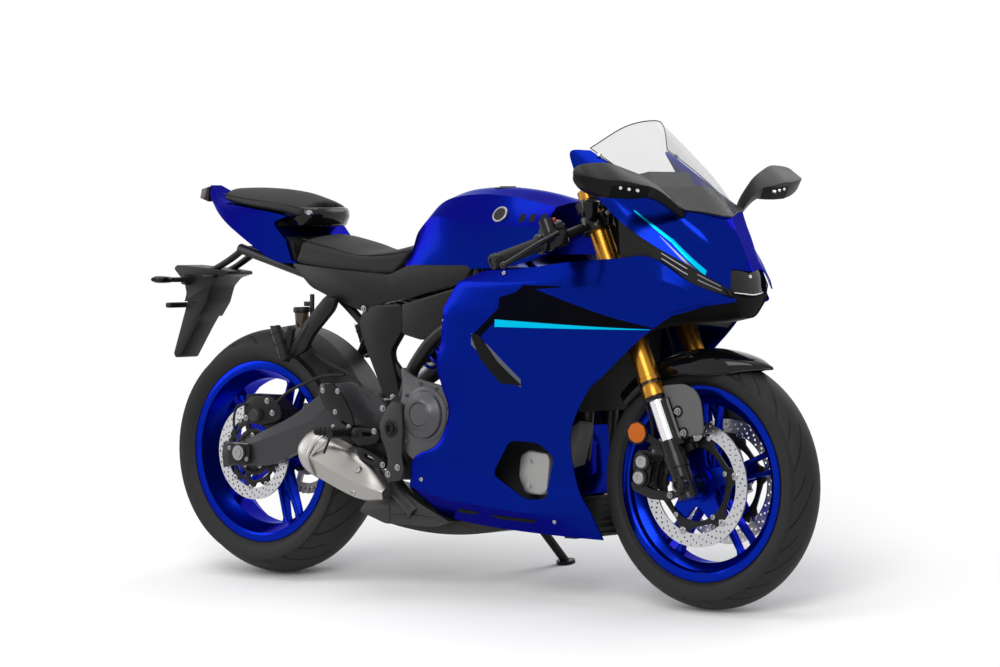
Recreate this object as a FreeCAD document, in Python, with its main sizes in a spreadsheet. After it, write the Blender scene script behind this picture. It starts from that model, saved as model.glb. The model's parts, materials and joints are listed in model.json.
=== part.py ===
import FreeCAD, Part
import math
import os
import re

import Sketcher

V = FreeCAD.Vector
Rotation = FreeCAD.Rotation
Placement = FreeCAD.Placement

# The driving sizes, in millimetres and degrees. Each one is a cell of the sheet.
SIZES = {
    # stance of the whole motorcycle
    "wheelbase": 1395,
    "seat_height": 835,
    "fairing_width": 440,
    "rake": 23.67,
    "trail": 90,
    "side_lean": 9.5,
    "overrun": 20,
    "seat_gap": 0.3,
    # front wheel
    "front_tyre_radius": 300,
    "front_tyre_half_width": 60,
    "front_crown_radius": 60,
    "front_rim_radius": 231,
    "front_rim_half_width": 50,
    "front_hub_radius": 33,
    "front_hub_half_width": 45,
    "front_disc_radius": 149,
    "front_disc_band": 32,
    "front_disc_offset": 62,
    "disc_thickness": 4.5,
    "carrier_thickness": 6,
    "carrier_radius": 66,
    "carrier_lap": 3,
    "carrier_core": 14,
    "window_rim": 5,
    "window_arm": 11,
    "window_count": 5,
    "rear_carrier_step": 8,
    "front_spoke_thickness": 24,
    # rear wheel
    "rear_tyre_radius": 315,
    "rear_tyre_half_width": 90,
    "rear_crown_radius": 92,
    "rear_rim_radius": 231,
    "rear_rim_half_width": 77,
    "rear_hub_radius": 42,
    "rear_hub_half_width": 72,
    "rear_disc_radius": 122.5,
    "rear_disc_band": 30,
    "rear_disc_offset": 98,
    "sprocket_radius": 106,
    "sprocket_offset": 104,
    "sprocket_thickness": 7,
    "sprocket_teeth": 42,
    "tooth_height": 5,
    "tooth_root": 2,
    "sprocket_hub": 16,
    "sprocket_dish": 22,
    "rear_spoke_thickness": 30,
    # what both wheels share
    "bead_radius": 222,
    "bead_inset": 6.2,
    "tyre_wall": 9,
    "rim_well_depth": 26,
    "rim_wall": 6,
    "spoke_pairs": 5,
    "spoke_root_spread": 9,
    "spoke_tip_spread": 15,
    "spoke_width": 13,
    "spoke_root": 4,
    "axle_radius": 12.5,
    "axle_bore_radius": 9,
    "hub_clearance": 0.5,
    "stem_proud": 6,
    "weight_step": 1.5,
    "perch_gap": 2,
    "master_inset": 4,
    "lever_seat": 2,
    "lever_knee": 6,
    "lever_heel": 10,
    "ball_step": 3,
    "knuckle_step": 0.2,
    "caliper_outer": 38,
    "caliper_inner": 26,
    "rear_caliper_outer": 26,
    "rear_caliper_inner": 24,
    "pad_gap": 2.5,
    # fork and steering head
    "fork_spread": 105,
    "stanchion_radius": 20.5,
    "slider_radius": 26,
    "slider_bottom": 533,
    "slider_length": 515,
    "cap_radius": 23,
    "cap_height": 14,
    "foot_radius": 26,
    "foot_length": 112,
    "foot_drop": 34,
    "lower_yoke_height": 806,
    "lower_yoke_thickness": 34,
    "yoke_spread": 204,
    "upper_yoke_thickness": 26,
    "stem_radius": 15,
    "head_radius": 30,
    "head_foot": 42,
    "head_drop": 10,
    "front_axle_half_length": 128,
    # handlebars
    "bar_radius": 11,
    "grip_radius": 16.5,
    "grip_length": 122,
    "bar_end": 352,
    "bar_clamp_drop": 48,
    "bar_clamp_thickness": 34,
    "bar_sweep": 16,
    "bar_drop": 9,
    # swingarm and rear axle
    "pivot_back": 173,
    "pivot_height": 400,
    "arm_inner": 118,
    "arm_outer": 140,
    "pivot_tube_radius": 30,
    "rear_axle_half_length": 160,
    "rear_axle_radius": 12.5,
    # chain
    "chain_width": 16,
    "front_sprocket_radius": 42,
    "front_sprocket_x": -75,
    "front_sprocket_z": 392,
    # engine
    "crankcase_half_width": 90,
    "cylinder_half_width": 105,
    "cover_depth": 58,
    "clutch_radius": 71,
    # body panels
    "panel_wall": 3,
    "screen_wall": 3,
    # exhaust
    "header_radius": 19,
    "header_spread": 48,
    "stub_radius": 22,
    "riser_length": 66,
    "stub_length": 43.7,
    # side stand
    "stand_pivot_x": -60,
    "stand_pivot_y": 160,
    "stand_pivot_z": 250,
    "stand_foot_x": 20,
    "stand_foot_y": 292,
    "stand_radius": 11,
    "stand_bolt_radius": 7,
    "stand_bolt_reach": 32,
    "stand_foot_radius": 24,
    "stand_foot_thickness": 8,
    # front wheel surroundings
    "spacer_radius": 18,
    "shield_offset": 94,
    "shield_thickness": 4,
    "lug_width": 14,
    "lug_height": 40,
    "lug_reach": 22,
    "fender_seat": 76,
    "hose_radius": 4,
    "yoke_wall": 10,
    "yoke_waist": 16,
    "bar_kick": 12,
    "bar_weight_length": 12,
    "perch_width": 26,
    "perch_radius": 17,
    "master_reach": 44,
    "master_radius": 12,
    "cup_height": 42,
    "cup_radius": 18,
    "lever_length": 150,
    "lever_tuck": 6,
    "lever_drop": 26,
    "lever_radius": 6,
    # frame
    "rail_radius": 17,
    "lower_rail_radius": 13,
    "seat_rail_radius": 13,
    "strut_radius": 11,
    "cross_radius": 12,
    "stay_radius": 9,
    "plate_inner": 134,
    "plate_thickness": 14,
    "head_clearance": 0.4,
    "tank_post_radius": 12,
    "engine_bolt_radius": 10,
    "engine_bolt_length": 22,
    "radiator_pin_radius": 7,
    "radiator_stay_length": 56,
    "shock_bar_half_length": 124,
    "stand_lug_step": 3,
    "seat_post_radius": 9,
    "peg_seat": 8,
    "cross_step": 2,
    "peg_radius": 11,
    "folded_peg": 90,
    "peg_length": 88,
    "feeler_radius": 3,
    "feeler_length": 52,
    "bracket_thickness": 12,
    "arm_bulge": 3,
    "brace_length": 70,
    "brace_back": 345,
    "brace_height": 90,
    "brace_low": 372,
    "brace_lap": 2,
    "neck_lap": 3,
    "nut_inset": 1,
    "hugger_reach": 52,
    "hugger_lift": 121,
    "adjuster_length": 52,
    "adjuster_thickness": 6,
    "adjuster_height": 50,
    "axle_nut_radius": 19,
    "chain_clearance": 2,
    "chain_height": 11,
    "chain_room": 4,
    "generator_radius": 62,
    "generator_x": 120,
    "generator_z": 360,
    "clutch_x": -45,
    "clutch_z": 432,
    "cover_chamfer": 12,
    "cover_dome": 10,
    "clutch_ring_step": 4,
    "radiator_rake": 20,
    "radiator_x": 400,
    "radiator_thickness": 28,
    "radiator_low": 462,
    "radiator_high": 690,
    "radiator_width": 300,
    "shock_radius": 28,
    "shock_rod_radius": 10,
    "mirror_stem_radius": 9,
    "cover_inner": 140,
    "cap_x": 65,
    "cap_z": 1001,
    # fuel cap
    "cap_lid_radius": 48,
    "cap_lid_height": 9,
    "neck_height": 60,
    "neck_step": 3,
    "stand_knuckle": 5,
}

# One step of the body grid as a share of the size that it follows: length, width and height.
GRID_SHARES = (1 / 13.95, 1 / 4.4, 1 / 8.35)
# How far a corner may stand off a plane that still counts as flat.
FLATNESS = 1e-7
# How much of the shorter run beside a bend its arc may take.
BEND_SHARE = 0.45

doc = FreeCAD.newDocument("sport_bike")
sheet = doc.addObject("Spreadsheet::Sheet", "Sizes")
for row, (alias, value) in enumerate(SIZES.items(), start=1):
    sheet.set(f"A{row}", alias.replace("_", " "))
    sheet.set(f"B{row}", str(value))
    sheet.setAlias(f"B{row}", alias)
doc.recompute()


class Cells:
    """The sheet's sizes, read by name."""

    def __getattr__(self, alias):
        return float(getattr(sheet, alias))


S = Cells()
WORD = re.compile(r"[a-z][a-z_0-9]*")
PIECES = []


def value(expression):
    """The number that an expression of sizes comes to."""
    return float(sheet.evalExpression(expression))


def bind(obj, **expressions):
    """Tie properties of an object to expressions of the sheet's sizes."""
    for prop, expression in expressions.items():
        text = WORD.sub(lambda m: f"Sizes.{m[0]}" if m[0] in SIZES else m[0], expression)
        obj.setExpression(prop.replace("__", "."), text)
    return obj


def piece(label, obj, place=None):
    """Give an object its own name and its place on the upright motorcycle."""
    obj.Label = label
    obj.Placement = place or Placement()
    PIECES.append(obj)
    return obj


# Sketches and features of turned, cut and pressed pieces.
def new_body(name):
    return doc.addObject("PartDesign::Body", name + "_body")


def origin(body, role):
    return [f for f in body.Origin.OriginFeatures if f.Role == role][0]


def sketch(body, role, lift="0"):
    drawing = body.newObject("Sketcher::SketchObject", body.Name + "_sketch")
    drawing.AttachmentSupport = [(origin(body, role), "")]
    drawing.MapMode = "FlatFace"
    bind(drawing, AttachmentOffset__Base__z=lift)
    return drawing


def outline(drawing, corners):
    """A closed outline whose corners are pairs of expressions."""
    first = drawing.GeometryCount
    count = len(corners)
    spots = [V(value(x), value(y), 0) for x, y in corners]
    for i, spot in enumerate(spots):
        drawing.addGeometry(Part.LineSegment(spot, spots[(i + 1) % count]), False)
    for i, (x, y) in enumerate(corners):
        line, following = first + i, first + (i + 1) % count
        drawing.addConstraint(Sketcher.Constraint("Coincident", line, 2, following, 1))
        for kind, text in (("DistanceX", x), ("DistanceY", y)):
            index = drawing.addConstraint(
                Sketcher.Constraint(kind, -1, 1, line, 1, value(text))
            )
            bind(drawing, **{f"Constraints[{index}]": text})
    return drawing


def circle(drawing, x, y, radius):
    """A circle whose centre and radius are expressions."""
    ring = drawing.addGeometry(
        Part.Circle(V(value(x), value(y), 0), V(0, 0, 1), value(radius)), False
    )
    for kind, text in (("DistanceX", x), ("DistanceY", y)):
        index = drawing.addConstraint(Sketcher.Constraint(kind, -1, 1, ring, 3, value(text)))
        bind(drawing, **{f"Constraints[{index}]": text})
    index = drawing.addConstraint(Sketcher.Constraint("Radius", ring, value(radius)))
    bind(drawing, **{f"Constraints[{index}]": radius})
    return drawing


def feature(body, kind, drawing, **settings):
    made = body.newObject("PartDesign::" + kind, body.Name + "_" + kind)
    made.Profile = drawing
    for prop, setting in settings.items():
        setattr(made, prop, setting)
    return made


def pad(body, drawing, length, both=True):
    made = feature(body, "Pad", drawing, SideType="Symmetric" if both else "One side")
    return bind(made, Length=length)


def pocket(body, drawing, length, both=True):
    """Cut a drawing out of the body, and make sure that it does cut."""
    doc.recompute()
    before = body.Shape.Volume
    made = feature(body, "Pocket", drawing, SideType="Symmetric" if both else "One side")
    bind(made, Length=length)
    doc.recompute()
    if made.Shape.Volume >= before:
        made.Reversed = True
    return made


def turned(body, drawing, axis="H_Axis"):
    return feature(body, "Revolution", drawing, ReferenceAxis=(drawing, [axis]), Angle=360)


def repeated(body, original, count, role="Y_Axis"):
    made = body.newObject("PartDesign::PolarPattern", body.Name + "_pattern")
    made.Originals = [original]
    made.Axis = (origin(body, role), [""])
    made.Angle = 360
    bind(made, Occurrences=count)
    body.Tip = made
    return made


def turned_piece(name, profiles):
    """A body turned about the Y axis from outlines in (across, out) expressions."""
    body = new_body(name)
    for corners in profiles:
        turned(body, outline(sketch(body, "YZ_Plane"), corners))
    return body


def plate(name, corners, length, role="XZ_Plane", lift="0", both=True):
    """A flat piece with an outline of its own."""
    body = new_body(name)
    pad(body, outline(sketch(body, role, lift), corners), length, both)
    return body


def rod(name, start, end, radius, bore=None):
    """A round bar from start to end, hollow if it has a bore."""
    way = end - start
    made = doc.addObject("Part::Cylinder", name)
    bind(made, Radius=radius)
    made.Height = way.Length
    turn = Rotation(V(0, 0, 1), way)
    made.Placement = Placement(start, turn)
    if bore is None:
        return made
    core = doc.addObject("Part::Cylinder", name + "_bore")
    bind(core, Radius=bore)
    core.Height = way.Length + S.overrun * 2
    core.Placement = Placement(start - turn.multVec(V(0, 0, S.overrun)), turn)
    return minus(name + "_tube", made, core)


def minus(name, base, tool):
    made = doc.addObject("Part::Cut", name)
    made.Base, made.Tool = base, tool
    return made


def joined(name, parts):
    made = doc.addObject("Part::MultiFuse", name)
    made.Shapes = parts
    made.Refine = True
    return made


def group(name, parts):
    """Like pieces that share a name and don't touch."""
    made = doc.addObject("Part::Compound", name)
    made.Links = parts
    return made


def mirrored(name, source):
    made = doc.addObject("Part::Mirroring", name)
    made.Source = source
    made.Normal = V(0, 1, 0)
    return made


def pair(name, right):
    """A piece on the right and its like on the left."""
    return group(name, [right, mirrored(name + "_left", right)])


def solid_piece(name, shape):
    made = doc.addObject("Part::Feature", name)
    made.Shape = shape
    return made


# Bodywork: surfaces ruled between smooth lines, so that the lines show as creases.
def grid(share, side=-1):
    """A place on the body grid, on the right with side -1 and on the left with side 1."""
    x, y, z = share
    return V(
        x * S.wheelbase * GRID_SHARES[0],
        side * y * S.fairing_width * GRID_SHARES[1],
        z * S.seat_height * GRID_SHARES[2],
    )


def smooth(points):
    if len(points) == 2:
        return Part.LineSegment(*points).toShape()
    curve = Part.BSplineCurve()
    curve.interpolate(points)
    return curve.toShape()


def between(first, second):
    """A ruled face that joins the lines' starts and joins their ends."""
    forward = 1
    return Part.makeRuledSurface(first, second, forward)


def closed_solid(faces):
    shell = Part.Shell(faces)
    shell.sewShape()
    made = Part.Solid(shell)
    if made.Volume < 0:
        made.reverse()
    return made


def fan(ring):
    """An end cap that closes a ring of straight edges."""
    normal = (ring[1] - ring[0]).cross(ring[2] - ring[0]).normalize()
    if all(abs((spot - ring[0]).dot(normal)) < FLATNESS for spot in ring):
        return [Part.Face(Part.makePolygon(ring + ring[:1]))]
    middle = sum(ring, V()) / len(ring)
    sides = zip(ring, ring[1:] + ring[:1])
    return [Part.Face(Part.makePolygon([a, b, middle, a])) for a, b in sides]


def hull(lines):
    """A solid inside a ring of lines that run from one end to the other."""
    edges = [smooth(line) for line in lines]
    faces = [between(a, b) for a, b in zip(edges, edges[1:] + edges[:1])]
    for end in (0, -1):
        faces += fan([line[end] for line in lines])
    return closed_solid(faces)


def inner_lines(lines, wall):
    """The lines of a panel's hidden face, one wall inside the shown one."""
    rows, columns = len(lines), len(lines[0])
    inner = []
    for i in range(rows):
        row = []
        for j in range(columns):
            along = lines[i][min(j + 1, columns - 1)] - lines[i][max(j - 1, 0)]
            across = lines[min(i + 1, rows - 1)][j] - lines[max(i - 1, 0)][j]
            row.append(lines[i][j] - along.cross(across).normalize() * wall)
        inner.append(row)
    return inner


def panel(lines, wall):
    """A thin shell whose shown face runs through the lines."""
    inner = inner_lines(lines, wall)
    outer_edges = [smooth(line) for line in lines]
    inner_edges = [smooth(line) for line in inner]
    faces = [between(a, b) for a, b in zip(outer_edges, outer_edges[1:])]
    faces += [between(a, b) for a, b in zip(inner_edges, inner_edges[1:])]
    faces += [between(outer_edges[i], inner_edges[i]) for i in (0, -1)]
    for end in (0, -1):
        shown = [line[end] for line in lines]
        hidden = [line[end] for line in inner]
        for i in range(len(lines) - 1):
            faces.append(
                between(
                    Part.LineSegment(shown[i], shown[i + 1]).toShape(),
                    Part.LineSegment(hidden[i], hidden[i + 1]).toShape(),
                )
            )
    return closed_solid(faces)


def half_lines(shares, side=-1):
    return [[grid(share, side) for share in line] for line in shares]


def whole_lines(shares):
    """Lines from the right edge over the middle, where y is zero, to the left edge."""
    right = half_lines(shares, -1)
    left = half_lines(shares, 1)
    return right + left[-2::-1]


def route(shares, side=1):
    """A tube's route on the body grid, on the left with side 1 and on the right with side -1."""
    return [grid(share, side) for share in shares]


def prism(shares, side, low, high):
    """A block through a panel, with an outline in length and height shares."""
    ring = [grid((x, 0, z)) for x, z in shares]
    face = Part.Face(Part.makePolygon(ring + ring[:1]))
    face.translate(V(0, side * low, 0))
    return face.extrude(V(0, side * (high - low), 0))


# A tube along straight runs joined by arcs that are as large as the runs allow.
def bend_radius(before, corner, after):
    shorter = min((corner - before).Length, (after - corner).Length)
    turn = (corner - before).getAngle(after - corner)
    return BEND_SHARE * shorter / math.tan(turn / 2)


def tube_path(points):
    """Runs between the points, with a tangent arc at each inner one."""
    edges, start = [], points[0]
    for before, corner, after in zip(points, points[1:], points[2:]):
        into, out = (before - corner).normalize(), (after - corner).normalize()
        turn = (corner - before).getAngle(after - corner)
        reach = bend_radius(before, corner, after) * math.tan(turn / 2)
        entry, leave = corner + into * reach, corner + out * reach
        middle = (into + out).normalize()
        radius = reach / math.tan(turn / 2)
        centre = corner + middle * (radius / math.cos(turn / 2))
        edges.append(Part.LineSegment(start, entry).toShape())
        edges.append(Part.Arc(entry, centre - middle * radius, leave).toShape())
        start = leave
    edges.append(Part.LineSegment(start, points[-1]).toShape())
    return Part.Wire(edges)


def tube(points, radius, bore=0):
    """A round tube, solid or with a bore, along a path of runs and arcs."""
    path = tube_path(points)
    way = points[1] - points[0]
    made = None
    for size in (radius, bore):
        if not size:
            continue
        ring = Part.Wire(Part.Circle(points[0], way, size).toShape())
        swept = path.makePipeShell([ring], True, False)
        made = swept if made is None else made.cut(swept)
    return made.Solids[0] if made.Solids else made


# Places and directions that several pieces share.
half_base = S.wheelbase / 2
tilt = math.radians(S.rake)
fork_offset = S.front_tyre_radius * math.sin(tilt) - S.trail * math.cos(tilt)
fork_axle_height = S.trail * math.sin(tilt) + S.front_tyre_radius * math.cos(tilt)
FORK = Placement(V(half_base + S.trail, 0, 0), Rotation(V(0, 1, 0), -S.rake))
FRONT_AXLE = Placement(V(half_base, 0, S.front_tyre_radius), Rotation())
REAR_AXLE = Placement(V(-half_base, 0, S.rear_tyre_radius), Rotation())
FORK_OFFSET = "(front_tyre_radius * sin(rake) - trail * cos(rake))"
FORK_AXLE = "(trail * sin(rake) + front_tyre_radius * cos(rake))"
bar_clamp_height = S.lower_yoke_height + S.yoke_spread - S.bar_clamp_drop


# Wheels. Each is turned about its own axle, which lies along Y.
# Where the tyre is widest, as a share of its height over the bead.
TYRE_WAIST_SHARE = 0.45
# How far under the crown's top the cavity ends, as a share of the crown's radius.
CAVITY_SHARE = 0.28
# The crown's corners, in steps of the side lean.
CROWN_STEPS = (1, 3, 5)


def tyre(name):
    """A tyre whose crown is cut into bands that meet at the lean of the side stand."""
    radius, half = f"{name}_tyre_radius", f"{name}_tyre_half_width"
    crown = f"{name}_crown_radius"
    seat = f"({name}_rim_half_width - bead_inset - seat_gap)"
    right = [
        (f"{crown} * sin({step} * side_lean)", f"{radius} - {crown} + {crown} * cos({step} * side_lean)")
        for step in CROWN_STEPS
    ]
    right.append((half, f"bead_radius + ({radius} - bead_radius) * {TYRE_WAIST_SHARE}"))
    right.append((seat, f"{name}_rim_radius + bead_inset / 2"))
    right.append((seat, "bead_radius"))
    right.append((f"{seat} - tyre_wall", "bead_radius"))
    right.append((f"{seat} - tyre_wall", f"{radius} - {crown} * {CAVITY_SHARE} - tyre_wall"))
    left = [(f"-({y})", z) for y, z in reversed(right)]
    return turned_piece(name + "_tyre", [right + left])


# The barrel's well and its slope, as shares of the rim's half width.
WELL_SHARES = (0.5, 0.35, 0.42)


def rim(name):
    """A cast wheel: barrel with a well, hub, and spokes in pairs."""
    radius, half = f"{name}_rim_radius", f"{name}_rim_half_width"
    hub, hub_half = f"{name}_hub_radius", f"{name}_hub_half_width"
    barrel = [
        (half, radius),
        (f"{half} - rim_wall", radius),
        (f"{half} - rim_wall", "bead_radius - seat_gap"),
        (f"{half} * {WELL_SHARES[0]}", "bead_radius - seat_gap"),
        (f"{half} * {WELL_SHARES[1]}", "bead_radius - rim_well_depth"),
    ]
    barrel += [(f"-({y})", z) for y, z in reversed(barrel)]
    barrel += [
        (f"-({half})", "bead_radius - rim_wall * 2"),
        (f"-({half} * {WELL_SHARES[2]})", "bead_radius - rim_well_depth - rim_wall"),
        (f"{half} * {WELL_SHARES[2]}", "bead_radius - rim_well_depth - rim_wall"),
        (half, "bead_radius - rim_wall * 2"),
    ]
    body = turned_piece(name + "_rim", [barrel])
    hub_ring = [
        (hub_half, hub),
        (hub_half, "axle_radius + hub_clearance"),
        (f"-{hub_half}", "axle_radius + hub_clearance"),
        (f"-{hub_half}", hub),
    ]
    tip = "bead_radius - rim_well_depth - rim_wall / 2"
    root = f"{hub} - spoke_root"
    drawing = sketch(body, "XZ_Plane")
    for side in ("1", "-1"):
        outline(
            drawing,
            [
                (f"{side} * spoke_root_spread", root),
                (f"{side} * (spoke_root_spread + spoke_width)", root),
                (f"{side} * (spoke_tip_spread + spoke_width)", tip),
                (f"{side} * spoke_tip_spread", tip),
            ],
        )
    spokes = pad(body, drawing, f"{name}_spoke_thickness")
    repeated(body, spokes, "spoke_pairs")
    turned(body, outline(sketch(body, "YZ_Plane"), hub_ring))
    return body


def disc_ring(name, side):
    """The outline of a brake disc's ring."""
    radius, place = f"{name}_disc_radius", f"{side} * {name}_disc_offset"
    inner = f"({radius} - {name}_disc_band)"
    return [
        (f"{place} - disc_thickness / 2", inner),
        (f"{place} + disc_thickness / 2", inner),
        (f"{place} + disc_thickness / 2", radius),
        (f"{place} - disc_thickness / 2", radius),
    ]


def windows(body, inner, outer, lift, depth):
    """Cut a ring of windows that leaves arms between an inner and an outer radius."""
    turn = "180 / window_count"

    def corner(radius, side):
        across = f"{side} * (({radius}) * sin({turn}) - window_arm * cos({turn}))"
        return across, f"({radius}) * cos({turn}) + window_arm * sin({turn})"

    corners = [corner(inner, -1), corner(inner, 1), corner(outer, 1), ("0", outer), corner(outer, -1)]
    cut = pocket(body, outline(sketch(body, "XZ_Plane", lift), corners), depth)
    return repeated(body, cut, "window_count")


def brake_disc(name, side, foot):
    """A brake disc: its ring on a dished carrier with arms."""
    body = turned_piece(f"{name}_disc_{side}".replace("-", "r"), [disc_ring(name, side)])
    offset, core = f"{name}_disc_offset", "axle_radius + carrier_core"
    reach = f"({name}_disc_radius - {name}_disc_band + carrier_lap)"
    outer = f"{side} * ({offset} + carrier_thickness / 2)"
    inner = f"{side} * ({offset} - carrier_thickness / 2)"
    hub = f"{side} * ({name}_hub_half_width + seat_gap)"
    carrier = [(hub, core), (hub, f"{name}_hub_radius"), (inner, foot), (inner, reach), (outer, reach),
               (outer, core)]
    turned(body, outline(sketch(body, "YZ_Plane"), carrier))
    windows(body, f"{foot} + window_rim", f"{reach} - carrier_lap - window_rim", f"-({side}) * {offset}",
            "carrier_thickness * 2")
    return body


def front_discs():
    return group("front_discs_pair", [brake_disc("front", side, "carrier_radius") for side in (-1, 1)])


def sprocket():
    """The final drive ring, with teeth and windows, on the left of the rear hub."""
    side = "sprocket_offset"
    root = "(sprocket_radius - tooth_height)"
    dish = "rear_hub_radius + sprocket_dish"
    hub = "rear_hub_half_width + seat_gap"
    body = turned_piece("rear_sprocket", [[
        (hub, "axle_radius + carrier_core"),
        (hub, "rear_hub_radius + sprocket_hub"),
        (f"{side} - sprocket_thickness / 2", dish),
        (f"{side} - sprocket_thickness / 2", root),
        (f"{side} + sprocket_thickness / 2", root),
        (f"{side} + sprocket_thickness / 2", "axle_radius + carrier_core"),
    ]])
    windows(body, f"{dish} + window_rim", f"{root} - window_rim * 2", f"-({side})",
            "sprocket_thickness * 2")
    drawing = sketch(body, "XZ_Plane", f"-({side})")
    outline(
        drawing,
        [
            ("-tooth_height * 0.7", f"{root} - tooth_root"),
            ("tooth_height * 0.7", f"{root} - tooth_root"),
            ("tooth_height * 0.3", "sprocket_radius"),
            ("-tooth_height * 0.3", "sprocket_radius"),
        ],
    )
    repeated(body, pad(body, drawing, "sprocket_thickness"), "sprocket_teeth")
    return body


piece("front_tyre", tyre("front"), FRONT_AXLE)
piece("front_rim", rim("front"), FRONT_AXLE)
piece("front_discs", front_discs(), FRONT_AXLE)
piece("rear_tyre", tyre("rear"), REAR_AXLE)
piece("rear_rim", rim("rear"), REAR_AXLE)
piece("rear_disc", brake_disc("rear", -1, "(rear_hub_radius + rear_carrier_step)"), REAR_AXLE)
piece("rear_sprocket", sprocket(), REAR_AXLE)


# Fork, yokes and handlebars, in the frame of the steering axis: Z up the axis, X ahead.
def fork_point(x, y, z):
    return V(fork_offset + x, y, z)


def fork_tube():
    low, top = S.slider_bottom, S.slider_bottom + S.slider_length
    tube_body = rod("slider", fork_point(0, -S.fork_spread, low),
                    fork_point(0, -S.fork_spread, top), "slider_radius")
    cap = rod("slider_cap", fork_point(0, -S.fork_spread, top),
              fork_point(0, -S.fork_spread, top + S.cap_height), "cap_radius")
    return joined("slider_and_cap", [tube_body, cap])


def stanchion():
    low = fork_axle_height + S.foot_length
    return rod("stanchion", fork_point(0, -S.fork_spread, low),
               fork_point(0, -S.fork_spread, S.slider_bottom), "stanchion_radius")


def fork_feet():
    """Axle clamps below the stanchions, joined by the hollow axle."""
    parts = []
    low, top = fork_axle_height - S.foot_drop, fork_axle_height + S.foot_length
    for side, word in ((-1, "right"), (1, "left")):
        y = side * S.fork_spread
        parts.append(rod("foot_" + word, fork_point(0, y, low), fork_point(0, y, top), "foot_radius"))
        lug = doc.addObject("Part::Box", "shield_lug_" + word)
        bind(lug, Length="foot_radius + lug_reach", Width="lug_width", Height="lug_height")
        inner = S.shield_offset - S.seat_gap - S.lug_width
        place = V(fork_offset, inner if side > 0 else -inner - S.lug_width, top - S.lug_height)
        lug.Placement = Placement(place, Rotation())
        parts.append(lug)
    ends = [fork_point(0, side * S.front_axle_half_length, fork_axle_height) for side in (-1, 1)]
    parts.append(rod("front_axle_bar", ends[0], ends[1], "axle_radius"))
    for side, word in ((-1, "right"), (1, "left")):
        near = fork_point(0, side * (S.front_hub_half_width + S.hub_clearance), fork_axle_height)
        far = fork_point(0, side * (S.fork_spread - S.foot_radius / 2), fork_axle_height)
        parts.append(rod("front_spacer_" + word, near, far, "spacer_radius"))
    bore = rod("front_axle_hole", ends[0] - V(0, S.overrun, 0), ends[1] + V(0, S.overrun, 0),
               "axle_bore_radius")
    return minus("fork_feet_bored", joined("fork_feet_joined", parts), bore)


def yoke(name, height, thickness, stem):
    """A clamp plate between the fork tubes, square to the steering axis."""
    body = new_body(name)
    half = "fork_spread"
    front = f"{FORK_OFFSET} + slider_radius"
    corners = [
        ("-head_radius", "-head_radius"),
        (f"{FORK_OFFSET} - slider_radius", f"-({half} + slider_radius)"),
        (front, f"-({half} + slider_radius / 2)"),
        (f"{front} - yoke_waist", "-head_radius"),
        (f"{front} - yoke_waist", "head_radius"),
        (front, f"{half} + slider_radius / 2"),
        (f"{FORK_OFFSET} - slider_radius", f"{half} + slider_radius"),
        ("-head_radius", "head_radius"),
    ]
    pad(body, outline(sketch(body, "XY_Plane", height), corners), thickness, False)
    for side in ("-", ""):
        boss = circle(sketch(body, "XY_Plane", height), FORK_OFFSET, f"{side}{half}",
                      "slider_radius + yoke_wall")
        pad(body, boss, thickness, False)
    if stem:
        core = circle(sketch(body, "XY_Plane", height), "0", "0", "stem_radius")
        pad(body, core, "yoke_spread + upper_yoke_thickness + stem_proud", False)
    else:
        core = circle(sketch(body, "XY_Plane", height), "0", "0", "stem_radius + seat_gap")
        pocket(body, core, f"{thickness} * 3")
    for side in ("-", ""):
        hole = circle(sketch(body, "XY_Plane", height), FORK_OFFSET, f"{side}{half}",
                      "slider_radius + seat_gap")
        pocket(body, hole, f"{thickness} * 3")
    return body


def bar_points(side):
    """Where a handlebar leaves its clamp and where it ends."""
    start = V(fork_offset - S.slider_radius / 2, side * (S.fork_spread + S.bar_radius),
              bar_clamp_height + S.bar_clamp_thickness / 2)
    reach = S.bar_end - S.fork_spread
    back = reach * math.tan(math.radians(S.bar_sweep + S.bar_kick))
    drop = reach * math.tan(math.radians(S.bar_drop))
    return start, V(fork_offset - back, side * S.bar_end, start.z - drop)


def along(ends, share):
    return ends[0] + (ends[1] - ends[0]) * share


def clip_on():
    """One clamp, its bar and its grip."""
    ends = bar_points(-1)
    ring = rod("bar_clamp", fork_point(0, -S.fork_spread, bar_clamp_height),
               fork_point(0, -S.fork_spread, bar_clamp_height + S.bar_clamp_thickness),
               "slider_radius + yoke_wall", "slider_radius + seat_gap")
    bar = rod("bar", ends[0], ends[1], "bar_radius")
    hole = rod("bar_clamp_hole", fork_point(0, -S.fork_spread, bar_clamp_height - S.overrun),
               fork_point(0, -S.fork_spread, bar_clamp_height + S.bar_clamp_thickness + S.overrun),
               "slider_radius + seat_gap")
    share = 1 - S.grip_length / (ends[1] - ends[0]).Length
    grip = rod("grip", along(ends, share), ends[1], "grip_radius")
    weight = rod("bar_weight", ends[1], along(ends, 1 + S.bar_weight_length / (ends[1] - ends[0]).Length),
                 "grip_radius - weight_step")
    bare = minus("bar_outside_clamp", bar, hole)
    return joined("clip_on_joined", [ring, bare, grip, weight])


# How far out along the lever its bend lies.
LEVER_KNEE_SHARE = 0.35


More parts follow.
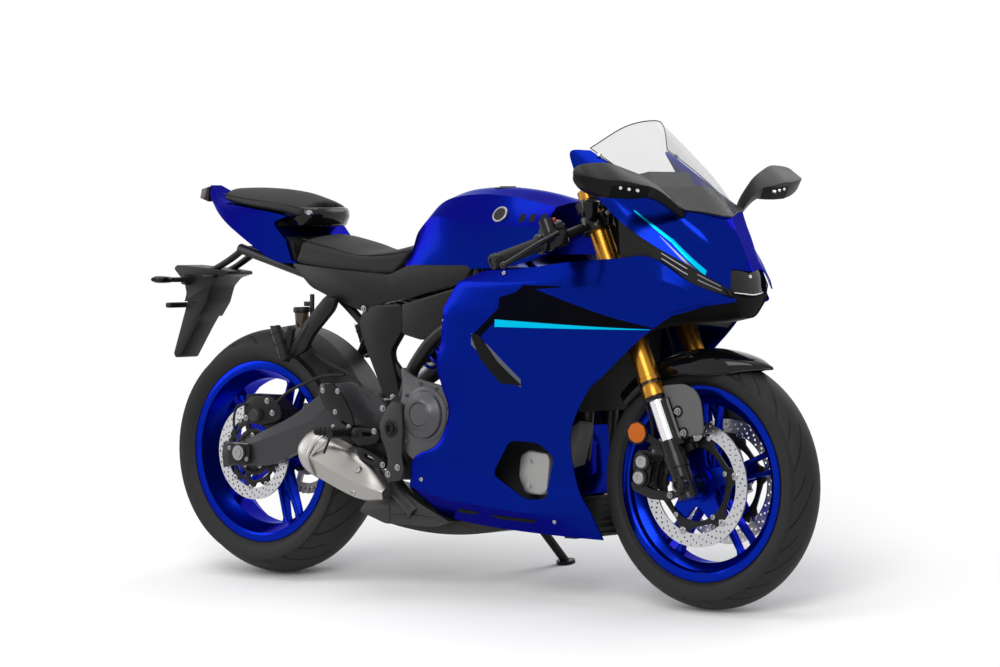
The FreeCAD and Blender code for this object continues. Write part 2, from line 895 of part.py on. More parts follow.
def hand_control():
    """Perch, fluid cup and lever in front of one grip."""
    ends = bar_points(-1)
    length = (ends[1] - ends[0]).Length
    inner = 1 - (S.grip_length + S.perch_width + S.perch_gap) / length
    outer = 1 - (S.grip_length + S.perch_gap) / length
    ring = rod("perch_ring", along(ends, inner), along(ends, outer), "perch_radius",
               "bar_radius + seat_gap")
    way = (ends[1] - ends[0]).normalize()
    ahead = V(0, 0, 1).cross(way).normalize()
    if ahead.x < 0:
        ahead = ahead * -1
    middle = along(ends, (inner + outer) / 2)
    start = middle + ahead * S.perch_radius
    body_end = start + ahead * S.master_reach
    master = rod("master", start - ahead * S.master_inset, body_end, "master_radius")
    cup = rod("fluid_cup", start + ahead * (S.master_reach / 2),
              start + ahead * (S.master_reach / 2) + V(0, 0, S.cup_height), "cup_radius")
    pivot = body_end - V(0, 0, S.lever_seat)
    tip = pivot + way * S.lever_length - ahead * S.lever_tuck - V(0, 0, S.lever_drop)
    knee = pivot + (way * S.lever_length - V(0, 0, S.lever_drop)) * LEVER_KNEE_SHARE
    knee = knee + ahead * S.lever_knee
    parts = [ring, master, cup]
    parts.append(rod("lever_inner", pivot - way * S.lever_heel, knee, "lever_radius"))
    parts.append(rod("lever_outer", knee, tip, "lever_radius"))
    ball = doc.addObject("Part::Sphere", "lever_ball")
    bind(ball, Radius="lever_radius + ball_step")
    ball.Placement = Placement(tip, Rotation())
    knuckle = doc.addObject("Part::Sphere", "lever_knuckle")
    bind(knuckle, Radius="lever_radius + knuckle_step")
    knuckle.Placement = Placement(knee, Rotation())
    return joined("hand_control_joined", parts + [knuckle, ball])


# Front fender, in the frame of the front axle.
FENDER_ANGLES = (58, 72, 88, 104, 120, 138)
# For each line: radius over the tyre at the tip, at the crown and at the tail, then its half width.
FENDER_LINE_SHARES = (
    (1.08, 0.86, 0.90, 0.06, 1.22),
    (1.085, 0.95, 0.95, 0.055, 1.26),
    (1.09, 1.035, 1.03, 0.04, 0.95),
    (1.10, 1.065, 1.06, 0.0, 0.0),
)


def fender_arch():
    lines = []
    for tip, crown, tail, narrow, wide in FENDER_LINE_SHARES:
        line = []
        for i, angle in enumerate(FENDER_ANGLES):
            run = i / (len(FENDER_ANGLES) - 1)
            ease = min(1.0, run * 2.5)
            radius = tip + (crown - tip) * math.sin(ease * math.pi / 2)
            radius += (tail - crown) * max(0.0, run - 0.4) / 0.6
            width = narrow + (wide - narrow) * math.sin(ease * math.pi / 2) ** 0.8
            turn = math.radians(angle)
            out = radius * S.front_tyre_radius
            line.append(V(out * math.cos(turn), -width * S.front_tyre_half_width, out * math.sin(turn)))
        lines.append(line)
    left = [[V(p.x, -p.y, p.z) for p in line] for line in lines[-2::-1]]
    return panel(lines + left, S.panel_wall)


# The shield's outline ahead of the fork leg, as shares of the tyre radius from the axle.
SHIELD_SHARES = (
    (-0.155, 0.775), (-0.02, 0.805), (0.10, 0.745), (0.165, 0.63), (0.175, 0.40), (-0.01, 0.345),
)

SHIELD_BOSS_SHARES = (-0.03, 0.75)


def shield():
    """The stay plate on the right, with the boss that carries the fender."""
    ring = [V(x * S.front_tyre_radius, -S.shield_offset, z * S.front_tyre_radius)
            for x, z in SHIELD_SHARES]
    face = Part.Face(Part.makePolygon(ring + ring[:1]))
    plate_solid = face.extrude(V(0, -S.shield_thickness, 0))
    reach = S.shield_offset - S.fender_seat
    seat = V(SHIELD_BOSS_SHARES[0] * S.front_tyre_radius, -S.shield_offset,
             SHIELD_BOSS_SHARES[1] * S.front_tyre_radius)
    boss = Part.makeCylinder(S.lug_width / 2, reach, seat, V(0, 1, 0))
    return plate_solid.fuse(boss)


# A caliper's outline behind the leg, as shares of the disc radius from the axle.
CALIPER_SHARES = (
    (-1.06, -0.22), (-0.88, -0.42), (-0.58, -0.36), (-0.47, -0.10), (-0.48, 0.30),
    (-0.58, 0.60), (-0.84, 0.62), (-1.06, 0.32),
)


def caliper(name, shares, radius, outer, inner, slot, clearance):
    """A caliper block with a slot for its disc."""
    ring = [V(x * radius, -outer, z * radius) for x, z in shares]
    block = Part.Face(Part.makePolygon(ring + ring[:1])).extrude(V(0, outer - inner, 0))
    gap = S.disc_thickness + clearance * 2
    cut = Part.makeCylinder(radius + clearance, gap, V(0, -slot - gap / 2, 0), V(0, 1, 0))
    return solid_piece(name, block.cut(cut))


# A brake hose from the lower yoke down behind the leg, on the upright motorcycle.
HOSE_SHARES = (
    (4.823, 0.62, 7.459), (4.943, 0.62, 7.18), (5.05, 0.66, 6.70), (5.20, 0.78, 6.05),
    (5.45, 0.90, 5.40), (5.74, 0.92, 4.78), (5.85, 0.85, 4.30), (5.85, 0.85, 3.923),
)


def brake_hoses():
    sides = [tube(route(HOSE_SHARES, side), S.hose_radius) for side in (-1, 1)]
    return solid_piece("hoses", Part.makeCompound(sides))


piece("fork_tubes", pair("fork_tube_pair", fork_tube()), FORK)
piece("fork_stanchions", pair("stanchion_pair", stanchion()), FORK)
piece("fork_feet", fork_feet(), FORK)
piece("lower_yoke", yoke("lower_yoke", "lower_yoke_height", "lower_yoke_thickness", True), FORK)
piece("upper_yoke", yoke("upper_yoke", "lower_yoke_height + yoke_spread", "upper_yoke_thickness", False), FORK)
piece("clip_ons", pair("clip_on_pair", clip_on()), FORK)
piece("hand_controls", pair("hand_control_pair", hand_control()), FORK)
shield_right = solid_piece("shield", shield())
fender = solid_piece("fender", fender_arch())
piece("front_fender", group("fender_group", [fender, shield_right, mirrored("shield_l", shield_right)]),
      FRONT_AXLE)
front_caliper = caliper("front_caliper", CALIPER_SHARES, S.front_disc_radius,
                        S.front_disc_offset + S.caliper_outer, S.front_disc_offset - S.caliper_inner,
                        S.front_disc_offset, S.pad_gap)
piece("front_calipers", pair("front_caliper_pair", front_caliper), FRONT_AXLE)
piece("brake_hoses", brake_hoses())


# Where the side stand meets the ground and how it folds.
lean = math.radians(S.side_lean)
STAND_LIFT = S.rear_crown_radius * (1 - math.cos(lean))
GROUND_UP = V(0, -math.sin(lean), math.cos(lean))


def stand_foot():
    """Where the stand meets the ground, on the upright motorcycle."""
    y = S.stand_foot_y
    z = (y * math.sin(lean) - STAND_LIFT) / math.cos(lean)
    return V(S.stand_foot_x, y, z)


# The way that the stowed stand points.
STOWED_SHARES = (-0.985, 0.13, 0.11)


def stand_axis():
    """The line of the stand's bolt, square to its leg both down and stowed."""
    leg = stand_foot() - V(S.stand_pivot_x, S.stand_pivot_y, S.stand_pivot_z)
    return leg.cross(V(*STOWED_SHARES)).normalize()


def stand_bolt(low, high, radius):
    """A bar along the stand's bolt, from low to high on the pivot's own axis."""
    pivot, way = V(S.stand_pivot_x, S.stand_pivot_y, S.stand_pivot_z), stand_axis()
    return Part.makeCylinder(radius, high - low, pivot + way * low, way)


# Frame, engine and running gear, on the upright motorcycle.
PIVOT_PLATE_SHARES = (
    (-1.43, 4.95), (-1.14, 4.90), (-1.24, 4.55), (-1.27, 4.30), (-1.22, 4.00), (-1.04, 3.66),
    (-0.92, 3.10), (-1.18, 2.74),
    (-1.66, 2.72), (-1.72, 3.00), (-1.52, 3.45), (-2.02, 4.04), (-1.86, 4.70),
)


def pivot_plate(side):
    low, high = S.plate_inner, S.plate_inner + S.plate_thickness
    return prism(PIVOT_PLATE_SHARES, side, low, high)


STAND_LUG_SHARES = ((-1.30, 3.30), (-0.92, 3.20), (-0.30, 2.66), (-0.36, 2.14), (-0.90, 2.10),
                    (-1.40, 2.80))


# Routes of the frame's tubes on the left, and where its posts, bolts and stays stand.
UPPER_RAIL_SHARES = ((4.18, 0.16, 8.42), (3.30, 0.80, 7.68), (2.00, 1.12, 7.28), (0.40, 1.16, 6.90),
                     (-0.80, 1.18, 6.20), (-1.32, 1.34, 5.40), (-1.46, 1.40, 4.78))
LOWER_RAIL_SHARES = ((4.28, 0.12, 8.26), (3.72, 0.84, 7.16), (3.00, 1.28, 6.40), (2.32, 1.32, 5.88),
                     (1.76, 1.32, 5.60))
COWL_ARM_SHARES = ((5.45, 0.04, 8.82), (6.00, 1.00, 9.00), (6.39, 1.489, 9.17))
DASH_STAY_SHARES = ((4.32, 0, 8.58), (5.20, 0, 8.72), (5.62, 0, 9.05), (5.56, 0, 9.754))
LAMP_STAY_SHARES = ((5.30, 0, 8.78), (6.40, 0, 8.30), (7.44, 0, 7.69))
TANK_POST_SHARES = ((0.60, 1.08, 6.93), (0.60, 1.08, 7.977))
ENGINE_BOLT_SHARES = (2.00, 1.273, 5.72)
RADIATOR_PIN_SHARES = ((4.18, 0.84, 6.903), (4.18, 0.84, 7.143))
RADIATOR_STAY_SHARES = (3.68, 0.84, 7.12)
SHOCK_EYE_SHARES = (-1.10, 0, 5.75)
CROSS_TUBE_SHARES = ((-1.46, 0, 4.70), (-1.36, 0, 2.92))


def cross_tube(middle, half, radius):
    """A tube across the motorcycle through a place on its middle plane."""
    return Part.makeCylinder(radius, half * 2, middle - V(0, half, 0), V(0, 1, 0))


def post(ends, side, radius):
    """A straight bar between two places of the body grid."""
    low, top = route(ends, side)
    return Part.makeCylinder(radius, (top - low).Length, low, top - low)


def main_frame():
    """Head tube, two rails a side, pivot plates, stays and the stand's bracket."""
    head_low = FORK.multVec(V(0, 0, S.lower_yoke_height + S.head_foot))
    head_top = S.lower_yoke_height + S.yoke_spread - S.head_drop
    way = FORK.multVec(V(0, 0, head_top)) - head_low
    shapes = [Part.makeCylinder(S.head_radius, way.Length, head_low, way)]
    for side in (-1, 1):
        shapes.append(tube(route(UPPER_RAIL_SHARES, side), S.rail_radius))
        shapes.append(tube(route(LOWER_RAIL_SHARES, side), S.lower_rail_radius))
        shapes.append(tube(route(COWL_ARM_SHARES, side), S.stay_radius))
        shapes.append(pivot_plate(side))
        shapes.append(post(TANK_POST_SHARES, side, S.tank_post_radius))
        shapes.append(Part.makeCylinder(S.engine_bolt_radius, S.engine_bolt_length,
                                        grid(ENGINE_BOLT_SHARES, side), V(0, -side, 0)))
        shapes.append(post(RADIATOR_PIN_SHARES, side, S.radiator_pin_radius))
        shapes.append(Part.makeCylinder(S.radiator_pin_radius, S.radiator_stay_length,
                                        grid(RADIATOR_STAY_SHARES, side), V(1, 0, 0)))
    shapes.append(tube(route(DASH_STAY_SHARES), S.stay_radius))
    shapes.append(tube(route(LAMP_STAY_SHARES), S.stay_radius))
    for share in CROSS_TUBE_SHARES:
        shapes.append(cross_tube(grid(share), S.plate_inner + S.plate_thickness / 2, S.cross_radius))
    shapes.append(cross_tube(grid(SHOCK_EYE_SHARES), S.shock_bar_half_length, S.cross_radius))
    shapes.append(prism(STAND_LUG_SHARES, 1, S.plate_inner, S.plate_inner + S.plate_thickness / 2))
    shapes.append(stand_bolt(-S.stand_bolt_reach, S.stand_radius + S.stand_lug_step, S.stand_bolt_radius))
    fused = shapes[0].multiFuse(shapes[1:])
    bore = Part.makeCylinder(S.stem_radius + S.head_clearance, way.Length + S.overrun * 2,
                             head_low - way.normalize() * S.overrun, way)
    return fused.cut(bore)


# Routes of the seat frame on the left, its posts with their heights, and its cross tubes.
SEAT_RAIL_SHARES = ((-0.96, 0.96, 7.12), (-2.50, 0.96, 7.32), (-4.30, 0.94, 7.52), (-6.20, 0.80, 7.985),
                    (-7.90, 0.52, 8.36))
STRUT_SHARES = ((-1.50, 1.12, 4.98), (-2.40, 1.08, 5.90), (-3.60, 1.02, 6.90), (-4.50, 0.96, 7.50))
PEG_HANGER_SHARES = ((-4.00, 1.00, 7.42), (-4.40, 1.32, 6.90), (-4.86, 1.40, 6.22), (-5.40, 1.42, 5.66))
SEAT_POST_SHARES = (((-3.00, 0.93, 7.38), (-3.00, 0.93, 7.723)), ((-4.70, 0.93, 7.52), (-4.70, 0.93, 7.923)))
PEG_SHARES = (-5.48, 1.42, 5.56)
PEG_TURN_SHARES = (0.35, 0.1, 1)
SEAT_CROSS_SHARES = ((-2.50, 0.96, 7.32), (-6.20, 0.80, 7.985), (-7.85, 0.52, 8.34))


def subframe():
    """Seat rails with their struts and the passenger footrest hangers."""
    shapes = []
    for side in (-1, 1):
        shapes.append(tube(route(SEAT_RAIL_SHARES, side), S.seat_rail_radius))
        shapes.append(tube(route(STRUT_SHARES, side), S.strut_radius))
        shapes.append(tube(route(PEG_HANGER_SHARES, side), S.strut_radius))
        for ends in SEAT_POST_SHARES:
            shapes.append(post(ends, side, S.seat_post_radius))
        turn = V(PEG_TURN_SHARES[0], side * PEG_TURN_SHARES[1], PEG_TURN_SHARES[2])
        shapes.append(Part.makeCylinder(S.peg_radius, S.folded_peg, grid(PEG_SHARES, side), turn))
    for share in SEAT_CROSS_SHARES:
        end = grid(share, 1)
        shapes.append(cross_tube(V(end.x, 0, end.z), end.y, S.strut_radius - S.cross_step))
    return shapes[0].multiFuse(shapes[1:])


CASE_SHARES = ((-1.28, 4.80), (-1.30, 3.10), (-0.60, 2.18), (2.10, 2.18), (3.00, 2.90), (3.06, 4.10),
               (2.60, 4.95), (0.30, 4.95))
BARREL_SHARES = ((0.62, 4.60), (2.46, 4.30), (3.16, 6.05), (2.92, 6.72), (1.86, 6.96), (1.16, 6.50))


def engine_block():
    """Crankcase with the twin's leaning barrel and head."""
    body = new_body("engine")
    for shares, half in ((CASE_SHARES, "crankcase_half_width"), (BARREL_SHARES, "cylinder_half_width")):
        corners = [(f"{x * GRID_SHARES[0]} * wheelbase", f"{z * GRID_SHARES[2]} * seat_height")
                   for x, z in shares]
        pad(body, outline(sketch(body, "XZ_Plane"), corners), f"{half} * 2")
    return body


def engine_covers():
    """Clutch cover on the right, generator and chain covers on the left."""
    clutch = turned_piece("clutch_cover", [[
        ("0", "0"),
        ("0", "clutch_radius"),
        ("-cover_depth", "clutch_radius"),
        ("-(cover_depth + cover_dome)", "clutch_radius - cover_chamfer"),
        ("-(cover_depth + cover_dome * 2)", "clutch_radius * 0.62"),
        ("-(cover_depth + cover_dome * 2 - clutch_ring_step)", "clutch_radius * 0.55"),
        ("-(cover_depth + cover_dome * 2 + clutch_ring_step)", "clutch_radius * 0.42"),
        ("-(cover_depth + cover_dome * 3)", "0"),
    ]])
    clutch.Placement = Placement(V(S.clutch_x, -(S.crankcase_half_width + S.seat_gap), S.clutch_z),
                                 Rotation())
    generator = turned_piece("generator_cover", [[
        ("0", "0"),
        ("0", "generator_radius"),
        ("cover_depth", "generator_radius"),
        ("cover_depth + cover_dome", "generator_radius - cover_chamfer"),
        ("cover_depth + cover_chamfer", "0"),
    ]])
    generator.Placement = Placement(V(S.generator_x, S.crankcase_half_width + S.seat_gap, S.generator_z),
                                    Rotation())
    output = rod("output_sprocket", V(S.front_sprocket_x, S.crankcase_half_width + S.seat_gap,
                                      S.front_sprocket_z),
                 V(S.front_sprocket_x, S.sprocket_offset + S.chain_width / 2, S.front_sprocket_z),
                 "front_sprocket_radius - seat_gap")
    return group("engine_cover_group", [clutch, generator, output])


def radiator():
    core = plate("radiator", [
        ("radiator_x - radiator_thickness / 2", "radiator_low"),
        ("radiator_x + radiator_thickness / 2", "radiator_low"),
        ("radiator_x + radiator_thickness / 2 + radiator_rake", "radiator_high"),
        ("radiator_x - radiator_thickness / 2 + radiator_rake", "radiator_high"),
    ], "radiator_width")
    return core


# Corner lines of the swingarm's right arm: outer top, outer crease, outer bottom, inner bottom, inner top.
ARM_SHARES = (
    ((-7.66, 3.40), (-7.05, 3.44), (-6.26, 3.73), (-5.39, 4.09), (-4.46, 4.65), (-3.88, 5.00),
     (-2.90, 4.95), (-2.05, 4.42)),
    ((-7.68, 3.10), (-7.05, 3.26), (-6.20, 3.54), (-5.20, 3.84), (-4.39, 4.20), (-3.80, 4.60),
     (-2.90, 4.50), (-2.00, 4.10)),
    ((-7.66, 2.74), (-7.04, 2.82), (-5.90, 2.91), (-5.39, 3.12), (-4.60, 3.36), (-3.88, 3.46),
     (-2.90, 3.56), (-2.05, 3.66)),
)
ARM_WIDTH_SHARES = (1, 1, 1, 1, 0.99, 0.97, 0.95, 0.93)
# One row unit of the arms' heights, as a share of the rear tyre's radius.
ARM_HEIGHT_SHARE = 0.31746
# The width of the neck between pivot and brace, as a share of the arms' inner distance.
NECK_WIDTH_SHARE = 1.4


def arm_point(x, y, z):
    """A point of the arms: along with the wheelbase, up with the rear wheel."""
    return V(grid((x, 0, z)).x, y, z * S.rear_tyre_radius * ARM_HEIGHT_SHARE)


def swing_arm(side):
    """One arm between its outer and inner faces, drawn in towards the pivot."""
    outer = []
    for k, row_shares in enumerate(ARM_SHARES):
        bulge = S.arm_bulge if k == 1 else 0
        outer.append([arm_point(x, side * (S.arm_outer * w + bulge), z)
                      for (x, z), w in zip(row_shares, ARM_WIDTH_SHARES)])
    inner = []
    for row_shares in (ARM_SHARES[2], ARM_SHARES[0]):
        inner.append([arm_point(x, side * S.arm_inner, z) for x, z in row_shares])
    return hull(outer + inner)


def swingarm():
    pivot = V(-S.pivot_back, 0, S.pivot_height)
    half = S.plate_inner - S.seat_gap
    shapes = [swing_arm(-1), swing_arm(1)]
    shapes.append(Part.makeCylinder(S.pivot_tube_radius, half * 2, pivot - V(0, half, 0), V(0, 1, 0)))
    brace = Part.makeBox(S.brace_length, (S.arm_inner - S.brace_lap) * 2, S.brace_height,
                         V(-S.brace_back, -(S.arm_inner - S.brace_lap), S.brace_low))
    shapes.append(brace)
    length = S.brace_back - S.brace_length - S.pivot_back + S.neck_lap * 2
    width = S.arm_inner * NECK_WIDTH_SHARE
    corner = V(-S.brace_back + S.brace_length - S.neck_lap, -width / 2,
               S.pivot_height - S.pivot_tube_radius / 2)
    shapes.append(Part.makeBox(length, width, S.pivot_tube_radius, corner))
    fused = shapes[0].multiFuse(shapes[1:])
    reach = S.arm_outer + S.overrun
    hole = Part.makeCylinder(S.rear_axle_radius + S.seat_gap, reach * 2,
                             V(-half_base, -reach, S.rear_tyre_radius), V(0, 1, 0))
    return fused.cut(hole).cut(chain_room())


def rear_axle():
    """The axle with its spacers, adjuster plates and nuts."""
    half, seat = S.rear_axle_half_length, S.arm_outer + S.arm_bulge + S.seat_gap
    ax = V(0, 1, 0)
    shapes = [Part.makeCylinder(S.rear_axle_radius, half * 2, V(0, -half, 0), ax)]
    for side in (-1, 1):
        out = V(0, side, 0)
        near = S.rear_hub_half_width + S.hub_clearance
        shapes.append(Part.makeCylinder(S.spacer_radius, S.arm_inner - S.seat_gap - near, out * near, out))
        box = Part.makeBox(S.adjuster_length, S.adjuster_thickness, S.adjuster_height,
                           V(-S.adjuster_length / 2, seat if side > 0 else -seat - S.adjuster_thickness,
                             -S.adjuster_height / 2))
        nut = Part.makeCylinder(S.axle_nut_radius, half - seat - S.nut_inset, out * seat, out)
        shapes += [box, nut]
    return solid_piece("rear_axle_bar", shapes[0].multiFuse(shapes[1:]))


def belt(rear_radius, front_radius):
    """A loop around both sprockets: two tangent runs and two arcs."""
    rear = V(-half_base, 0, S.rear_tyre_radius)
    front = V(S.front_sprocket_x, 0, S.front_sprocket_z)
    way = (front - rear).normalize()
    up = V(-way.z, 0, way.x)
    lean_angle = math.asin((rear_radius - front_radius) / (front - rear).Length)
    spots = []
    for side in (1, -1):
        out = up * (side * math.cos(lean_angle)) + way * math.sin(lean_angle)
        spots.append((rear + out * rear_radius, front + out * front_radius))
    top, bottom = spots
    return Part.Wire([
        Part.LineSegment(top[0], top[1]).toShape(),
        Part.Arc(top[1], front + way * front_radius, bottom[1]).toShape(),
        Part.LineSegment(bottom[1], bottom[0]).toShape(),
        Part.Arc(bottom[0], rear - way * rear_radius, top[0]).toShape(),
    ])


def chain():
    inside = S.chain_clearance
    outer = Part.Face(belt(S.sprocket_radius + inside + S.chain_height,
                           S.front_sprocket_radius + S.chain_height))
    inner = Part.Face(belt(S.sprocket_radius + inside, S.front_sprocket_radius))
    loop = outer.cut(inner)
    loop.translate(V(0, S.sprocket_offset - S.chain_width / 2, 0))
    return loop.extrude(V(0, S.chain_width, 0))


def chain_room():
    """The space that the swingarm leaves free around the chain."""
    room = Part.Face(belt(S.sprocket_radius + S.chain_clearance + S.chain_height + S.chain_room,
                          S.front_sprocket_radius + S.chain_height + S.chain_room))
    low = S.sprocket_offset - S.chain_width / 2 - S.chain_room
    room.translate(V(0, low, 0))
    return room.extrude(V(0, S.arm_inner - low, 0))


REAR_LUG_SHARES = ((0.60, 0.50), (1.10, 0.50), (1.10, 1.02), (0.60, 1.02))
REAR_CALIPER_SHARES = ((-0.06, 0.74), (1.00, 0.72), (1.06, 0.92), (0.62, 1.22), (-0.02, 1.22))


def rear_brake():
    """The caliper with the lug that seats it on the arm."""
    block = caliper("rear_caliper", REAR_CALIPER_SHARES, S.rear_disc_radius,
                    S.rear_disc_offset + S.rear_caliper_outer, S.rear_disc_offset - S.rear_caliper_inner,
                    S.rear_disc_offset, S.pad_gap)
    lug = prism(REAR_LUG_SHARES, -1, S.arm_inner - S.seat_gap - S.lug_width, S.arm_inner - S.seat_gap)
    return solid_piece("rear_caliper_and_lug", block.Shape.fuse(lug))


HUGGER_ANGLES = (14, 30, 46, 62, 80)
# Each line's radius over the tyre's, and its half width over the arms' inner distance.
HUGGER_SHARES = ((0.93, 0.76), (1.02, 0.70), (1.045, 0.0))


def rear_hugger():
    """A short arch over the front of the rear tyre, seated between the arms."""
    lines = []
    for out_share, width_share in HUGGER_SHARES:
        line = []
        for angle in HUGGER_ANGLES:
            turn = math.radians(angle)
            out = out_share * S.rear_tyre_radius
            line.append(V(out * math.cos(turn), -width_share * S.arm_inner, out * math.sin(turn)))
        lines.append(line)
    left = [[V(p.x, -p.y, p.z) for p in line] for line in lines[-2::-1]]
    arch = panel(lines + left, S.panel_wall)
    bracket = Part.makeBox(S.hugger_reach, S.arm_inner / 2, S.seat_rail_radius,
                           V(half_base - S.brace_back - S.seat_gap - S.hugger_reach,
                             -S.arm_inner / 4, S.hugger_lift))
    return solid_piece("hugger_arch", arch.fuse(bracket))


# The header's route on the right, of which the last runs draw in towards the middle.
HEADER_SHARES = ((3.147, 1, 5.999), (3.493, 1, 5.859), (3.58, 1, 5.00), (3.52, 1, 4.00),
                 (3.34, 0.9, 2.90), (2.90, 0.8, 2.05), (2.00, 0.7, 1.80), (0.96, 0.6, 1.78))
RISER_SHARES = (-2.00, 1.00, 1.96)
ELBOW_SHARES = (-2.18, 1.00, 2.58)


def header_route(side):
    """A header's route, with its distance across as a share of the header spread."""
    spots = [grid((x, 0, z)) for x, _, z in HEADER_SHARES]
    return [V(p.x, side * share[1] * S.header_spread, p.z) for p, share in zip(spots, HEADER_SHARES)]


def exhaust_pipe():
    """Two headers under the engine into a collector box, and the stub of the silencer."""
    headers = [tube(header_route(side), S.header_radius) for side in (-1, 1)]
    box = hull(half_lines(COLLECTOR_SHARES))
    low, elbow = grid(RISER_SHARES), grid(ELBOW_SHARES)
    riser = Part.makeCylinder(S.stub_radius, S.riser_length, low, elbow - low)
    joint = Part.makeSphere(S.stub_radius, elbow)
    stub = Part.makeCylinder(S.stub_radius, S.stub_length, elbow, V(0, -1, 0))
    return headers[0].multiFuse([headers[1], box, riser, joint, stub])


COLLECTOR_SHARES = (
    ((1.00, 0.62, 2.02), (-0.60, 0.95, 2.06), (-2.00, 1.38, 2.20)),
    ((1.00, 0.62, 1.56), (-0.60, 0.95, 1.40), (-2.00, 1.38, 1.62)),
    ((1.00, -0.50, 1.56), (-0.60, -0.70, 1.40), (-2.00, -0.40, 1.60)),
    ((1.00, -0.50, 2.02), (-0.60, -0.70, 2.06), (-2.00, -0.40, 2.16)),
)
MUFFLER_SHARES = (
    ((-4.28, 1.84, 3.84), (-3.93, 1.88, 3.78), (-2.35, 1.78, 3.24), (-1.82, 1.62, 2.74)),
    ((-4.52, 2.06, 3.30), (-4.19, 2.16, 3.23), (-3.03, 2.16, 2.82), (-1.76, 1.96, 2.50)),
    ((-4.10, 1.92, 2.68), (-3.90, 1.98, 2.70), (-2.55, 1.90, 2.24), (-1.84, 1.84, 2.23)),
    ((-4.10, 1.46, 2.68), (-3.90, 1.44, 2.68), (-2.55, 1.44, 2.24), (-1.84, 1.44, 2.23)),
    ((-4.28, 1.46, 3.84), (-3.93, 1.44, 3.78), (-2.35, 1.44, 3.24), (-1.82, 1.44, 2.74)),
)


REARSET_SHARES = ((-1.86, 3.72), (-1.80, 4.14), (-2.30, 4.10), (-3.16, 4.00), (-3.20, 3.66),
                  (-2.60, 3.55), (-1.70, 3.02), (-1.40, 3.06), (-1.52, 3.32))
RIDER_PEG_SHARES = (-3.00, 0, 3.83)
FEELER_TURN_SHARES = (-0.35, -0.2, -1)


def rearset():
    """The rider's footrest on its bracket, with its feeler."""
    inner = S.plate_inner + S.plate_thickness + S.seat_gap
    outer = inner + S.bracket_thickness
    bracket = prism(REARSET_SHARES, -1, inner, outer)
    root = grid(RIDER_PEG_SHARES)
    peg = Part.makeCylinder(S.peg_radius, S.peg_length, root - V(0, outer, 0), V(0, -1, 0))
    feeler = Part.makeCylinder(S.feeler_radius, S.feeler_length,
                               root - V(0, outer + S.peg_length - S.peg_seat, 0),
                               V(*FEELER_TURN_SHARES))
    return bracket.multiFuse([peg, feeler])


# Where the damper stands on the brace, how long its spring is and how far up it starts.
SHOCK_SHARES = (0.64, 0.72, 0.16)


def shock():
    eye = grid(SHOCK_EYE_SHARES)
    foot = V(-S.brace_back + S.brace_length * SHOCK_SHARES[0], 0, S.brace_low + S.brace_height)
    way = (eye - foot).normalize()
    low = foot + V(0, 0, S.shock_rod_radius * way.x + S.seat_gap)
    high = eye - way * (S.cross_radius + S.seat_gap)
    way = high - low
    spring = Part.makeCylinder(S.shock_radius, way.Length * SHOCK_SHARES[1], low + way * SHOCK_SHARES[2], way)
    return spring.fuse(Part.makeCylinder(S.shock_rod_radius, way.Length, low, way))


piece("main_frame", solid_piece("frame_tubes", main_frame()))
piece("subframe", solid_piece("seat_rails", subframe()))
piece("engine_block", engine_block())
piece("engine_covers", engine_covers())
piece("radiator", radiator())
piece("swingarm", solid_piece("arms", swingarm()))
piece("rear_axle", rear_axle(), REAR_AXLE)
piece("chain", solid_piece("chain_loop", chain()))
piece("rear_brake", rear_brake(), REAR_AXLE)
piece("rear_hugger", rear_hugger(), REAR_AXLE)
piece("exhaust_pipe", solid_piece("pipes", exhaust_pipe()))
piece("muffler", solid_piece("silencer", hull(half_lines(MUFFLER_SHARES))))
piece("rearsets", pair("rearset_pair", solid_piece("rearset_right", rearset())))
piece("shock", solid_piece("damper", shock()))


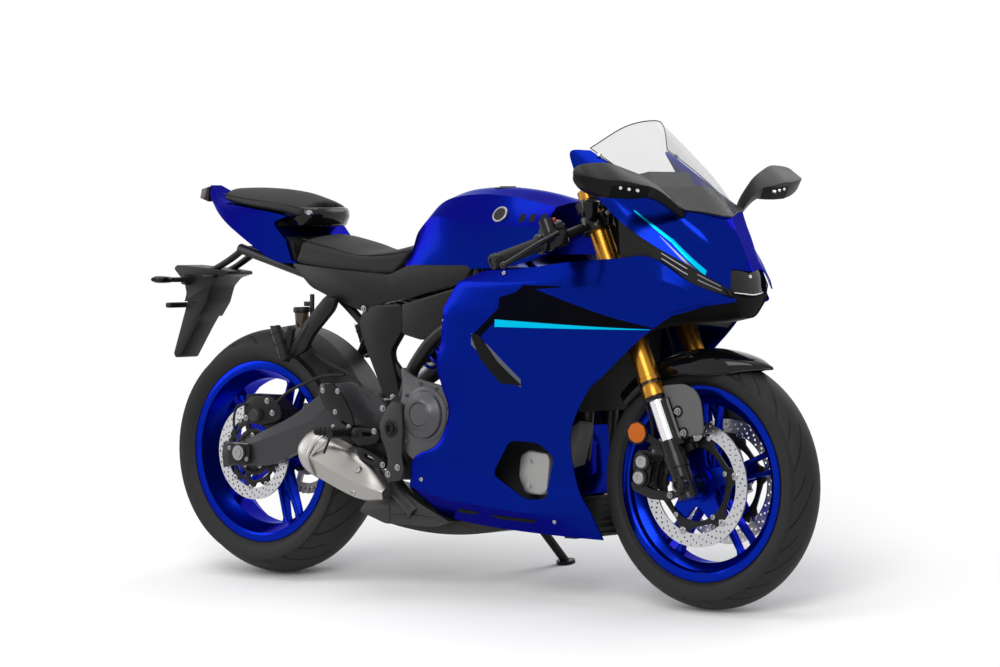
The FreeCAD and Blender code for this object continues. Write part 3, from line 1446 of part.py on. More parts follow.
# Bodywork tables on the body grid: along, half across, up. The lines run from rear to front.
SIDE_PANEL_SHARES = (
    ((1.33, 1.70, 7.95), (2.60, 1.80, 8.02), (4.10, 1.84, 8.20), (5.50, 1.88, 8.30),
     (6.48, 1.78, 8.34), (7.35, 1.40, 7.86), (8.10, 0.70, 7.40)),
    ((0.57, 1.80, 7.66), (2.20, 1.95, 7.62), (3.90, 2.02, 7.68), (5.40, 2.00, 7.78),
     (6.45, 1.85, 7.80), (7.30, 1.46, 7.58), (8.13, 0.62, 7.32)),
    ((0.19, 1.90, 7.02), (2.10, 2.05, 6.95), (3.80, 2.12, 7.00), (5.20, 2.08, 7.10),
     (6.20, 1.90, 7.15), (6.90, 1.50, 7.15), (7.50, 1.00, 7.20)),
    ((0.12, 1.90, 6.20), (1.90, 2.06, 6.20), (3.40, 2.12, 6.30), (4.60, 2.08, 6.50),
     (5.50, 1.95, 6.68), (6.20, 1.72, 6.82), (6.81, 1.40, 6.97)),
    ((-0.02, 1.90, 5.65), (1.60, 2.04, 5.60), (3.00, 2.10, 5.70), (4.00, 2.06, 5.86),
     (4.85, 1.97, 6.05), (5.55, 1.84, 6.25), (6.14, 1.68, 6.45)),
    ((0.15, 1.90, 5.11), (1.50, 2.02, 5.10), (2.70, 2.06, 5.15), (3.60, 2.02, 5.25),
     (4.30, 1.94, 5.36), (4.80, 1.86, 5.48), (5.15, 1.76, 5.60)),
    ((0.37, 1.90, 4.47), (1.40, 2.00, 4.45), (2.40, 2.00, 4.45), (3.10, 1.96, 4.50),
     (3.70, 1.90, 4.60), (4.15, 1.84, 4.75), (4.54, 1.76, 5.06)),
    ((0.00, 1.90, 3.69), (1.00, 1.98, 3.75), (2.00, 1.98, 3.80), (2.80, 1.93, 3.85),
     (3.40, 1.87, 3.90), (3.80, 1.82, 3.95), (4.08, 1.76, 4.05)),
    ((-0.75, 1.88, 3.33), (0.40, 1.92, 3.15), (1.50, 1.92, 3.05), (2.50, 1.86, 3.00),
     (3.30, 1.78, 2.95), (3.80, 1.72, 2.90), (4.20, 1.62, 2.85)),
    ((-1.03, 1.72, 2.61), (0.10, 1.70, 2.35), (1.20, 1.68, 2.25), (2.30, 1.62, 2.15),
     (3.20, 1.54, 2.15), (3.90, 1.45, 2.18), (4.38, 1.34, 2.20)),
    ((-0.40, 1.22, 1.88), (0.60, 1.16, 1.74), (1.60, 1.14, 1.66), (2.50, 1.10, 1.61),
     (3.30, 1.06, 1.58), (3.95, 1.03, 1.56), (4.50, 1.00, 1.55)),
)
PANEL_WINDOW_SHARES = ((2.38, 3.89), (3.20, 3.87), (3.64, 3.53), (3.29, 2.51), (2.68, 2.46),
                       (1.81, 3.04))
NOSE_SHARES = (
    ((4.38, 2.00, 10.35), (5.65, 1.98, 9.22), (6.43, 1.77, 8.62), (7.31, 1.46, 8.00),
     (8.09, 0.86, 7.58)),
    ((4.40, 1.86, 10.60), (5.60, 1.86, 9.62), (6.60, 1.62, 8.80), (7.35, 1.34, 8.18),
     (8.06, 0.80, 7.76)),
    ((4.45, 1.52, 10.85), (5.80, 1.42, 9.98), (6.75, 1.30, 9.15), (7.40, 1.10, 8.46),
     (8.00, 0.70, 7.96)),
    ((6.97, 1.13, 9.44), (7.20, 1.00, 9.10), (7.45, 0.88, 8.75), (7.72, 0.72, 8.36),
     (7.95, 0.58, 8.08)),
    ((7.41, 0.00, 9.27), (7.60, 0.00, 8.98), (7.78, 0.00, 8.68), (7.96, 0.00, 8.34),
     (8.12, 0.00, 8.01)),
)
SCREEN_SHARES = (
    ((4.43, 1.38, 10.97), (5.40, 1.32, 10.43), (6.20, 1.22, 9.96), (6.99, 1.10, 9.47)),
    ((4.90, 0.75, 11.42), (5.70, 0.80, 10.80), (6.50, 0.75, 10.14), (7.19, 0.62, 9.39)),
    ((5.20, 0.00, 11.57), (6.00, 0.00, 10.90), (6.75, 0.00, 10.12), (7.43, 0.00, 9.295)),
)
TANK_SHARES = (
    ((-1.85, 0.00, 7.90), (-1.40, 0.00, 7.90), (-0.70, 0.00, 7.95), (0.60, 0.00, 7.98),
     (1.80, 0.00, 8.05), (3.00, 0.00, 8.35)),
    ((-1.85, 1.00, 7.90), (-1.40, 1.10, 7.90), (-0.70, 1.15, 7.95), (0.60, 1.25, 7.98),
     (1.80, 1.36, 8.05), (3.00, 1.24, 8.35)),
    ((-1.80, 0.95, 8.15), (-1.40, 1.05, 8.30), (-0.70, 1.15, 8.45), (0.60, 1.30, 8.45),
     (1.80, 1.42, 8.50), (3.00, 1.36, 8.62)),
    ((-1.78, 0.75, 8.45), (-1.40, 0.95, 8.90), (-0.70, 1.15, 9.24), (0.60, 1.42, 9.10),
     (1.80, 1.58, 9.03), (3.10, 1.60, 9.02)),
    ((-1.75, 0.45, 8.70), (-1.35, 0.62, 9.22), (-0.60, 0.80, 9.66), (0.60, 0.95, 9.80),
     (1.80, 1.05, 9.72), (3.00, 1.00, 9.50)),
    ((-1.75, 0.00, 8.75), (-1.35, 0.00, 9.35), (-0.60, 0.00, 9.85), (0.60, 0.00, 9.98),
     (1.80, 0.00, 9.88), (2.90, 0.00, 9.62)),
)
SEAT_SHARES = (
    ((-2.20, 0.00, 7.74), (-2.80, 0.00, 7.72), (-3.60, 0.00, 7.80), (-4.40, 0.00, 7.90),
     (-5.30, 0.00, 8.03)),
    ((-2.20, 1.02, 7.74), (-2.80, 1.10, 7.72), (-3.60, 1.20, 7.80), (-4.40, 1.25, 7.90),
     (-5.30, 1.25, 8.03)),
    ((-1.95, 0.92, 8.15), (-2.60, 1.10, 8.05), (-3.50, 1.22, 8.15), (-4.30, 1.28, 8.22),
     (-5.28, 1.28, 8.32)),
    ((-1.86, 0.75, 8.42), (-2.60, 0.95, 8.30), (-3.40, 1.05, 8.28), (-4.20, 1.10, 8.45),
     (-5.20, 1.10, 8.66)),
    ((-1.80, 0.00, 8.68), (-2.50, 0.00, 8.42), (-3.30, 0.00, 8.36), (-4.10, 0.00, 8.60),
     (-5.10, 0.00, 8.80)),
)
REAR_SEAT_SHARES = (
    ((-5.42, 0.00, 9.143), (-6.20, 0.00, 9.303), (-7.40, 0.00, 9.453), (-8.55, 0.00, 9.613)),
    ((-5.42, 0.92, 9.143), (-6.20, 1.02, 9.303), (-7.40, 0.88, 9.453), (-8.55, 0.50, 9.613)),
    ((-5.40, 0.84, 9.42), (-6.20, 0.98, 9.56), (-7.40, 0.84, 9.68), (-8.60, 0.44, 9.80)),
    ((-5.30, 0.00, 9.60), (-6.20, 0.00, 9.85), (-7.40, 0.00, 9.95), (-8.67, 0.00, 9.94)),
)
TAIL_SHARES = (
    ((-5.35, 0.00, 8.05), (-6.20, 0.00, 8.15), (-7.60, 0.00, 8.80), (-8.60, 0.00, 9.25),
     (-9.28, 0.00, 9.70)),
    ((-5.35, 1.20, 8.02), (-6.15, 1.20, 8.10), (-7.62, 1.05, 8.82), (-8.50, 0.75, 9.28),
     (-9.28, 0.22, 9.70)),
    ((-5.50, 1.32, 8.80), (-6.20, 1.30, 9.00), (-7.60, 1.10, 9.30), (-8.54, 0.85, 9.52),
     (-9.30, 0.25, 9.85)),
    ((-5.40, 1.05, 9.12), (-6.10, 1.12, 9.28), (-7.40, 0.97, 9.44), (-8.58, 0.60, 9.60),
     (-9.30, 0.20, 10.00)),
    ((-5.40, 0.00, 9.12), (-6.10, 0.00, 9.28), (-7.40, 0.00, 9.44), (-8.58, 0.00, 9.60),
     (-9.30, 0.00, 10.00)),
)
LAMP_STRIP_SHARES = (
    ((8.06, 0.72, 7.47), (7.32, 1.40, 7.92), (6.48, 1.75, 8.42)),
    ((8.06, 0.80, 7.56), (7.30, 1.43, 7.98), (6.44, 1.75, 8.59)),
)
WING_SHARES = (
    ((6.42, 1.77, 8.39), (6.00, 1.84, 8.36), (5.55, 1.90, 8.33)),
    ((6.40, 1.77, 8.58), (6.05, 1.88, 8.84), (5.66, 1.95, 9.14)),
)
DUCT_SHARES = (
    ((6.30, 1.48, 6.62), (6.81, 1.355, 6.955), (7.46, 0.965, 7.185), (8.06, 0.59, 7.30)),
    ((6.30, 0.75, 6.70), (6.80, 0.70, 6.80), (7.40, 0.50, 6.86), (8.02, 0.30, 6.98)),
    ((6.30, 0.00, 6.74), (6.80, 0.00, 6.78), (7.40, 0.00, 6.82), (8.02, 0.00, 6.92)),
)
COVER_SHARES = ((-2.18, 7.66), (-1.60, 7.84), (0.60, 7.86), (0.10, 7.10), (-0.10, 5.80),
                (-0.60, 5.60), (-1.30, 6.30), (-2.10, 7.10))
HANGER_SHARES = (
    ((-7.943, 0.36, 8.50), (-8.30, 0.34, 8.36), (-8.90, 0.32, 7.98), (-10.20, 0.30, 7.60)),
    ((-7.943, 0.36, 8.06), (-8.30, 0.34, 7.90), (-8.90, 0.32, 7.60), (-10.20, 0.30, 7.32)),
    ((-7.943, -0.36, 8.06), (-8.30, -0.34, 7.90), (-8.90, -0.32, 7.60), (-10.20, -0.30, 7.32)),
    ((-7.943, -0.36, 8.50), (-8.30, -0.34, 8.36), (-8.90, -0.32, 7.98), (-10.20, -0.30, 7.60)),
)
PLATE_SHARES = (
    ((-10.10, 0.70, 7.66), (-10.30, 0.70, 6.60), (-10.50, 0.42, 5.47)),
    ((-10.22, 0.70, 7.66), (-10.42, 0.70, 6.60), (-10.62, 0.42, 5.47)),
    ((-10.22, -0.70, 7.66), (-10.42, -0.70, 6.60), (-10.62, -0.42, 5.47)),
    ((-10.10, -0.70, 7.66), (-10.30, -0.70, 6.60), (-10.50, -0.42, 5.47)),
)
TAIL_LAMP_SHARES = (
    ((-9.303, 0.20, 9.62), (-9.55, 0.22, 9.70)),
    ((-9.303, 0.20, 9.95), (-9.50, 0.18, 9.90)),
    ((-9.303, -0.20, 9.95), (-9.50, -0.18, 9.90)),
    ((-9.303, -0.20, 9.62), (-9.55, -0.22, 9.70)),
)
INDICATOR_SHARES = (
    ((-9.70, 0.32, 7.44), (-9.90, 0.90, 7.46), (-10.20, 1.55, 7.46)),
    ((-9.50, 0.32, 7.44), (-9.60, 0.90, 7.46), (-9.90, 1.55, 7.46)),
    ((-9.50, 0.32, 7.58), (-9.60, 0.90, 7.62), (-9.90, 1.50, 7.66)),
    ((-9.70, 0.32, 7.58), (-9.90, 0.90, 7.62), (-10.20, 1.50, 7.66)),
)
MIRROR_SHARES = (
    ((6.90, 2.05, 9.86), (6.85, 3.00, 9.80), (6.60, 3.80, 10.00), (6.36, 4.34, 10.22)),
    ((6.60, 2.10, 9.90), (6.50, 3.00, 9.90), (6.30, 3.80, 10.10), (6.20, 4.34, 10.30)),
    ((6.50, 2.30, 10.30), (6.30, 3.20, 10.55), (6.20, 3.80, 10.58), (6.18, 4.28, 10.44)),
    ((6.85, 2.20, 10.20), (6.70, 3.10, 10.40), (6.50, 3.80, 10.44), (6.34, 4.28, 10.36)),
)
MIRROR_STEM_SHARES = ((6.84, 1.167, 9.29), (6.88, 1.60, 9.80), (6.80, 2.20, 10.02))
DASH_SHARES = (
    ((5.10, 0.80, 9.70), (5.85, 0.80, 9.80)),
    ((4.90, 0.80, 10.20), (5.65, 0.80, 10.35)),
    ((4.90, -0.80, 10.20), (5.65, -0.80, 10.35)),
    ((5.10, -0.80, 9.70), (5.85, -0.80, 9.80)),
)
HEADLAMP_SHARES = (
    ((7.55, 0.40, 7.50), (8.05, 0.34, 7.46)),
    ((7.45, 0.40, 7.88), (7.95, 0.34, 7.86)),
    ((7.45, -0.40, 7.88), (7.95, -0.34, 7.86)),
    ((7.55, -0.40, 7.50), (8.05, -0.34, 7.46)),
)


def ring_lines(shares):
    """A closed ring of lines from a half table that starts and ends on the middle."""
    right = half_lines(shares, -1)
    left = half_lines(shares, 1)
    return right + left[-2:0:-1]


STAND_ROOM_SHARES = ((-1.60, 1.30), (0.30, 1.30), (0.62, 2.00), (0.40, 2.70), (-0.50, 3.05),
                     (-1.60, 3.05))


def side_panel(side):
    shape = panel(half_lines(SIDE_PANEL_SHARES, side)[::side], S.panel_wall)
    reach = S.fairing_width / 2 + S.overrun
    shape = shape.cut(prism(PANEL_WINDOW_SHARES, side, reach / 2, reach))
    return shape.cut(prism(STAND_ROOM_SHARES, side, reach / 4, reach)) if side > 0 else shape


def wings():
    return [panel(half_lines(WING_SHARES, side)[::side], S.panel_wall) for side in (-1, 1)]


piece("fairing_right", solid_piece("panel_right", side_panel(-1)))
piece("fairing_left", solid_piece("panel_left", side_panel(1)))
piece("nose_cowl", solid_piece("cowl", panel(whole_lines(NOSE_SHARES), S.panel_wall)))
piece("windscreen", solid_piece("screen", panel(whole_lines(SCREEN_SHARES), S.screen_wall)))
neck = Part.makeCylinder(S.cap_lid_radius + S.neck_step, S.neck_height,
                         V(S.cap_x, 0, S.cap_z - S.seat_gap - S.neck_height))
piece("fuel_tank", solid_piece("tank", hull(ring_lines(TANK_SHARES)).fuse(neck)))
piece("rider_seat", solid_piece("seat", hull(ring_lines(SEAT_SHARES))))
piece("passenger_seat", solid_piece("rear_seat", hull(ring_lines(REAR_SEAT_SHARES))))
piece("tail_cowl", solid_piece("tail", hull(ring_lines(TAIL_SHARES))))
lamp_strips = [panel(half_lines(LAMP_STRIP_SHARES, side)[::side], S.panel_wall) for side in (-1, 1)]
headlamp = hull([[grid(p) for p in line] for line in HEADLAMP_SHARES])
piece("front_lamps", solid_piece("lamps", Part.makeCompound(lamp_strips + [headlamp])))
duct = panel(whole_lines(DUCT_SHARES), S.panel_wall)
piece("nose_duct", solid_piece("duct", Part.makeCompound([duct] + wings())))
piece("dash", solid_piece("clocks", hull([[grid(p) for p in line] for line in DASH_SHARES])))
mirror_head = hull(half_lines(MIRROR_SHARES))
mirror_stem = tube(route(MIRROR_STEM_SHARES, -1), S.mirror_stem_radius)
piece("mirrors", pair("mirror_pair", solid_piece("mirror", mirror_head.fuse(mirror_stem))))
cover = prism(COVER_SHARES, -1, S.cover_inner, S.cover_inner + S.panel_wall)
piece("frame_covers", pair("cover_pair", solid_piece("cover", cover)))
hanger = hull([[grid(p) for p in line] for line in HANGER_SHARES])
plate_board = hull([[grid(p) for p in line] for line in PLATE_SHARES])
piece("plate_hanger", solid_piece("hanger", hanger.fuse(plate_board)))
tail_lamp = hull([[grid(p) for p in line] for line in TAIL_LAMP_SHARES])
indicators = [hull(half_lines(INDICATOR_SHARES, side)) for side in (-1, 1)]
piece("rear_lamps", solid_piece("tail_lamps", Part.makeCompound([tail_lamp] + indicators)))


# Side stand and fuel cap.
def side_stand():
    foot, pivot = stand_foot(), V(S.stand_pivot_x, S.stand_pivot_y, S.stand_pivot_z)
    sole = Part.makeCylinder(S.stand_foot_radius, S.stand_foot_thickness, foot, GROUND_UP)
    ankle = foot + GROUND_UP * (S.stand_foot_thickness / 2)
    leg = Part.makeCylinder(S.stand_radius, (ankle - pivot).Length, pivot, ankle - pivot)
    half = S.stand_radius
    knuckle = stand_bolt(-half, half, S.stand_radius + S.stand_knuckle)
    bore = stand_bolt(-half * 2, half * 2, S.stand_bolt_radius + S.hub_clearance)
    return leg.multiFuse([sole, knuckle]).cut(bore)


def fuel_cap():
    lid = doc.addObject("Part::Cylinder", "lid")
    return bind(lid, Radius="cap_lid_radius", Height="cap_lid_height")


piece("side_stand", solid_piece("stand_leg", side_stand()))
piece("fuel_cap", fuel_cap(), Placement(V(S.cap_x, 0, S.cap_z), Rotation()))


def park():
    """Lean the whole motorcycle on its stand, with the origin under the middle of its box."""
    doc.recompute()
    leaned = Placement(V(0, 0, STAND_LIFT), Rotation(V(1, 0, 0), -S.side_lean))
    for obj in PIECES:
        obj.Placement = leaned * obj.Placement
    doc.recompute()
    box = FreeCAD.BoundBox()
    for obj in PIECES:
        box.add(obj.Shape.optimalBoundingBox(False, False))
    shift = V(-(box.XMin + box.XMax) / 2, -(box.YMin + box.YMax) / 2, -box.ZMin)
    for obj in PIECES:
        obj.Placement = Placement(shift, Rotation()) * obj.Placement
    print("shift", shift.x, shift.y, shift.z, "lift", STAND_LIFT)


park()


def finish():
    """Check every object, then write each piece's solid to its own file."""
    doc.recompute()
    for obj in doc.Objects:
        if "Invalid" in obj.State or "Error" in obj.State:
            raise RuntimeError(f"{obj.Name} did not rebuild")
    for obj in PIECES:
        shape = obj.Shape
        if shape.isNull() or not shape.isValid() or not shape.Solids:
            raise RuntimeError(f"{obj.Label} has no sound solid")
    os.makedirs("parts", exist_ok=True)
    for obj in PIECES:
        obj.Shape.exportStep(f"parts/{obj.Label}.step")
        print(obj.Label, len(obj.Shape.Solids), round(obj.Shape.Volume / 1000))


finish()
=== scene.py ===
"""Looks of a faired sport motorcycle that leans on its side stand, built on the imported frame."""
import json
import logging
import math
from dataclasses import dataclass, field, replace
from enum import Enum
from typing import Iterable, Optional, Sequence

import bmesh
import bpy
from mathutils import Matrix, Vector


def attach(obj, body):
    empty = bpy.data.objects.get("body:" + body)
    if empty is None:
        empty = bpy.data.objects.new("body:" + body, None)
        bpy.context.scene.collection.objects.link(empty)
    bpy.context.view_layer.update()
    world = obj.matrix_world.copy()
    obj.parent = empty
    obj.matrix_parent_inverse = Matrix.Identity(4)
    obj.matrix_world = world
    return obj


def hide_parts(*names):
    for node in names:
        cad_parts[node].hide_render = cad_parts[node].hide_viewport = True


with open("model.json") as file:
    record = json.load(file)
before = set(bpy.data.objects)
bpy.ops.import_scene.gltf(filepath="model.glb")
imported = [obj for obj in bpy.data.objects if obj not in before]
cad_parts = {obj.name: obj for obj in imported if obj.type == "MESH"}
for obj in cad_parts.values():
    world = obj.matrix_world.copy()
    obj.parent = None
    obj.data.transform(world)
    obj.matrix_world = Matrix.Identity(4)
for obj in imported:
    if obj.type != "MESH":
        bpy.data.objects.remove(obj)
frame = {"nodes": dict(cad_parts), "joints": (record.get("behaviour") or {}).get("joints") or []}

LOG = logging.getLogger("scene")
DM = 100.0
SIDES = ((1, "right"), (-1, "left"))
MM_PER_M = 1000.0
WHEELBASE = 1395.0
FRONT_RADIUS = 300.0
REAR_RADIUS = 315.0
RAKE = math.radians(23.67)
STEER_X = 787.5
WELD = 2e-6
BEVEL_FOLD = 38.0
SEED_FOLD = 32.0
GRAIN_DEPTH = 0.0004
GROOVE_DEPTH = 0.004
# painted shade: the near black that darkens the rubber inside the tread grooves
GROOVE_SHADE = (0.002, 0.002, 0.002)
COAT_ROUGHNESS = 0.03
UP = Vector((0, 0, 1))
RIGHT = Vector((0, -1, 0))
PAD_BASE = 0.012
CLOTH_FRAMES = 20
CLOTH = {"vertex_group_mass": "held", "quality": 4, "mass": 0.3, "tension_stiffness": 18.0,
         "compression_stiffness": 18.0, "bending_stiffness": 1.2, "use_pressure": True,
         "uniform_pressure_force": 4.0}
FLOAT, VECTOR, COLOUR = "NodeSocketFloat", "NodeSocketVector", "NodeSocketColor"


class Body(str, Enum):
    """Rigid bodies that a piece can ride on."""

    FRAME = "frame"
    STEERING = "steering"
    FRONT_WHEEL = "front_wheel"
    REAR_WHEEL = "rear_wheel"
    CAP = "cap"


class Stance:
    """Turns places on the upright motorcycle, in millimetres, into the row frame, in metres."""

    def __init__(self, joints: Sequence[dict]) -> None:
        """Read the lean and the shift from the front wheel's joint.

        Args:
            joints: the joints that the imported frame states.
        """
        wheel = next(j for j in joints if j["name"] == "front_wheel_spin")
        axis = Vector(wheel["axis"])
        self.lean = math.atan2(-axis.z, axis.y)
        turn = Matrix.Rotation(-self.lean, 4, "X")
        axle = Vector((WHEELBASE / 2, 0.0, FRONT_RADIUS)) / MM_PER_M
        self.shift = Vector(wheel["pos_m"]) - turn @ axle
        self.metres = Matrix.Translation(self.shift) @ turn
        self.matrix = self.metres @ Matrix.Scale(1 / MM_PER_M, 4)

    def place(self, point: Vector) -> Vector:
        """Return an upright place in millimetres as a place in the row frame in metres.

        Args:
            point: the place on the upright motorcycle.

        Returns:
            The same place in the row frame.
        """
        return self.matrix @ Vector(point)


def from_fork(x: float, y: float, z: float) -> Vector:
    """Return a place given along the steering axis on the upright motorcycle.

    Args:
        x: distance ahead of the axis.
        y: distance to the left.
        z: distance up the axis.

    Returns:
        The upright place in millimetres.
    """
    along = x * math.cos(RAKE) - z * math.sin(RAKE)
    return Vector((STEER_X + along, y, x * math.sin(RAKE) + z * math.cos(RAKE)))


@dataclass
class Solid:
    """Vertices in millimetres and the faces between them."""

    points: list[Vector] = field(default_factory=list)
    faces: list[tuple[int, ...]] = field(default_factory=list)

    def __add__(self, other: "Solid") -> "Solid":
        """Return both solids as one."""
        base = len(self.points)
        return Solid(self.points + other.points,
                     self.faces + [tuple(i + base for i in f) for f in other.faces])

    def moved(self, matrix: Matrix) -> "Solid":
        """Return the solid after a turn or a move."""
        return Solid([matrix @ p for p in self.points], list(self.faces))

    def mirrored(self) -> "Solid":
        """Return the solid seen in a mirror across the middle plane."""
        points = [Vector((p.x, -p.y, p.z)) for p in self.points]
        return Solid(points, [tuple(reversed(f)) for f in self.faces])

    def both_sides(self) -> "Solid":
        """Return the solid and its mirror image."""
        return self + self.mirrored()


def union(solids: Iterable[Solid]) -> Solid:
    """Return many solids as one.

    Args:
        solids: the solids to put together.

    Returns:
        One solid that holds them all.
    """
    total = Solid()
    for solid in solids:
        total = total + solid
    return total


def blend_four(a: Vector, b: Vector, c: Vector, d: Vector, t: float) -> Vector:
    """Return the point at t between b and c on a smooth curve through four points.

    Args:
        a: the point before.
        b: where the part starts.
        c: where it ends.
        d: the point after.
        t: the share of the way from b to c.

    Returns:
        The point.
    """
    square, cube = t * t, t * t * t
    return 0.5 * (
        2 * b
        + (c - a) * t
        + (2 * a - 5 * b + 4 * c - d) * square
        + (3 * b - a - 3 * c + d) * cube
    )


def smooth_line(points: Sequence[Vector], steps: int) -> list[Vector]:
    """Return a smooth line through the points, with steps parts to a span.

    Args:
        points: the places that the line runs through.
        steps: how many parts each span gets.

    Returns:
        The places along the line.
    """
    if len(points) == 2:
        return [points[0].lerp(points[1], i / steps) for i in range(steps + 1)]
    line = []
    for i in range(len(points) - 1):
        b, c = points[i], points[i + 1]
        a = points[i - 1] if i else 2 * b - c
        d = points[i + 2] if i + 2 < len(points) else 2 * c - b
        line += [blend_four(a, b, c, d, k / steps) for k in range(steps)]
    return line + [points[-1].copy()]


def rounded(outline: Sequence[tuple[float, float]], radius: float, steps: int = 5) -> list[tuple]:
    """Return a closed outline with its corners rounded.

    Args:
        outline: the corners in order.
        radius: how far from a corner the rounding starts.
        steps: how many parts each corner gets.

    Returns:
        The corners of the rounded outline.
    """
    made = []
    count = len(outline)
    for i in range(count):
        before, corner, after = (Vector(outline[(i + k) % count]) for k in (-1, 0, 1))
        reach = min(radius, (before - corner).length * 0.45, (after - corner).length * 0.45)
        start = corner + (before - corner).normalized() * reach
        end = corner + (after - corner).normalized() * reach
        for k in range(steps + 1):
            t = k / steps
            spot = (1 - t) ** 2 * start + 2 * t * (1 - t) * corner + t * t * end
            made.append((spot.x, spot.y))
    return made


def lathe(profile: Sequence[tuple[float, float]], centre: Vector, axis: Vector, steps: int = 48,
          closed: bool = False) -> Solid:
    """Turn a profile of radius and distance along an axis into a solid.

    Args:
        profile: pairs of radius and distance along the axis.
        centre: where distance zero lies.
        axis: the direction of the axis.
        steps: how many parts a turn has.
        closed: whether the profile runs back to its start.

    Returns:
        The turned solid.
    """
    axis = Vector(axis).normalized()
    side = axis.orthogonal().normalized()
    other = axis.cross(side)
    ways = [side * x + other * y for x, y in circle_outline(1.0, steps)]
    solid = loft([[Vector(centre) + axis * along + way * radius for way in ways]
                  for radius, along in profile], False)
    last = (len(profile) - 1) * steps
    if closed:
        solid.faces += [(last + k, last + (k + 1) % steps, (k + 1) % steps, k)
                        for k in range(steps)]
        return solid
    for start, (radius, _) in ((0, profile[0]), (last, profile[-1])):
        if radius > 0.0:
            solid.faces.append(tuple(start + k for k in range(steps)))
    return solid


def knob(profile: Sequence[tuple[float, float]], steps: int = 20) -> Solid:
    """Return a turned solid about its own origin, for a copy that is put in many places."""
    return lathe(profile, Vector(), UP, steps)


def rod(start: Vector, end: Vector, radius: float, far_radius: Optional[float] = None,
        steps: int = 20) -> Solid:
    """Return a round bar between two places, tapered if it has a far radius.

    Args:
        start: the middle of its foot.
        end: the middle of its tip.
        radius: its radius.
        far_radius: its radius at the tip, where it differs.
        steps: how many sides it has.

    Returns:
        The bar.
    """
    start, end = Vector(start), Vector(end)
    way = end - start
    far = radius if far_radius is None else far_radius
    return lathe([(radius, 0.0), (far, way.length)], start, way, steps)


def ring(centre: Vector, axis: Vector, outer: float, inner: float, length: float,
         steps: int = 40) -> Solid:
    """Return a tube that starts at a centre and runs along an axis.

    Args:
        centre: the middle of its foot.
        axis: the direction in which it runs.
        outer: its outer radius.
        inner: its inner radius.
        length: how far it runs.
        steps: how many sides it has.

    Returns:
        The tube.
    """
    profile = [(inner, 0.0), (outer, 0.0), (outer, length), (inner, length)]
    return lathe(profile, centre, axis, steps, True)


def sweep(points: Sequence[Vector], radius: float, sides: int = 12, steps: int = 6,
          end_radius: Optional[float] = None) -> Solid:
    """Return a round hose or pipe along a smooth line through the points.

    Args:
        points: the places that the line runs through.
        radius: the radius at the start.
        sides: how many sides the section has.
        steps: how many parts each span gets.
        end_radius: the radius at the end, where it differs.

    Returns:
        The closed pipe.
    """
    line = smooth_line([Vector(p) for p in points], steps)
    last = radius if end_radius is None else end_radius
    rings = []
    final = len(line) - 1
    ways = [(line[min(i + 1, final)] - line[max(i - 1, 0)]).normalized()
            for i in range(len(line))]
    side = ways[0].orthogonal().normalized()
    turns = [2 * math.pi * k / sides for k in range(sides)]
    for i, (spot, way) in enumerate(zip(line, ways)):
        side = (side - way * side.dot(way)).normalized()
        other = way.cross(side)
        size = radius + (last - radius) * i / final
        rings.append([spot + (side * math.cos(a) + other * math.sin(a)) * size for a in turns])
    return loft(rings)


def loft(rings: Sequence[Sequence[Vector]], capped: bool = True, wrap: bool = True) -> Solid:
    """Return a skin over rings that have the same number of places.

    Args:
        rings: the rings in order.
        capped: whether the ends are closed.
        wrap: whether each ring closes on itself.

    Returns:
        The skin.
    """
    count = len(rings[0])
    solid = Solid([Vector(p) for r in rings for p in r])
    span = count if wrap else count - 1
    for i in range(len(rings) - 1):
        for k in range(span):
            after = (k + 1) % count
            solid.faces.append((i * count + k, i * count + after, (i + 1) * count + after,
                                (i + 1) * count + k))
    if capped and wrap:
        solid.faces.append(tuple(range(count)))
        last = (len(rings) - 1) * count
        solid.faces.append(tuple(last + k for k in range(count)))
    return solid


def slab(outline: Sequence[tuple[float, float]], low: float, high: float) -> Solid:
    """Return a flat plate with an outline in length and height, between two distances across.

    Args:
        outline: its corners in order.
        low: where it starts, to the left of the middle.
        high: where it ends.

    Returns:
        The plate.
    """
    count = len(outline)
    points = [Vector((x, y, z)) for y in (low, high) for x, z in outline]
    faces = [tuple(range(count)), tuple(range(count, 2 * count))]
    for k in range(count):
        after = (k + 1) % count
        faces.append((k, after, count + after, count + k))
    return Solid(points, faces)


def plate(outline: Sequence[tuple[float, float]], radius: float, low: float, high: float) -> Solid:
    """Return a flat plate with rounded corners, between two distances across."""
    return slab(rounded(outline, radius), low, high)


def block(centre: Vector, size: Vector, turn: Optional[Matrix] = None) -> Solid:
    """Return a box of a size about a centre, turned by a matrix if one is given.

    Args:
        centre: its middle.
        size: its length, width and height.
        turn: how it is turned.

    Returns:
        The box.
    """
    x, y, z = (s / 2 for s in size)
    ring_points = [(-x, -y), (x, -y), (x, y), (-x, y)]
    points = [Vector((a, b, c)) for c in (-z, z) for a, b in ring_points]
    faces = [(3, 2, 1, 0), (4, 5, 6, 7)]
    faces += [(k, (k + 1) % 4, (k + 1) % 4 + 4, k + 4) for k in range(4)]
    place = Matrix.Translation(Vector(centre)) @ (turn or Matrix.Identity(4))
    return Solid([place @ p for p in points], faces)


def table_row(line: Sequence[tuple], steps: int) -> list[Vector]:
    """Return one line of a table as a smooth line in millimetres."""
    return smooth_line([Vector((x, -y, z)) * DM for x, y, z in line], steps)


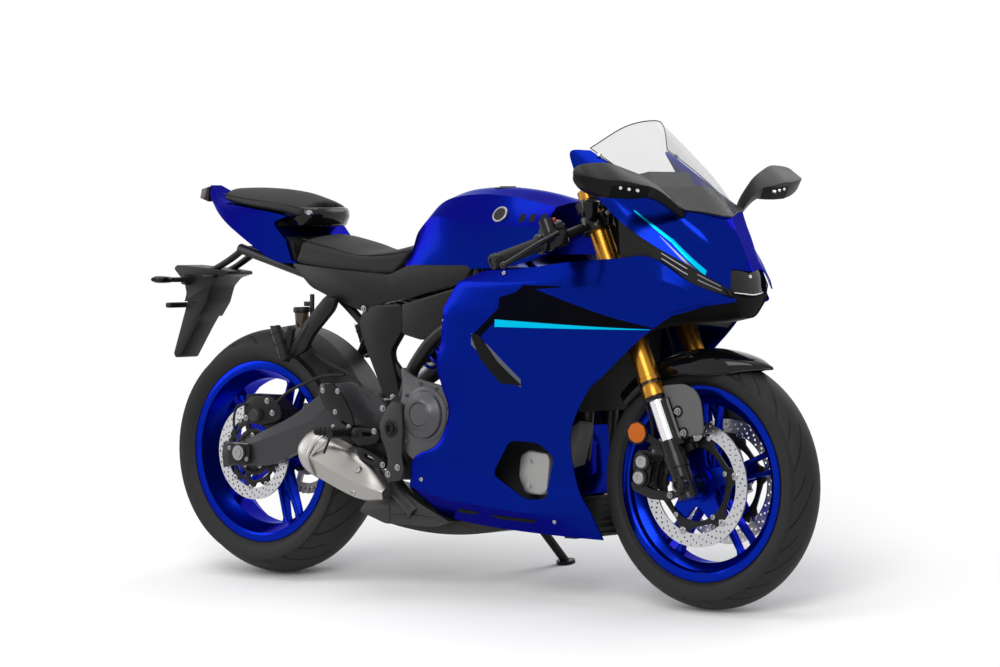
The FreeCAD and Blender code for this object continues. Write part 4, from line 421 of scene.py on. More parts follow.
def skin(lines: Sequence[Sequence[tuple]], creases: Sequence[int] = (), steps: int = 5,
         across: int = 4, close: bool = False) -> Solid:
    """Return a smooth open surface through a table of lines, with folds along some of them.

    Args:
        lines: the table, in decimetres of length, distance to the right and height.
        creases: the lines at which the surface folds.
        steps: parts to a span along a line.
        across: parts to a span between lines.
        close: whether the last line joins the first.

    Returns:
        The surface.
    """
    rows = [table_row(line, steps) for line in lines]
    if close:
        rows.append(rows[0])
    stops = sorted({0, len(rows) - 1, *creases})
    made: list[list[Vector]] = []
    for low, high in zip(stops, stops[1:]):
        columns = [smooth_line([row[k] for row in rows[low:high + 1]], across)
                   for k in range(len(rows[0]))]
        part = [[column[i] for column in columns] for i in range(len(columns[0]))]
        made += part if not made else part[1:]
    if close:
        made = made[:-1]
        return loft([[row[k] for row in made] for k in range(len(made[0]))])
    return loft(made, False, False)


def with_middle(lines: Sequence[Sequence[tuple]]) -> list[list[tuple]]:
    """Return half a table, whose last line is the middle, with its other half added."""
    left = [[(x, -y, z) for x, y, z in line] for line in lines[:-1]]
    return [list(line) for line in lines] + left[::-1]


def ring_table(lines: Sequence[Sequence[tuple]]) -> list[list[tuple]]:
    """Return a closed table from a half one that starts and ends on the middle."""
    left = [[(x, -y, z) for x, y, z in line] for line in lines[1:-1]]
    return [list(line) for line in lines] + left[::-1]


def perforated(outline: Sequence[tuple[float, float]], holes: Sequence[tuple[float, float, float]],
               thickness: float, inner: Sequence[Sequence[tuple[float, float]]] = ()) -> Solid:
    """Return a flat plate in the plane of length and height, with round and shaped holes.

    Args:
        outline: the outer corners.
        holes: centre and radius of each round hole.
        thickness: the plate's thickness across.
        inner: outlines of shaped holes.

    Returns:
        The plate, centred on its own plane.
    """
    data = bpy.data.curves.new("plate_outline", "CURVE")
    data.dimensions = "2D"
    data.fill_mode = "BOTH"
    data.extrude = thickness / 2
    loops = [list(outline), *[list(loop) for loop in inner]]
    for x, z, radius in holes:
        loops.append([
            (x + radius * math.cos(k * math.pi / 5), z + radius * math.sin(k * math.pi / 5))
            for k in range(10)
        ])
    for loop in loops:
        spline = data.splines.new("POLY")
        spline.points.add(len(loop) - 1)
        for point, (x, z) in zip(spline.points, loop):
            point.co = (x, z, 0.0, 1.0)
        spline.use_cyclic_u = True
    holder = bpy.data.objects.new("plate_outline", data)
    bpy.context.scene.collection.objects.link(holder)
    graph = bpy.context.evaluated_depsgraph_get()
    mesh = bpy.data.meshes.new_from_object(holder.evaluated_get(graph))
    points = [Vector((v.co.x, v.co.z, v.co.y)) for v in mesh.vertices]
    faces = [tuple(p.vertices) for p in mesh.polygons]
    bpy.data.objects.remove(holder)
    bpy.data.curves.remove(data)
    bpy.data.meshes.remove(mesh)
    return Solid(points, faces)


@dataclass(frozen=True)
class Band:
    """A painted stripe seen from the side, between two places, with a width at each end."""

    start: tuple[float, float]
    end: tuple[float, float]
    widths: tuple[float, float]
    colour: tuple[float, float, float]


@dataclass(frozen=True)
class Finish:
    """One material: its colour, how it shines, how its surface is grained and its slot's name."""

    name: str
    colour: tuple[float, float, float]
    roughness: float = 0.5
    metallic: float = 0.0
    coat: float = 0.0
    grain: float = 0.0
    grain_scale: float = 900.0
    stretch: tuple[float, float, float] = (1.0, 1.0, 1.0)
    mottle: float = 0.0
    alpha: float = 1.0
    specular: float = 0.2
    rim: tuple[float, float, float] = (1.0, 1.0, 1.0)
    bands: tuple[Band, ...] = ()
    slot: str = "black_plastic"


class Nodes:
    """Fills a node tree: each call makes one node, sets it up and links its inputs."""

    def __init__(self, tree: bpy.types.NodeTree) -> None:
        """Keep the tree that the nodes go into."""
        self.tree = tree

    @classmethod
    def group(cls, name: str, inputs: dict, output: tuple[str, str]) -> tuple:
        """Start a shader group.

        Args:
            name: the group's name.
            inputs: the kind and the first value of each input, by name.
            output: the name and the kind of what the group gives.

        Returns:
            Its nodes, its inputs by name, and the socket that its result goes to.
        """
        tree = bpy.data.node_groups.new(name, "ShaderNodeTree")
        for label, (kind, default) in inputs.items():
            socket = tree.interface.new_socket(label, in_out="INPUT", socket_type=kind)
            if default is not None:
                socket.default_value = default
        tree.interface.new_socket(output[0], in_out="OUTPUT", socket_type=output[1])
        made = cls(tree)
        return made, made("NodeGroupInput").outputs, made("NodeGroupOutput").inputs[0]

    @classmethod
    def of(cls, owner: bpy.types.ID) -> "Nodes":
        """Empty the nodes of a material or a world.

        Args:
            owner: the material or the world.

        Returns:
            Its nodes.
        """
        owner.use_nodes = True
        owner.node_tree.nodes.clear()
        return cls(owner.node_tree)

    def __call__(self, kind: str, inputs: Optional[dict] = None,
                 **settings: object) -> bpy.types.Node:
        """Make one node.

        Args:
            kind: its type.
            inputs: a value or another node's socket for each input, by name or number.
            settings: its own properties.

        Returns:
            The node.
        """
        node = self.tree.nodes.new(kind)
        for name, value in settings.items():
            setattr(node, name, value)
        for key, value in (inputs or {}).items():
            self.feed(node.inputs[key], value)
        return node

    def feed(self, entry: bpy.types.NodeSocket, value: object) -> None:
        """Set an input, or link it where the value is a socket."""
        if isinstance(value, bpy.types.NodeSocket):
            self.tree.links.new(value, entry)
        else:
            entry.default_value = value

    def math(self, operation: str, *values: object) -> bpy.types.NodeSocket:
        """Return the result of a sum."""
        return self("ShaderNodeMath", dict(enumerate(values)), operation=operation).outputs[0]

    def vector(self, operation: str, *values: object) -> bpy.types.bpy_prop_collection:
        """Return both results of a sum with vectors."""
        return self("ShaderNodeVectorMath", dict(enumerate(values)), operation=operation).outputs

    def shared(self, group: bpy.types.NodeTree, **inputs: object) -> bpy.types.NodeSocket:
        """Return what a shared group gives."""
        return self("ShaderNodeGroup", inputs, node_tree=group).outputs[0]

    def over(self, base: bpy.types.NodeSocket, colour: Sequence[float],
             mask: bpy.types.NodeSocket) -> bpy.types.NodeSocket:
        """Lay a colour over another.

        Args:
            base: the colour below.
            colour: what goes over it.
            mask: how much of it shows.

        Returns:
            The mixed colour.
        """
        mix = self("ShaderNodeMix", data_type="RGBA")
        values = {"A_Color": base, "B_Color": (*colour, 1.0), "Factor_Float": mask}
        for entry in mix.inputs:
            if entry.identifier in values:
                self.feed(entry, values[entry.identifier])
        return next(s for s in mix.outputs if s.identifier == "Result_Color")


class Palette:
    """Makes each finish's material once, from shared node groups."""

    def __init__(self, stance: Stance) -> None:
        """Prepare the shared groups.

        Args:
            stance: turns the row frame back to the upright motorcycle.
        """
        self.made: dict[str, bpy.types.Material] = {}
        self.upright = self._upright_group(stance)
        self.grain = self._grain_group()
        self.mottle = self._mottle_group()
        self.band = self._band_group()

    @staticmethod
    def _upright_group(stance: Stance) -> bpy.types.NodeTree:
        """Return a group that gives places on the upright motorcycle, in metres.

        Args:
            stance: turns the row frame back to the upright motorcycle.

        Returns:
            The group.
        """
        nodes, _, leave = Nodes.group("Upright place", {}, ("Place", VECTOR))
        turned = nodes("ShaderNodeMapping", {
            "Rotation": (stance.lean, 0.0, 0.0),
            "Location": -(Matrix.Rotation(stance.lean, 4, "X") @ stance.shift),
            "Vector": nodes("ShaderNodeTexCoord").outputs["Object"],
        })
        nodes.feed(leave, turned.outputs["Vector"])
        return nodes.tree

    def _grain_group(self) -> bpy.types.NodeTree:
        """Return a group that gives a fine bump, which can be stretched into brushing."""
        inputs = {"Scale": (FLOAT, 900.0), "Strength": (FLOAT, 0.1),
                  "Stretch": (VECTOR, (1.0, 1.0, 1.0))}
        nodes, entry, leave = Nodes.group("Grain", inputs, ("Normal", VECTOR))
        place = nodes.vector("MULTIPLY", nodes.shared(self.upright), entry["Stretch"])["Vector"]
        noise = nodes("ShaderNodeTexNoise", {"Vector": place, "Scale": entry["Scale"],
                                             "Detail": 3.0})
        bump = nodes("ShaderNodeBump", {"Height": noise.outputs["Fac"],
                                        "Strength": entry["Strength"], "Distance": GRAIN_DEPTH})
        nodes.feed(leave, bump.outputs["Normal"])
        return nodes.tree

    def _mottle_group(self) -> bpy.types.NodeTree:
        """Return a group that changes a colour's tone slowly over a surface."""
        inputs = {"Colour": (COLOUR, (0.5, 0.5, 0.5, 1.0)), "Amount": (FLOAT, 0.1),
                  "Scale": (FLOAT, 14.0)}
        nodes, entry, leave = Nodes.group("Mottle", inputs, ("Colour", COLOUR))
        noise = nodes("ShaderNodeTexNoise", {"Vector": nodes.shared(self.upright),
                                             "Scale": entry["Scale"], "Detail": 4.0})
        centred = nodes.math("SUBTRACT", noise.outputs["Fac"], 0.5)
        drift = nodes.math("MULTIPLY", centred, entry["Amount"])
        level = nodes.math("MULTIPLY_ADD", drift, 2.0, 1.0)
        scaled = nodes("ShaderNodeVectorMath", operation="SCALE")
        nodes.feed(scaled.inputs[0], entry["Colour"])
        nodes.feed(scaled.inputs["Scale"], level)
        nodes.feed(leave, scaled.outputs["Vector"])
        return nodes.tree

    def _band_group(self) -> bpy.types.NodeTree:
        """Return a group that gives one inside a stripe seen from the side, and zero elsewhere."""
        names = ("Start X", "Start Z", "End X", "End Z", "Start width", "End width")
        inputs = {name: (FLOAT, 0.0) for name in names}
        nodes, entry, leave = Nodes.group("Band", inputs, ("Mask", FLOAT))
        place = nodes("ShaderNodeSeparateXYZ", {0: nodes.shared(self.upright)}).outputs
        sums = nodes.math
        length = sums("SUBTRACT", entry["End X"], entry["Start X"])
        share = sums("DIVIDE", sums("SUBTRACT", place["X"], entry["Start X"]), length)
        rise = sums("SUBTRACT", entry["End Z"], entry["Start Z"])
        middle = sums("MULTIPLY_ADD", share, rise, entry["Start Z"])
        off = sums("ABSOLUTE", sums("SUBTRACT", place["Z"], middle))
        growth = sums("SUBTRACT", entry["End width"], entry["Start width"])
        width = sums("MULTIPLY_ADD", share, growth, entry["Start width"])
        inside = sums("LESS_THAN", off, sums("MULTIPLY", width, 0.5))
        both = sums("MULTIPLY", sums("GREATER_THAN", share, 0.0), sums("LESS_THAN", share, 1.0))
        nodes.feed(leave, sums("MULTIPLY", inside, both))
        return nodes.tree

    def material(self, finish: Finish) -> bpy.types.Material:
        """Return a finish's material.

        Args:
            finish: the finish to make.

        Returns:
            Its material, made at its first use.
        """
        if finish.name in self.made:
            return self.made[finish.name]
        made = bpy.data.materials.new(finish.name)
        nodes = Nodes.of(made)
        socket = nodes("ShaderNodeRGB").outputs[0]
        socket.default_value = (*finish.colour, 1.0)
        if finish.mottle:
            socket = nodes.shared(self.mottle, Colour=socket, Amount=finish.mottle)
        for band in finish.bands:
            values = (v / MM_PER_M for v in (*band.start, *band.end, *band.widths))
            mask = nodes("ShaderNodeGroup", dict(enumerate(values)), node_tree=self.band).outputs[0]
            socket = nodes.over(socket, band.colour, mask)
        shader = nodes("ShaderNodeBsdfPrincipled", {
            "Base Color": socket, "Roughness": finish.roughness, "Metallic": finish.metallic,
            "Coat Weight": finish.coat, "Coat Roughness": COAT_ROUGHNESS,
            "Specular IOR Level": finish.specular, "Specular Tint": (*finish.rim, 1.0),
            "Alpha": finish.alpha,
        })
        if finish.grain:
            nodes.feed(shader.inputs["Normal"],
                       nodes.shared(self.grain, Scale=finish.grain_scale, Strength=finish.grain,
                                    Stretch=finish.stretch))
        nodes("ShaderNodeOutputMaterial", {"Surface": shader.outputs["BSDF"]})
        made.diffuse_color = (*finish.colour, 1.0)
        self.made[finish.name] = made
        return made


BLUE = (0.0007, 0.010, 0.19)
BLUE_RIM = (0.05, 0.12, 0.75)
CYAN = (0.0, 0.52, 0.80)
GREY = (0.10, 0.11, 0.13)
INK = (0.002, 0.002, 0.003)
SIDE_BANDS = (
    Band((124, 628), (284, 756), (26, 22), INK),
    Band((282, 757), (398, 761), (12, 3), INK),
    Band((205, 702), (300, 716), (60, 84), INK),
    Band((299, 716), (640, 667), (86, 2), INK),
    Band((118, 630), (176, 596), (28, 40), GREY),
    Band((176, 594), (280, 528), (44, 20), GREY),
    Band((196, 670), (633, 664), (18, 1), CYAN),
)
NOSE_BANDS = (
    Band((596, 943), (690, 872), (3.5, 8), CYAN),
    Band((689, 873), (764, 798), (8, 13), CYAN),
    Band((662, 884), (748, 802), (1, 8), GREY),
)
BODY_PAINT = Finish("body paint", BLUE, 0.2, 0.95, 0.03, mottle=0.03, rim=BLUE_RIM,
                    slot="body_blue")
SIDE_PAINT = replace(BODY_PAINT, name="side paint", bands=SIDE_BANDS)
NOSE_PAINT = replace(BODY_PAINT, name="nose paint", bands=NOSE_BANDS)
WHEEL_PAINT = Finish("wheel paint", (0.001, 0.014, 0.30), 0.22, 0.9, 0.03, mottle=0.03,
                     rim=BLUE_RIM, slot="wheel_blue")
BLACK_PLASTIC = Finish("black plastic", (0.006, 0.006, 0.0065), 0.42, grain=0.2, mottle=0.1)
GLOSS_BLACK = Finish("gloss black", (0.003, 0.003, 0.0035), 0.1, 0.0, 0.25, mottle=0.05,
                     specular=0.15)
DASH_GREY = Finish("dash plastic", (0.010, 0.010, 0.011), 0.5, grain=0.3, mottle=0.08)
SCREEN = Finish("screen", (0.30, 0.305, 0.31), 0.12, alpha=0.16, specular=0.2, slot="screen_clear")
LAMP_DARK = Finish("lamp well", (0.006, 0.006, 0.007), 0.12, 0.0, 0.2, mottle=0.05,
                   slot="lamp_lens")
LED = Finish("lamp light", (0.85, 0.87, 0.9), 0.15, 0.3, mottle=0.02, slot="lamp_lens")
RED_LENS = Finish("smoked red lens", (0.022, 0.002, 0.0025), 0.12, coat=0.3, mottle=0.04,
                  slot="rear_lens")
AMBER = Finish("amber reflector", (0.55, 0.12, 0.003), 0.2, coat=0.15, grain=0.6, grain_scale=500,
               slot="rear_lens")
SEAT_COVER = Finish("seat cover", (0.013, 0.013, 0.014), 0.6, grain=0.5, grain_scale=1400,
                    mottle=0.12, slot="seat_cover")
FRAME_PAINT = Finish("frame paint", (0.008, 0.008, 0.009), 0.38, 0.1, 0.05, mottle=0.08)
ARM_PAINT = Finish("arm paint", (0.04, 0.04, 0.044), 0.42, 0.35, 0.1, grain=0.15, mottle=0.08)
CASE = Finish("engine case", (0.085, 0.085, 0.09), 0.36, 0.6, grain=0.25, mottle=0.1,
              slot="engine_case")
BRIGHT_CASE = Finish("bright cover", (0.33, 0.325, 0.32), 0.36, 0.8, grain=0.15, mottle=0.06,
                     slot="zinc_steel")
CORE = Finish("radiator core", (0.012, 0.012, 0.013), 0.6, 0.2, grain=1.0, grain_scale=300,
              stretch=(0.2, 0.2, 3.0), mottle=0.1)
PIPE = Finish("exhaust pipe", (0.035, 0.033, 0.032), 0.4, 0.7, grain=0.1, mottle=0.25)
SILENCER = Finish("silencer", (0.34, 0.325, 0.31), 0.32, 0.95, grain=0.35, grain_scale=700,
                  stretch=(0.06, 1.0, 1.0), mottle=0.05, slot="brushed_silencer")
SILENCER_CAP = replace(SILENCER, name="silencer cap", roughness=0.42, colour=(0.40, 0.39, 0.38))
CAST = Finish("cast black", (0.010, 0.010, 0.011), 0.4, 0.3, grain=0.3, mottle=0.08,
              slot="cast_alloy")
GOLD = Finish("gold tube", (0.42, 0.19, 0.022), 0.26, 0.95, 0.1, grain=0.06, grain_scale=700,
              stretch=(1.0, 1.0, 0.1), mottle=0.04, slot="gold_tube")
CHROME = Finish("hard chrome", (0.75, 0.76, 0.78), 0.08, 1.0, mottle=0.03)
RUBBER = Finish("rubber", (0.012, 0.012, 0.012), 0.6, grain=0.3, mottle=0.1, slot="hose_rubber")
TYRE = Finish("tyre rubber", (0.018, 0.018, 0.0185), 0.6, grain=0.3, grain_scale=500, mottle=0.12,
              slot="tyre")
DISC_STEEL = Finish("disc steel", (0.52, 0.52, 0.53), 0.3, 1.0, grain=0.3, grain_scale=900,
                    mottle=0.06, slot="disc_steel")
CHAIN_STEEL = Finish("chain steel", (0.30, 0.29, 0.27), 0.35, 0.95, mottle=0.12, slot="chain_steel")
ZINC = Finish("zinc steel", (0.30, 0.30, 0.31), 0.35, 0.9, mottle=0.08, slot="zinc_steel")
BOLT = Finish("bolt steel", (0.34, 0.34, 0.35), 0.25, 1.0, mottle=0.05, slot="zinc_steel")
RED_SWITCH = Finish("red switch", (0.55, 0.01, 0.01), 0.3, coat=0.4, mottle=0.03, slot="rear_lens")
FLUID = Finish("fluid cup", (0.05, 0.035, 0.02), 0.2, coat=0.5, mottle=0.1, slot="rear_lens")
COIL = Finish("spring paint", (0.001, 0.014, 0.30), 0.3, 0.6, 0.1, mottle=0.05, slot="zinc_steel")
PLATE_GREY = Finish("plate grey", (0.035, 0.035, 0.037), 0.45, 0.3, grain=0.2, mottle=0.08,
                    slot="black_alloy")
MATTE_BLACK = Finish("matte black", (0.003, 0.003, 0.0035), 0.6, grain=0.2, mottle=0.1,
                     specular=0.07)
SATIN_BLACK = Finish("satin black", (0.006, 0.006, 0.0065), 0.32, grain=0.1, mottle=0.06,
                     specular=0.1)
CHAMBER = Finish("exhaust chamber", (0.045, 0.044, 0.043), 0.34, 0.6, grain=0.12, mottle=0.15,
                 slot="exhaust_steel")
CAST_GLOSS = Finish("gloss casting", (0.008, 0.008, 0.009), 0.2, 0.3, 0.15, grain=0.12, mottle=0.06,
                    slot="black_alloy")
STAY_GREY = Finish("stay grey", (0.12, 0.12, 0.122), 0.5, 0.1, grain=0.2, mottle=0.06)
BADGE_DARK = Finish("badge dark", (0.02, 0.02, 0.022), 0.3, 0.4, mottle=0.05, slot="cap_metal")

NODE_FINISHES = {
    "fairing_right": SIDE_PAINT, "fairing_left": SIDE_PAINT, "nose_cowl": NOSE_PAINT,
    "fuel_tank": BODY_PAINT, "tail_cowl": BODY_PAINT, "nose_duct": BLACK_PLASTIC,
    "frame_covers": BLACK_PLASTIC, "plate_hanger": BLACK_PLASTIC, "rear_hugger": BLACK_PLASTIC,
    "front_fender": GLOSS_BLACK, "mirrors": BLACK_PLASTIC, "dash": DASH_GREY, "windscreen": SCREEN,
    "front_lamps": LAMP_DARK, "rear_lamps": RED_LENS, "rider_seat": SEAT_COVER,
    "passenger_seat": SEAT_COVER, "main_frame": FRAME_PAINT, "subframe": FRAME_PAINT,
    "swingarm": ARM_PAINT, "engine_block": CASE, "engine_covers": CASE, "radiator": CORE,
    "exhaust_pipe": PIPE, "muffler": SILENCER, "rearsets": CAST, "clip_ons": CAST,
    "upper_yoke": CAST, "lower_yoke": CAST, "hand_controls": CAST_GLOSS, "front_calipers": CAST,
    "rear_brake": CAST, "fork_feet": CAST_GLOSS, "fork_tubes": GOLD, "fork_stanchions": CHROME,
    "brake_hoses": RUBBER, "front_tyre": TYRE, "rear_tyre": TYRE, "front_rim": WHEEL_PAINT,
    "rear_rim": WHEEL_PAINT, "front_discs": DISC_STEEL, "rear_disc": DISC_STEEL,
    "rear_sprocket": CHAIN_STEEL, "chain": CHAIN_STEEL, "rear_axle": ZINC, "side_stand": CAST,
    "shock": ZINC, "fuel_cap": CAST,
}


def linked(name: str, mesh: bpy.types.Mesh) -> bpy.types.Object:
    """Put a mesh into the scene as an object.

    Args:
        name: the object's name.
        mesh: its mesh.

    Returns:
        The object.
    """
    made = bpy.data.objects.new(name, mesh)
    bpy.context.scene.collection.objects.link(made)
    return made


def modified(piece: bpy.types.Object, kind: str, **settings: object) -> bpy.types.Modifier:
    """Give a piece a modifier.

    Args:
        piece: the piece.
        kind: the modifier's type.
        settings: its properties.

    Returns:
        The modifier.
    """
    made = piece.modifiers.new(kind.lower(), kind)
    for name, value in settings.items():
        setattr(made, name, value)
    return made


def bake(piece: bpy.types.Object) -> None:
    """Keep the result of a piece's modifiers as its mesh, with its material.

    Args:
        piece: the piece.
    """
    paint = list(piece.data.materials)
    graph = bpy.context.evaluated_depsgraph_get()
    baked = bpy.data.meshes.new_from_object(piece.evaluated_get(graph))
    piece.modifiers.clear()
    piece.vertex_groups.clear()
    piece.data = baked
    if paint and not baked.materials:
        baked.materials.append(paint[0])


@dataclass
class Assembly:
    """A group of pieces that belong together and share a stance, a palette and a body."""

    stance: Stance
    palette: Palette
    body: Body = Body.FRAME

    def add(self, name: str, solid: Solid, finish: Finish, *, slot: str = "",
            body: Optional[Body] = None, replaces: Sequence[str] = (), smooth: float = 32.0,
            bevel: float = 0.0, thickness: float = 0.0, inside: Optional[tuple] = None,
            cutters: Sequence[Solid] = (), within: Optional[Solid] = None) -> bpy.types.Object:
        """Make one piece of the motorcycle from a solid on the upright motorcycle.

        Args:
            name: the piece's name.
            solid: its shape in millimetres.
            finish: its finish.
            slot: not used.
            body: the body that it rides on, where it isn't the assembly's own.
            replaces: the CAD nodes that it stands for.
            smooth: the fold, in degrees, past which an edge stays sharp.
            bevel: the width of its edges' rounding, or zero.
            thickness: the wall that an open skin gets inwards, or outwards if it is negative.
            inside: a place within an open skin, which tells its outer side.
            cutters: closed shapes that are cut away.
            within: a closed shape, outside which everything is cut away.

        Returns:
            The piece.
        """
        made = self._object(name, solid, inside)
        if thickness:
            modified(made, "SOLIDIFY", thickness=abs(thickness) / MM_PER_M,
                     offset=-1.0 if thickness > 0 else 1.0, use_even_offset=True)
        tools = [(self._object(f"{name}_cutter", cutter, None), "DIFFERENCE") for cutter in cutters]
        if within is not None:
            tools.append((self._object(f"{name}_within", within, None), "INTERSECT"))
        for tool, operation in tools:
            modified(made, "BOOLEAN", operation=operation, solver="EXACT", object=tool)
        if bevel:
            modified(made, "BEVEL", width=bevel / MM_PER_M, segments=2, limit_method="ANGLE",
                     angle_limit=math.radians(BEVEL_FOLD), use_clamp_overlap=True)
        if made.modifiers:
            bake(made)
        for tool, _ in tools:
            bpy.data.objects.remove(tool)
        made.data.materials.clear()
        made.data.materials.append(self.palette.material(finish))
        made.data.shade_smooth()
        made.data.set_sharp_from_angle(angle=math.radians(smooth))
        self._ride(made, body)
        if replaces:
            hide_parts(*replaces)
        return made

    def _ride(self, made: bpy.types.Object, body: Optional[Body]) -> None:
        """Fix a piece to its body and report it.

        Args:
            made: the piece.
            body: the body that it rides on, where it isn't the assembly's own.
        """
        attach(made, (body or self.body).value)
        LOG.info("%s: %d faces on %s", made.name, len(made.data.polygons),
                 (body or self.body).value)

    def _object(self, name: str, solid: Solid, inside: Optional[tuple]) -> bpy.types.Object:
        """Make an object from a solid, with its faces turned outwards.

        Args:
            name: the object's name.
            solid: its shape in millimetres.
            inside: a place within an open skin, or None for a closed shape.

        Returns:
            The object.
        """
        mesh = bpy.data.meshes.new(name)
        mesh.from_pydata([self.stance.place(p) for p in solid.points], [], solid.faces)
        work = bmesh.new()
        work.from_mesh(mesh)
        bmesh.ops.remove_doubles(work, verts=work.verts, dist=WELD)
        bmesh.ops.recalc_face_normals(work, faces=work.faces)
        if inside is not None:
            core = self.stance.place(Vector(inside))
            sense = sum(f.normal.dot(f.calc_center_median() - core) * f.calc_area()
                        for f in work.faces)
            if sense < 0:
                bmesh.ops.reverse_faces(work, faces=work.faces)
        work.to_mesh(mesh)
        work.free()
        mesh.update()
        return linked(name, mesh)

    def scatter(self, name: str, seed: Solid, spots: Sequence[Matrix], finish: Finish, *,
                slot: str = "", body: Optional[Body] = None) -> bpy.types.Object:
        """Repeat a small solid at many places with Geometry Nodes and keep the result as one mesh.

        Args:
            name: the piece's name.
            seed: the solid, about its own origin, in millimetres.
            spots: where each copy goes on the upright motorcycle.
            finish: its finish.
            slot: not used.
            body: the body that it rides on, where it isn't the assembly's own.

        Returns:
            The piece.
        """
        source = bpy.data.meshes.new(f"{name}_seed")
        source.from_pydata([p / MM_PER_M for p in seed.points], [], seed.faces)
        work = bmesh.new()
        work.from_mesh(source)
        bmesh.ops.recalc_face_normals(work, faces=work.faces)
        work.to_mesh(source)
        work.free()
        source.shade_smooth()
        source.set_sharp_from_angle(angle=math.radians(SEED_FOLD))
        kept = linked(f"{name}_seed", source)
        cloud = bpy.data.meshes.new(name)
        places = [self.stance.metres @ Matrix.Translation(m.translation / MM_PER_M)
                  @ m.to_3x3().to_4x4() for m in spots]
        cloud.from_pydata([m.translation for m in places], [], [])
        turns = cloud.attributes.new("turn", "FLOAT_VECTOR", "POINT")
        for entry, m in zip(turns.data, places):
            entry.vector = m.to_euler("XYZ")
        made = linked(name, cloud)
        modifier = modified(made, "NODES", node_group=self._repeat_group())
        labels = {s.name: s.identifier for s in modifier.node_group.interface.items_tree
                  if getattr(s, "in_out", "") == "INPUT"}
        modifier[labels["Seed"]] = kept
        modifier[labels["Finish"]] = self.palette.material(finish)
        bake(made)
        bpy.data.objects.remove(kept)
        self._ride(made, body)
        return made

    def screws(self, name: str, radius: float, height: float, places: Sequence[tuple]) -> None:
        """Put steel screws at places of length, distance to the right and height."""
        self.scatter(name, hex_bolt(radius, height), side_spots(places), BOLT)

    @staticmethod
    def _repeat_group() -> bpy.types.NodeTree:
        """Return the group that puts a copy of one object at each point."""
        found = bpy.data.node_groups.get("Repeat at points")
        if found:
            return found
        group = bpy.data.node_groups.new("Repeat at points", "GeometryNodeTree")
        for label, kind in (("Points", "Geometry"), ("Seed", "Object"), ("Finish", "Material")):
            group.interface.new_socket(label, in_out="INPUT", socket_type=f"NodeSocket{kind}")
        group.interface.new_socket("Copies", in_out="OUTPUT", socket_type="NodeSocketGeometry")
        nodes = Nodes(group)
        entry = nodes("NodeGroupInput").outputs
        turn = nodes("GeometryNodeInputNamedAttribute", {"Name": "turn"}, data_type="FLOAT_VECTOR")
        seed = nodes("GeometryNodeObjectInfo", {"Object": entry["Seed"]}).outputs["Geometry"]
        copies = nodes("GeometryNodeInstanceOnPoints",
                       {"Points": entry["Points"], "Rotation": turn.outputs["Attribute"],
                        "Instance": seed})
        solid = nodes("GeometryNodeRealizeInstances", {"Geometry": copies.outputs["Instances"]})
        paint = nodes("GeometryNodeSetMaterial", {"Geometry": solid.outputs["Geometry"],
                                                  "Material": entry["Finish"]})
        nodes("NodeGroupOutput", {"Copies": paint.outputs["Geometry"]})
        return group


def facing(place: Vector, way: Vector) -> Matrix:
    """Return a place whose height axis points along a direction.

    Args:
        place: the place on the upright motorcycle.
        way: where the copy's height axis points.

    Returns:
        The matrix of the copy.
    """
    turn = UP.rotation_difference(Vector(way).normalized())
    return Matrix.Translation(Vector(place)) @ turn.to_matrix().to_4x4()


def rounded_bar(sections: Sequence[tuple[Vector, float, float]], way: Vector, across: Vector,
                steps: int = 4) -> Solid:
    """Return a bar with rounded rectangular sections of changing size.

    Args:
        sections: centre, width and depth of each section in order.
        way: the direction in which the width lies.
        across: the direction in which the depth lies.
        steps: how many parts each rounded corner gets.

    Returns:
        The closed bar.
    """
    rings = []
    for centre, width, depth in sections:
        corners = [(-width / 2, -depth / 2), (width / 2, -depth / 2), (width / 2, depth / 2),
                   (-width / 2, depth / 2)]
        rings.append([Vector(centre) + way * a + across * b
                      for a, b in rounded(corners, min(width, depth) * 0.42, steps)])
    return loft(rings)


def around(solid: Solid, centre: Vector, count: int, start: float = 0.0) -> Solid:
    """Return copies of a solid turned about an axle.

    Args:
        solid: the solid at its first place.
        centre: a place on the axle, which lies across the motorcycle.
        count: how many copies there are.
        start: the first copy's turn in degrees.

    Returns:
        All the copies.
    """
    copies = []
    for k in range(count):
        turn = Matrix.Rotation(math.radians(start + 360.0 * k / count), 4, "Y")
        copies.append(solid.moved(Matrix.Translation(centre) @ turn @ Matrix.Translation(-centre)))
    return union(copies)


def circle_outline(radius: float, steps: int = 96) -> list[tuple[float, float]]:
    """Return a round outline about the origin."""
    return [(radius * math.cos(2 * math.pi * k / steps), radius * math.sin(2 * math.pi * k / steps))
            for k in range(steps)]


def polar(radius: float, degrees: float) -> tuple[float, float]:
    """Return the place at a radius and an angle as length and height."""
    return radius * math.cos(math.radians(degrees)), radius * math.sin(math.radians(degrees))


def window_outlines(inner: float, outer: float, arm: float,
                    count: int) -> list[list[tuple[float, float]]]:
    """Return the outlines of windows that leave arms of one width between two radii.

    Args:
        inner: the inner radius.
        outer: the outer radius.
        arm: the width of an arm.
        count: how many windows there are.

    Returns:
        The outlines.
    """
    made = []
    for k in range(count):
        middle = 2 * math.pi * k / count
        half = math.pi / count
        inner_half = half - math.asin(min(0.95, arm / 2 / inner))
        outer_half = half - math.asin(arm / 2 / outer)
        arc = [(outer, middle - outer_half + 2 * outer_half * i / 8) for i in range(9)]
        arc += [(inner, middle + inner_half - 2 * inner_half * i / 4) for i in range(5)]
        made.append([(r * math.cos(t), r * math.sin(t)) for r, t in arc])
    return made


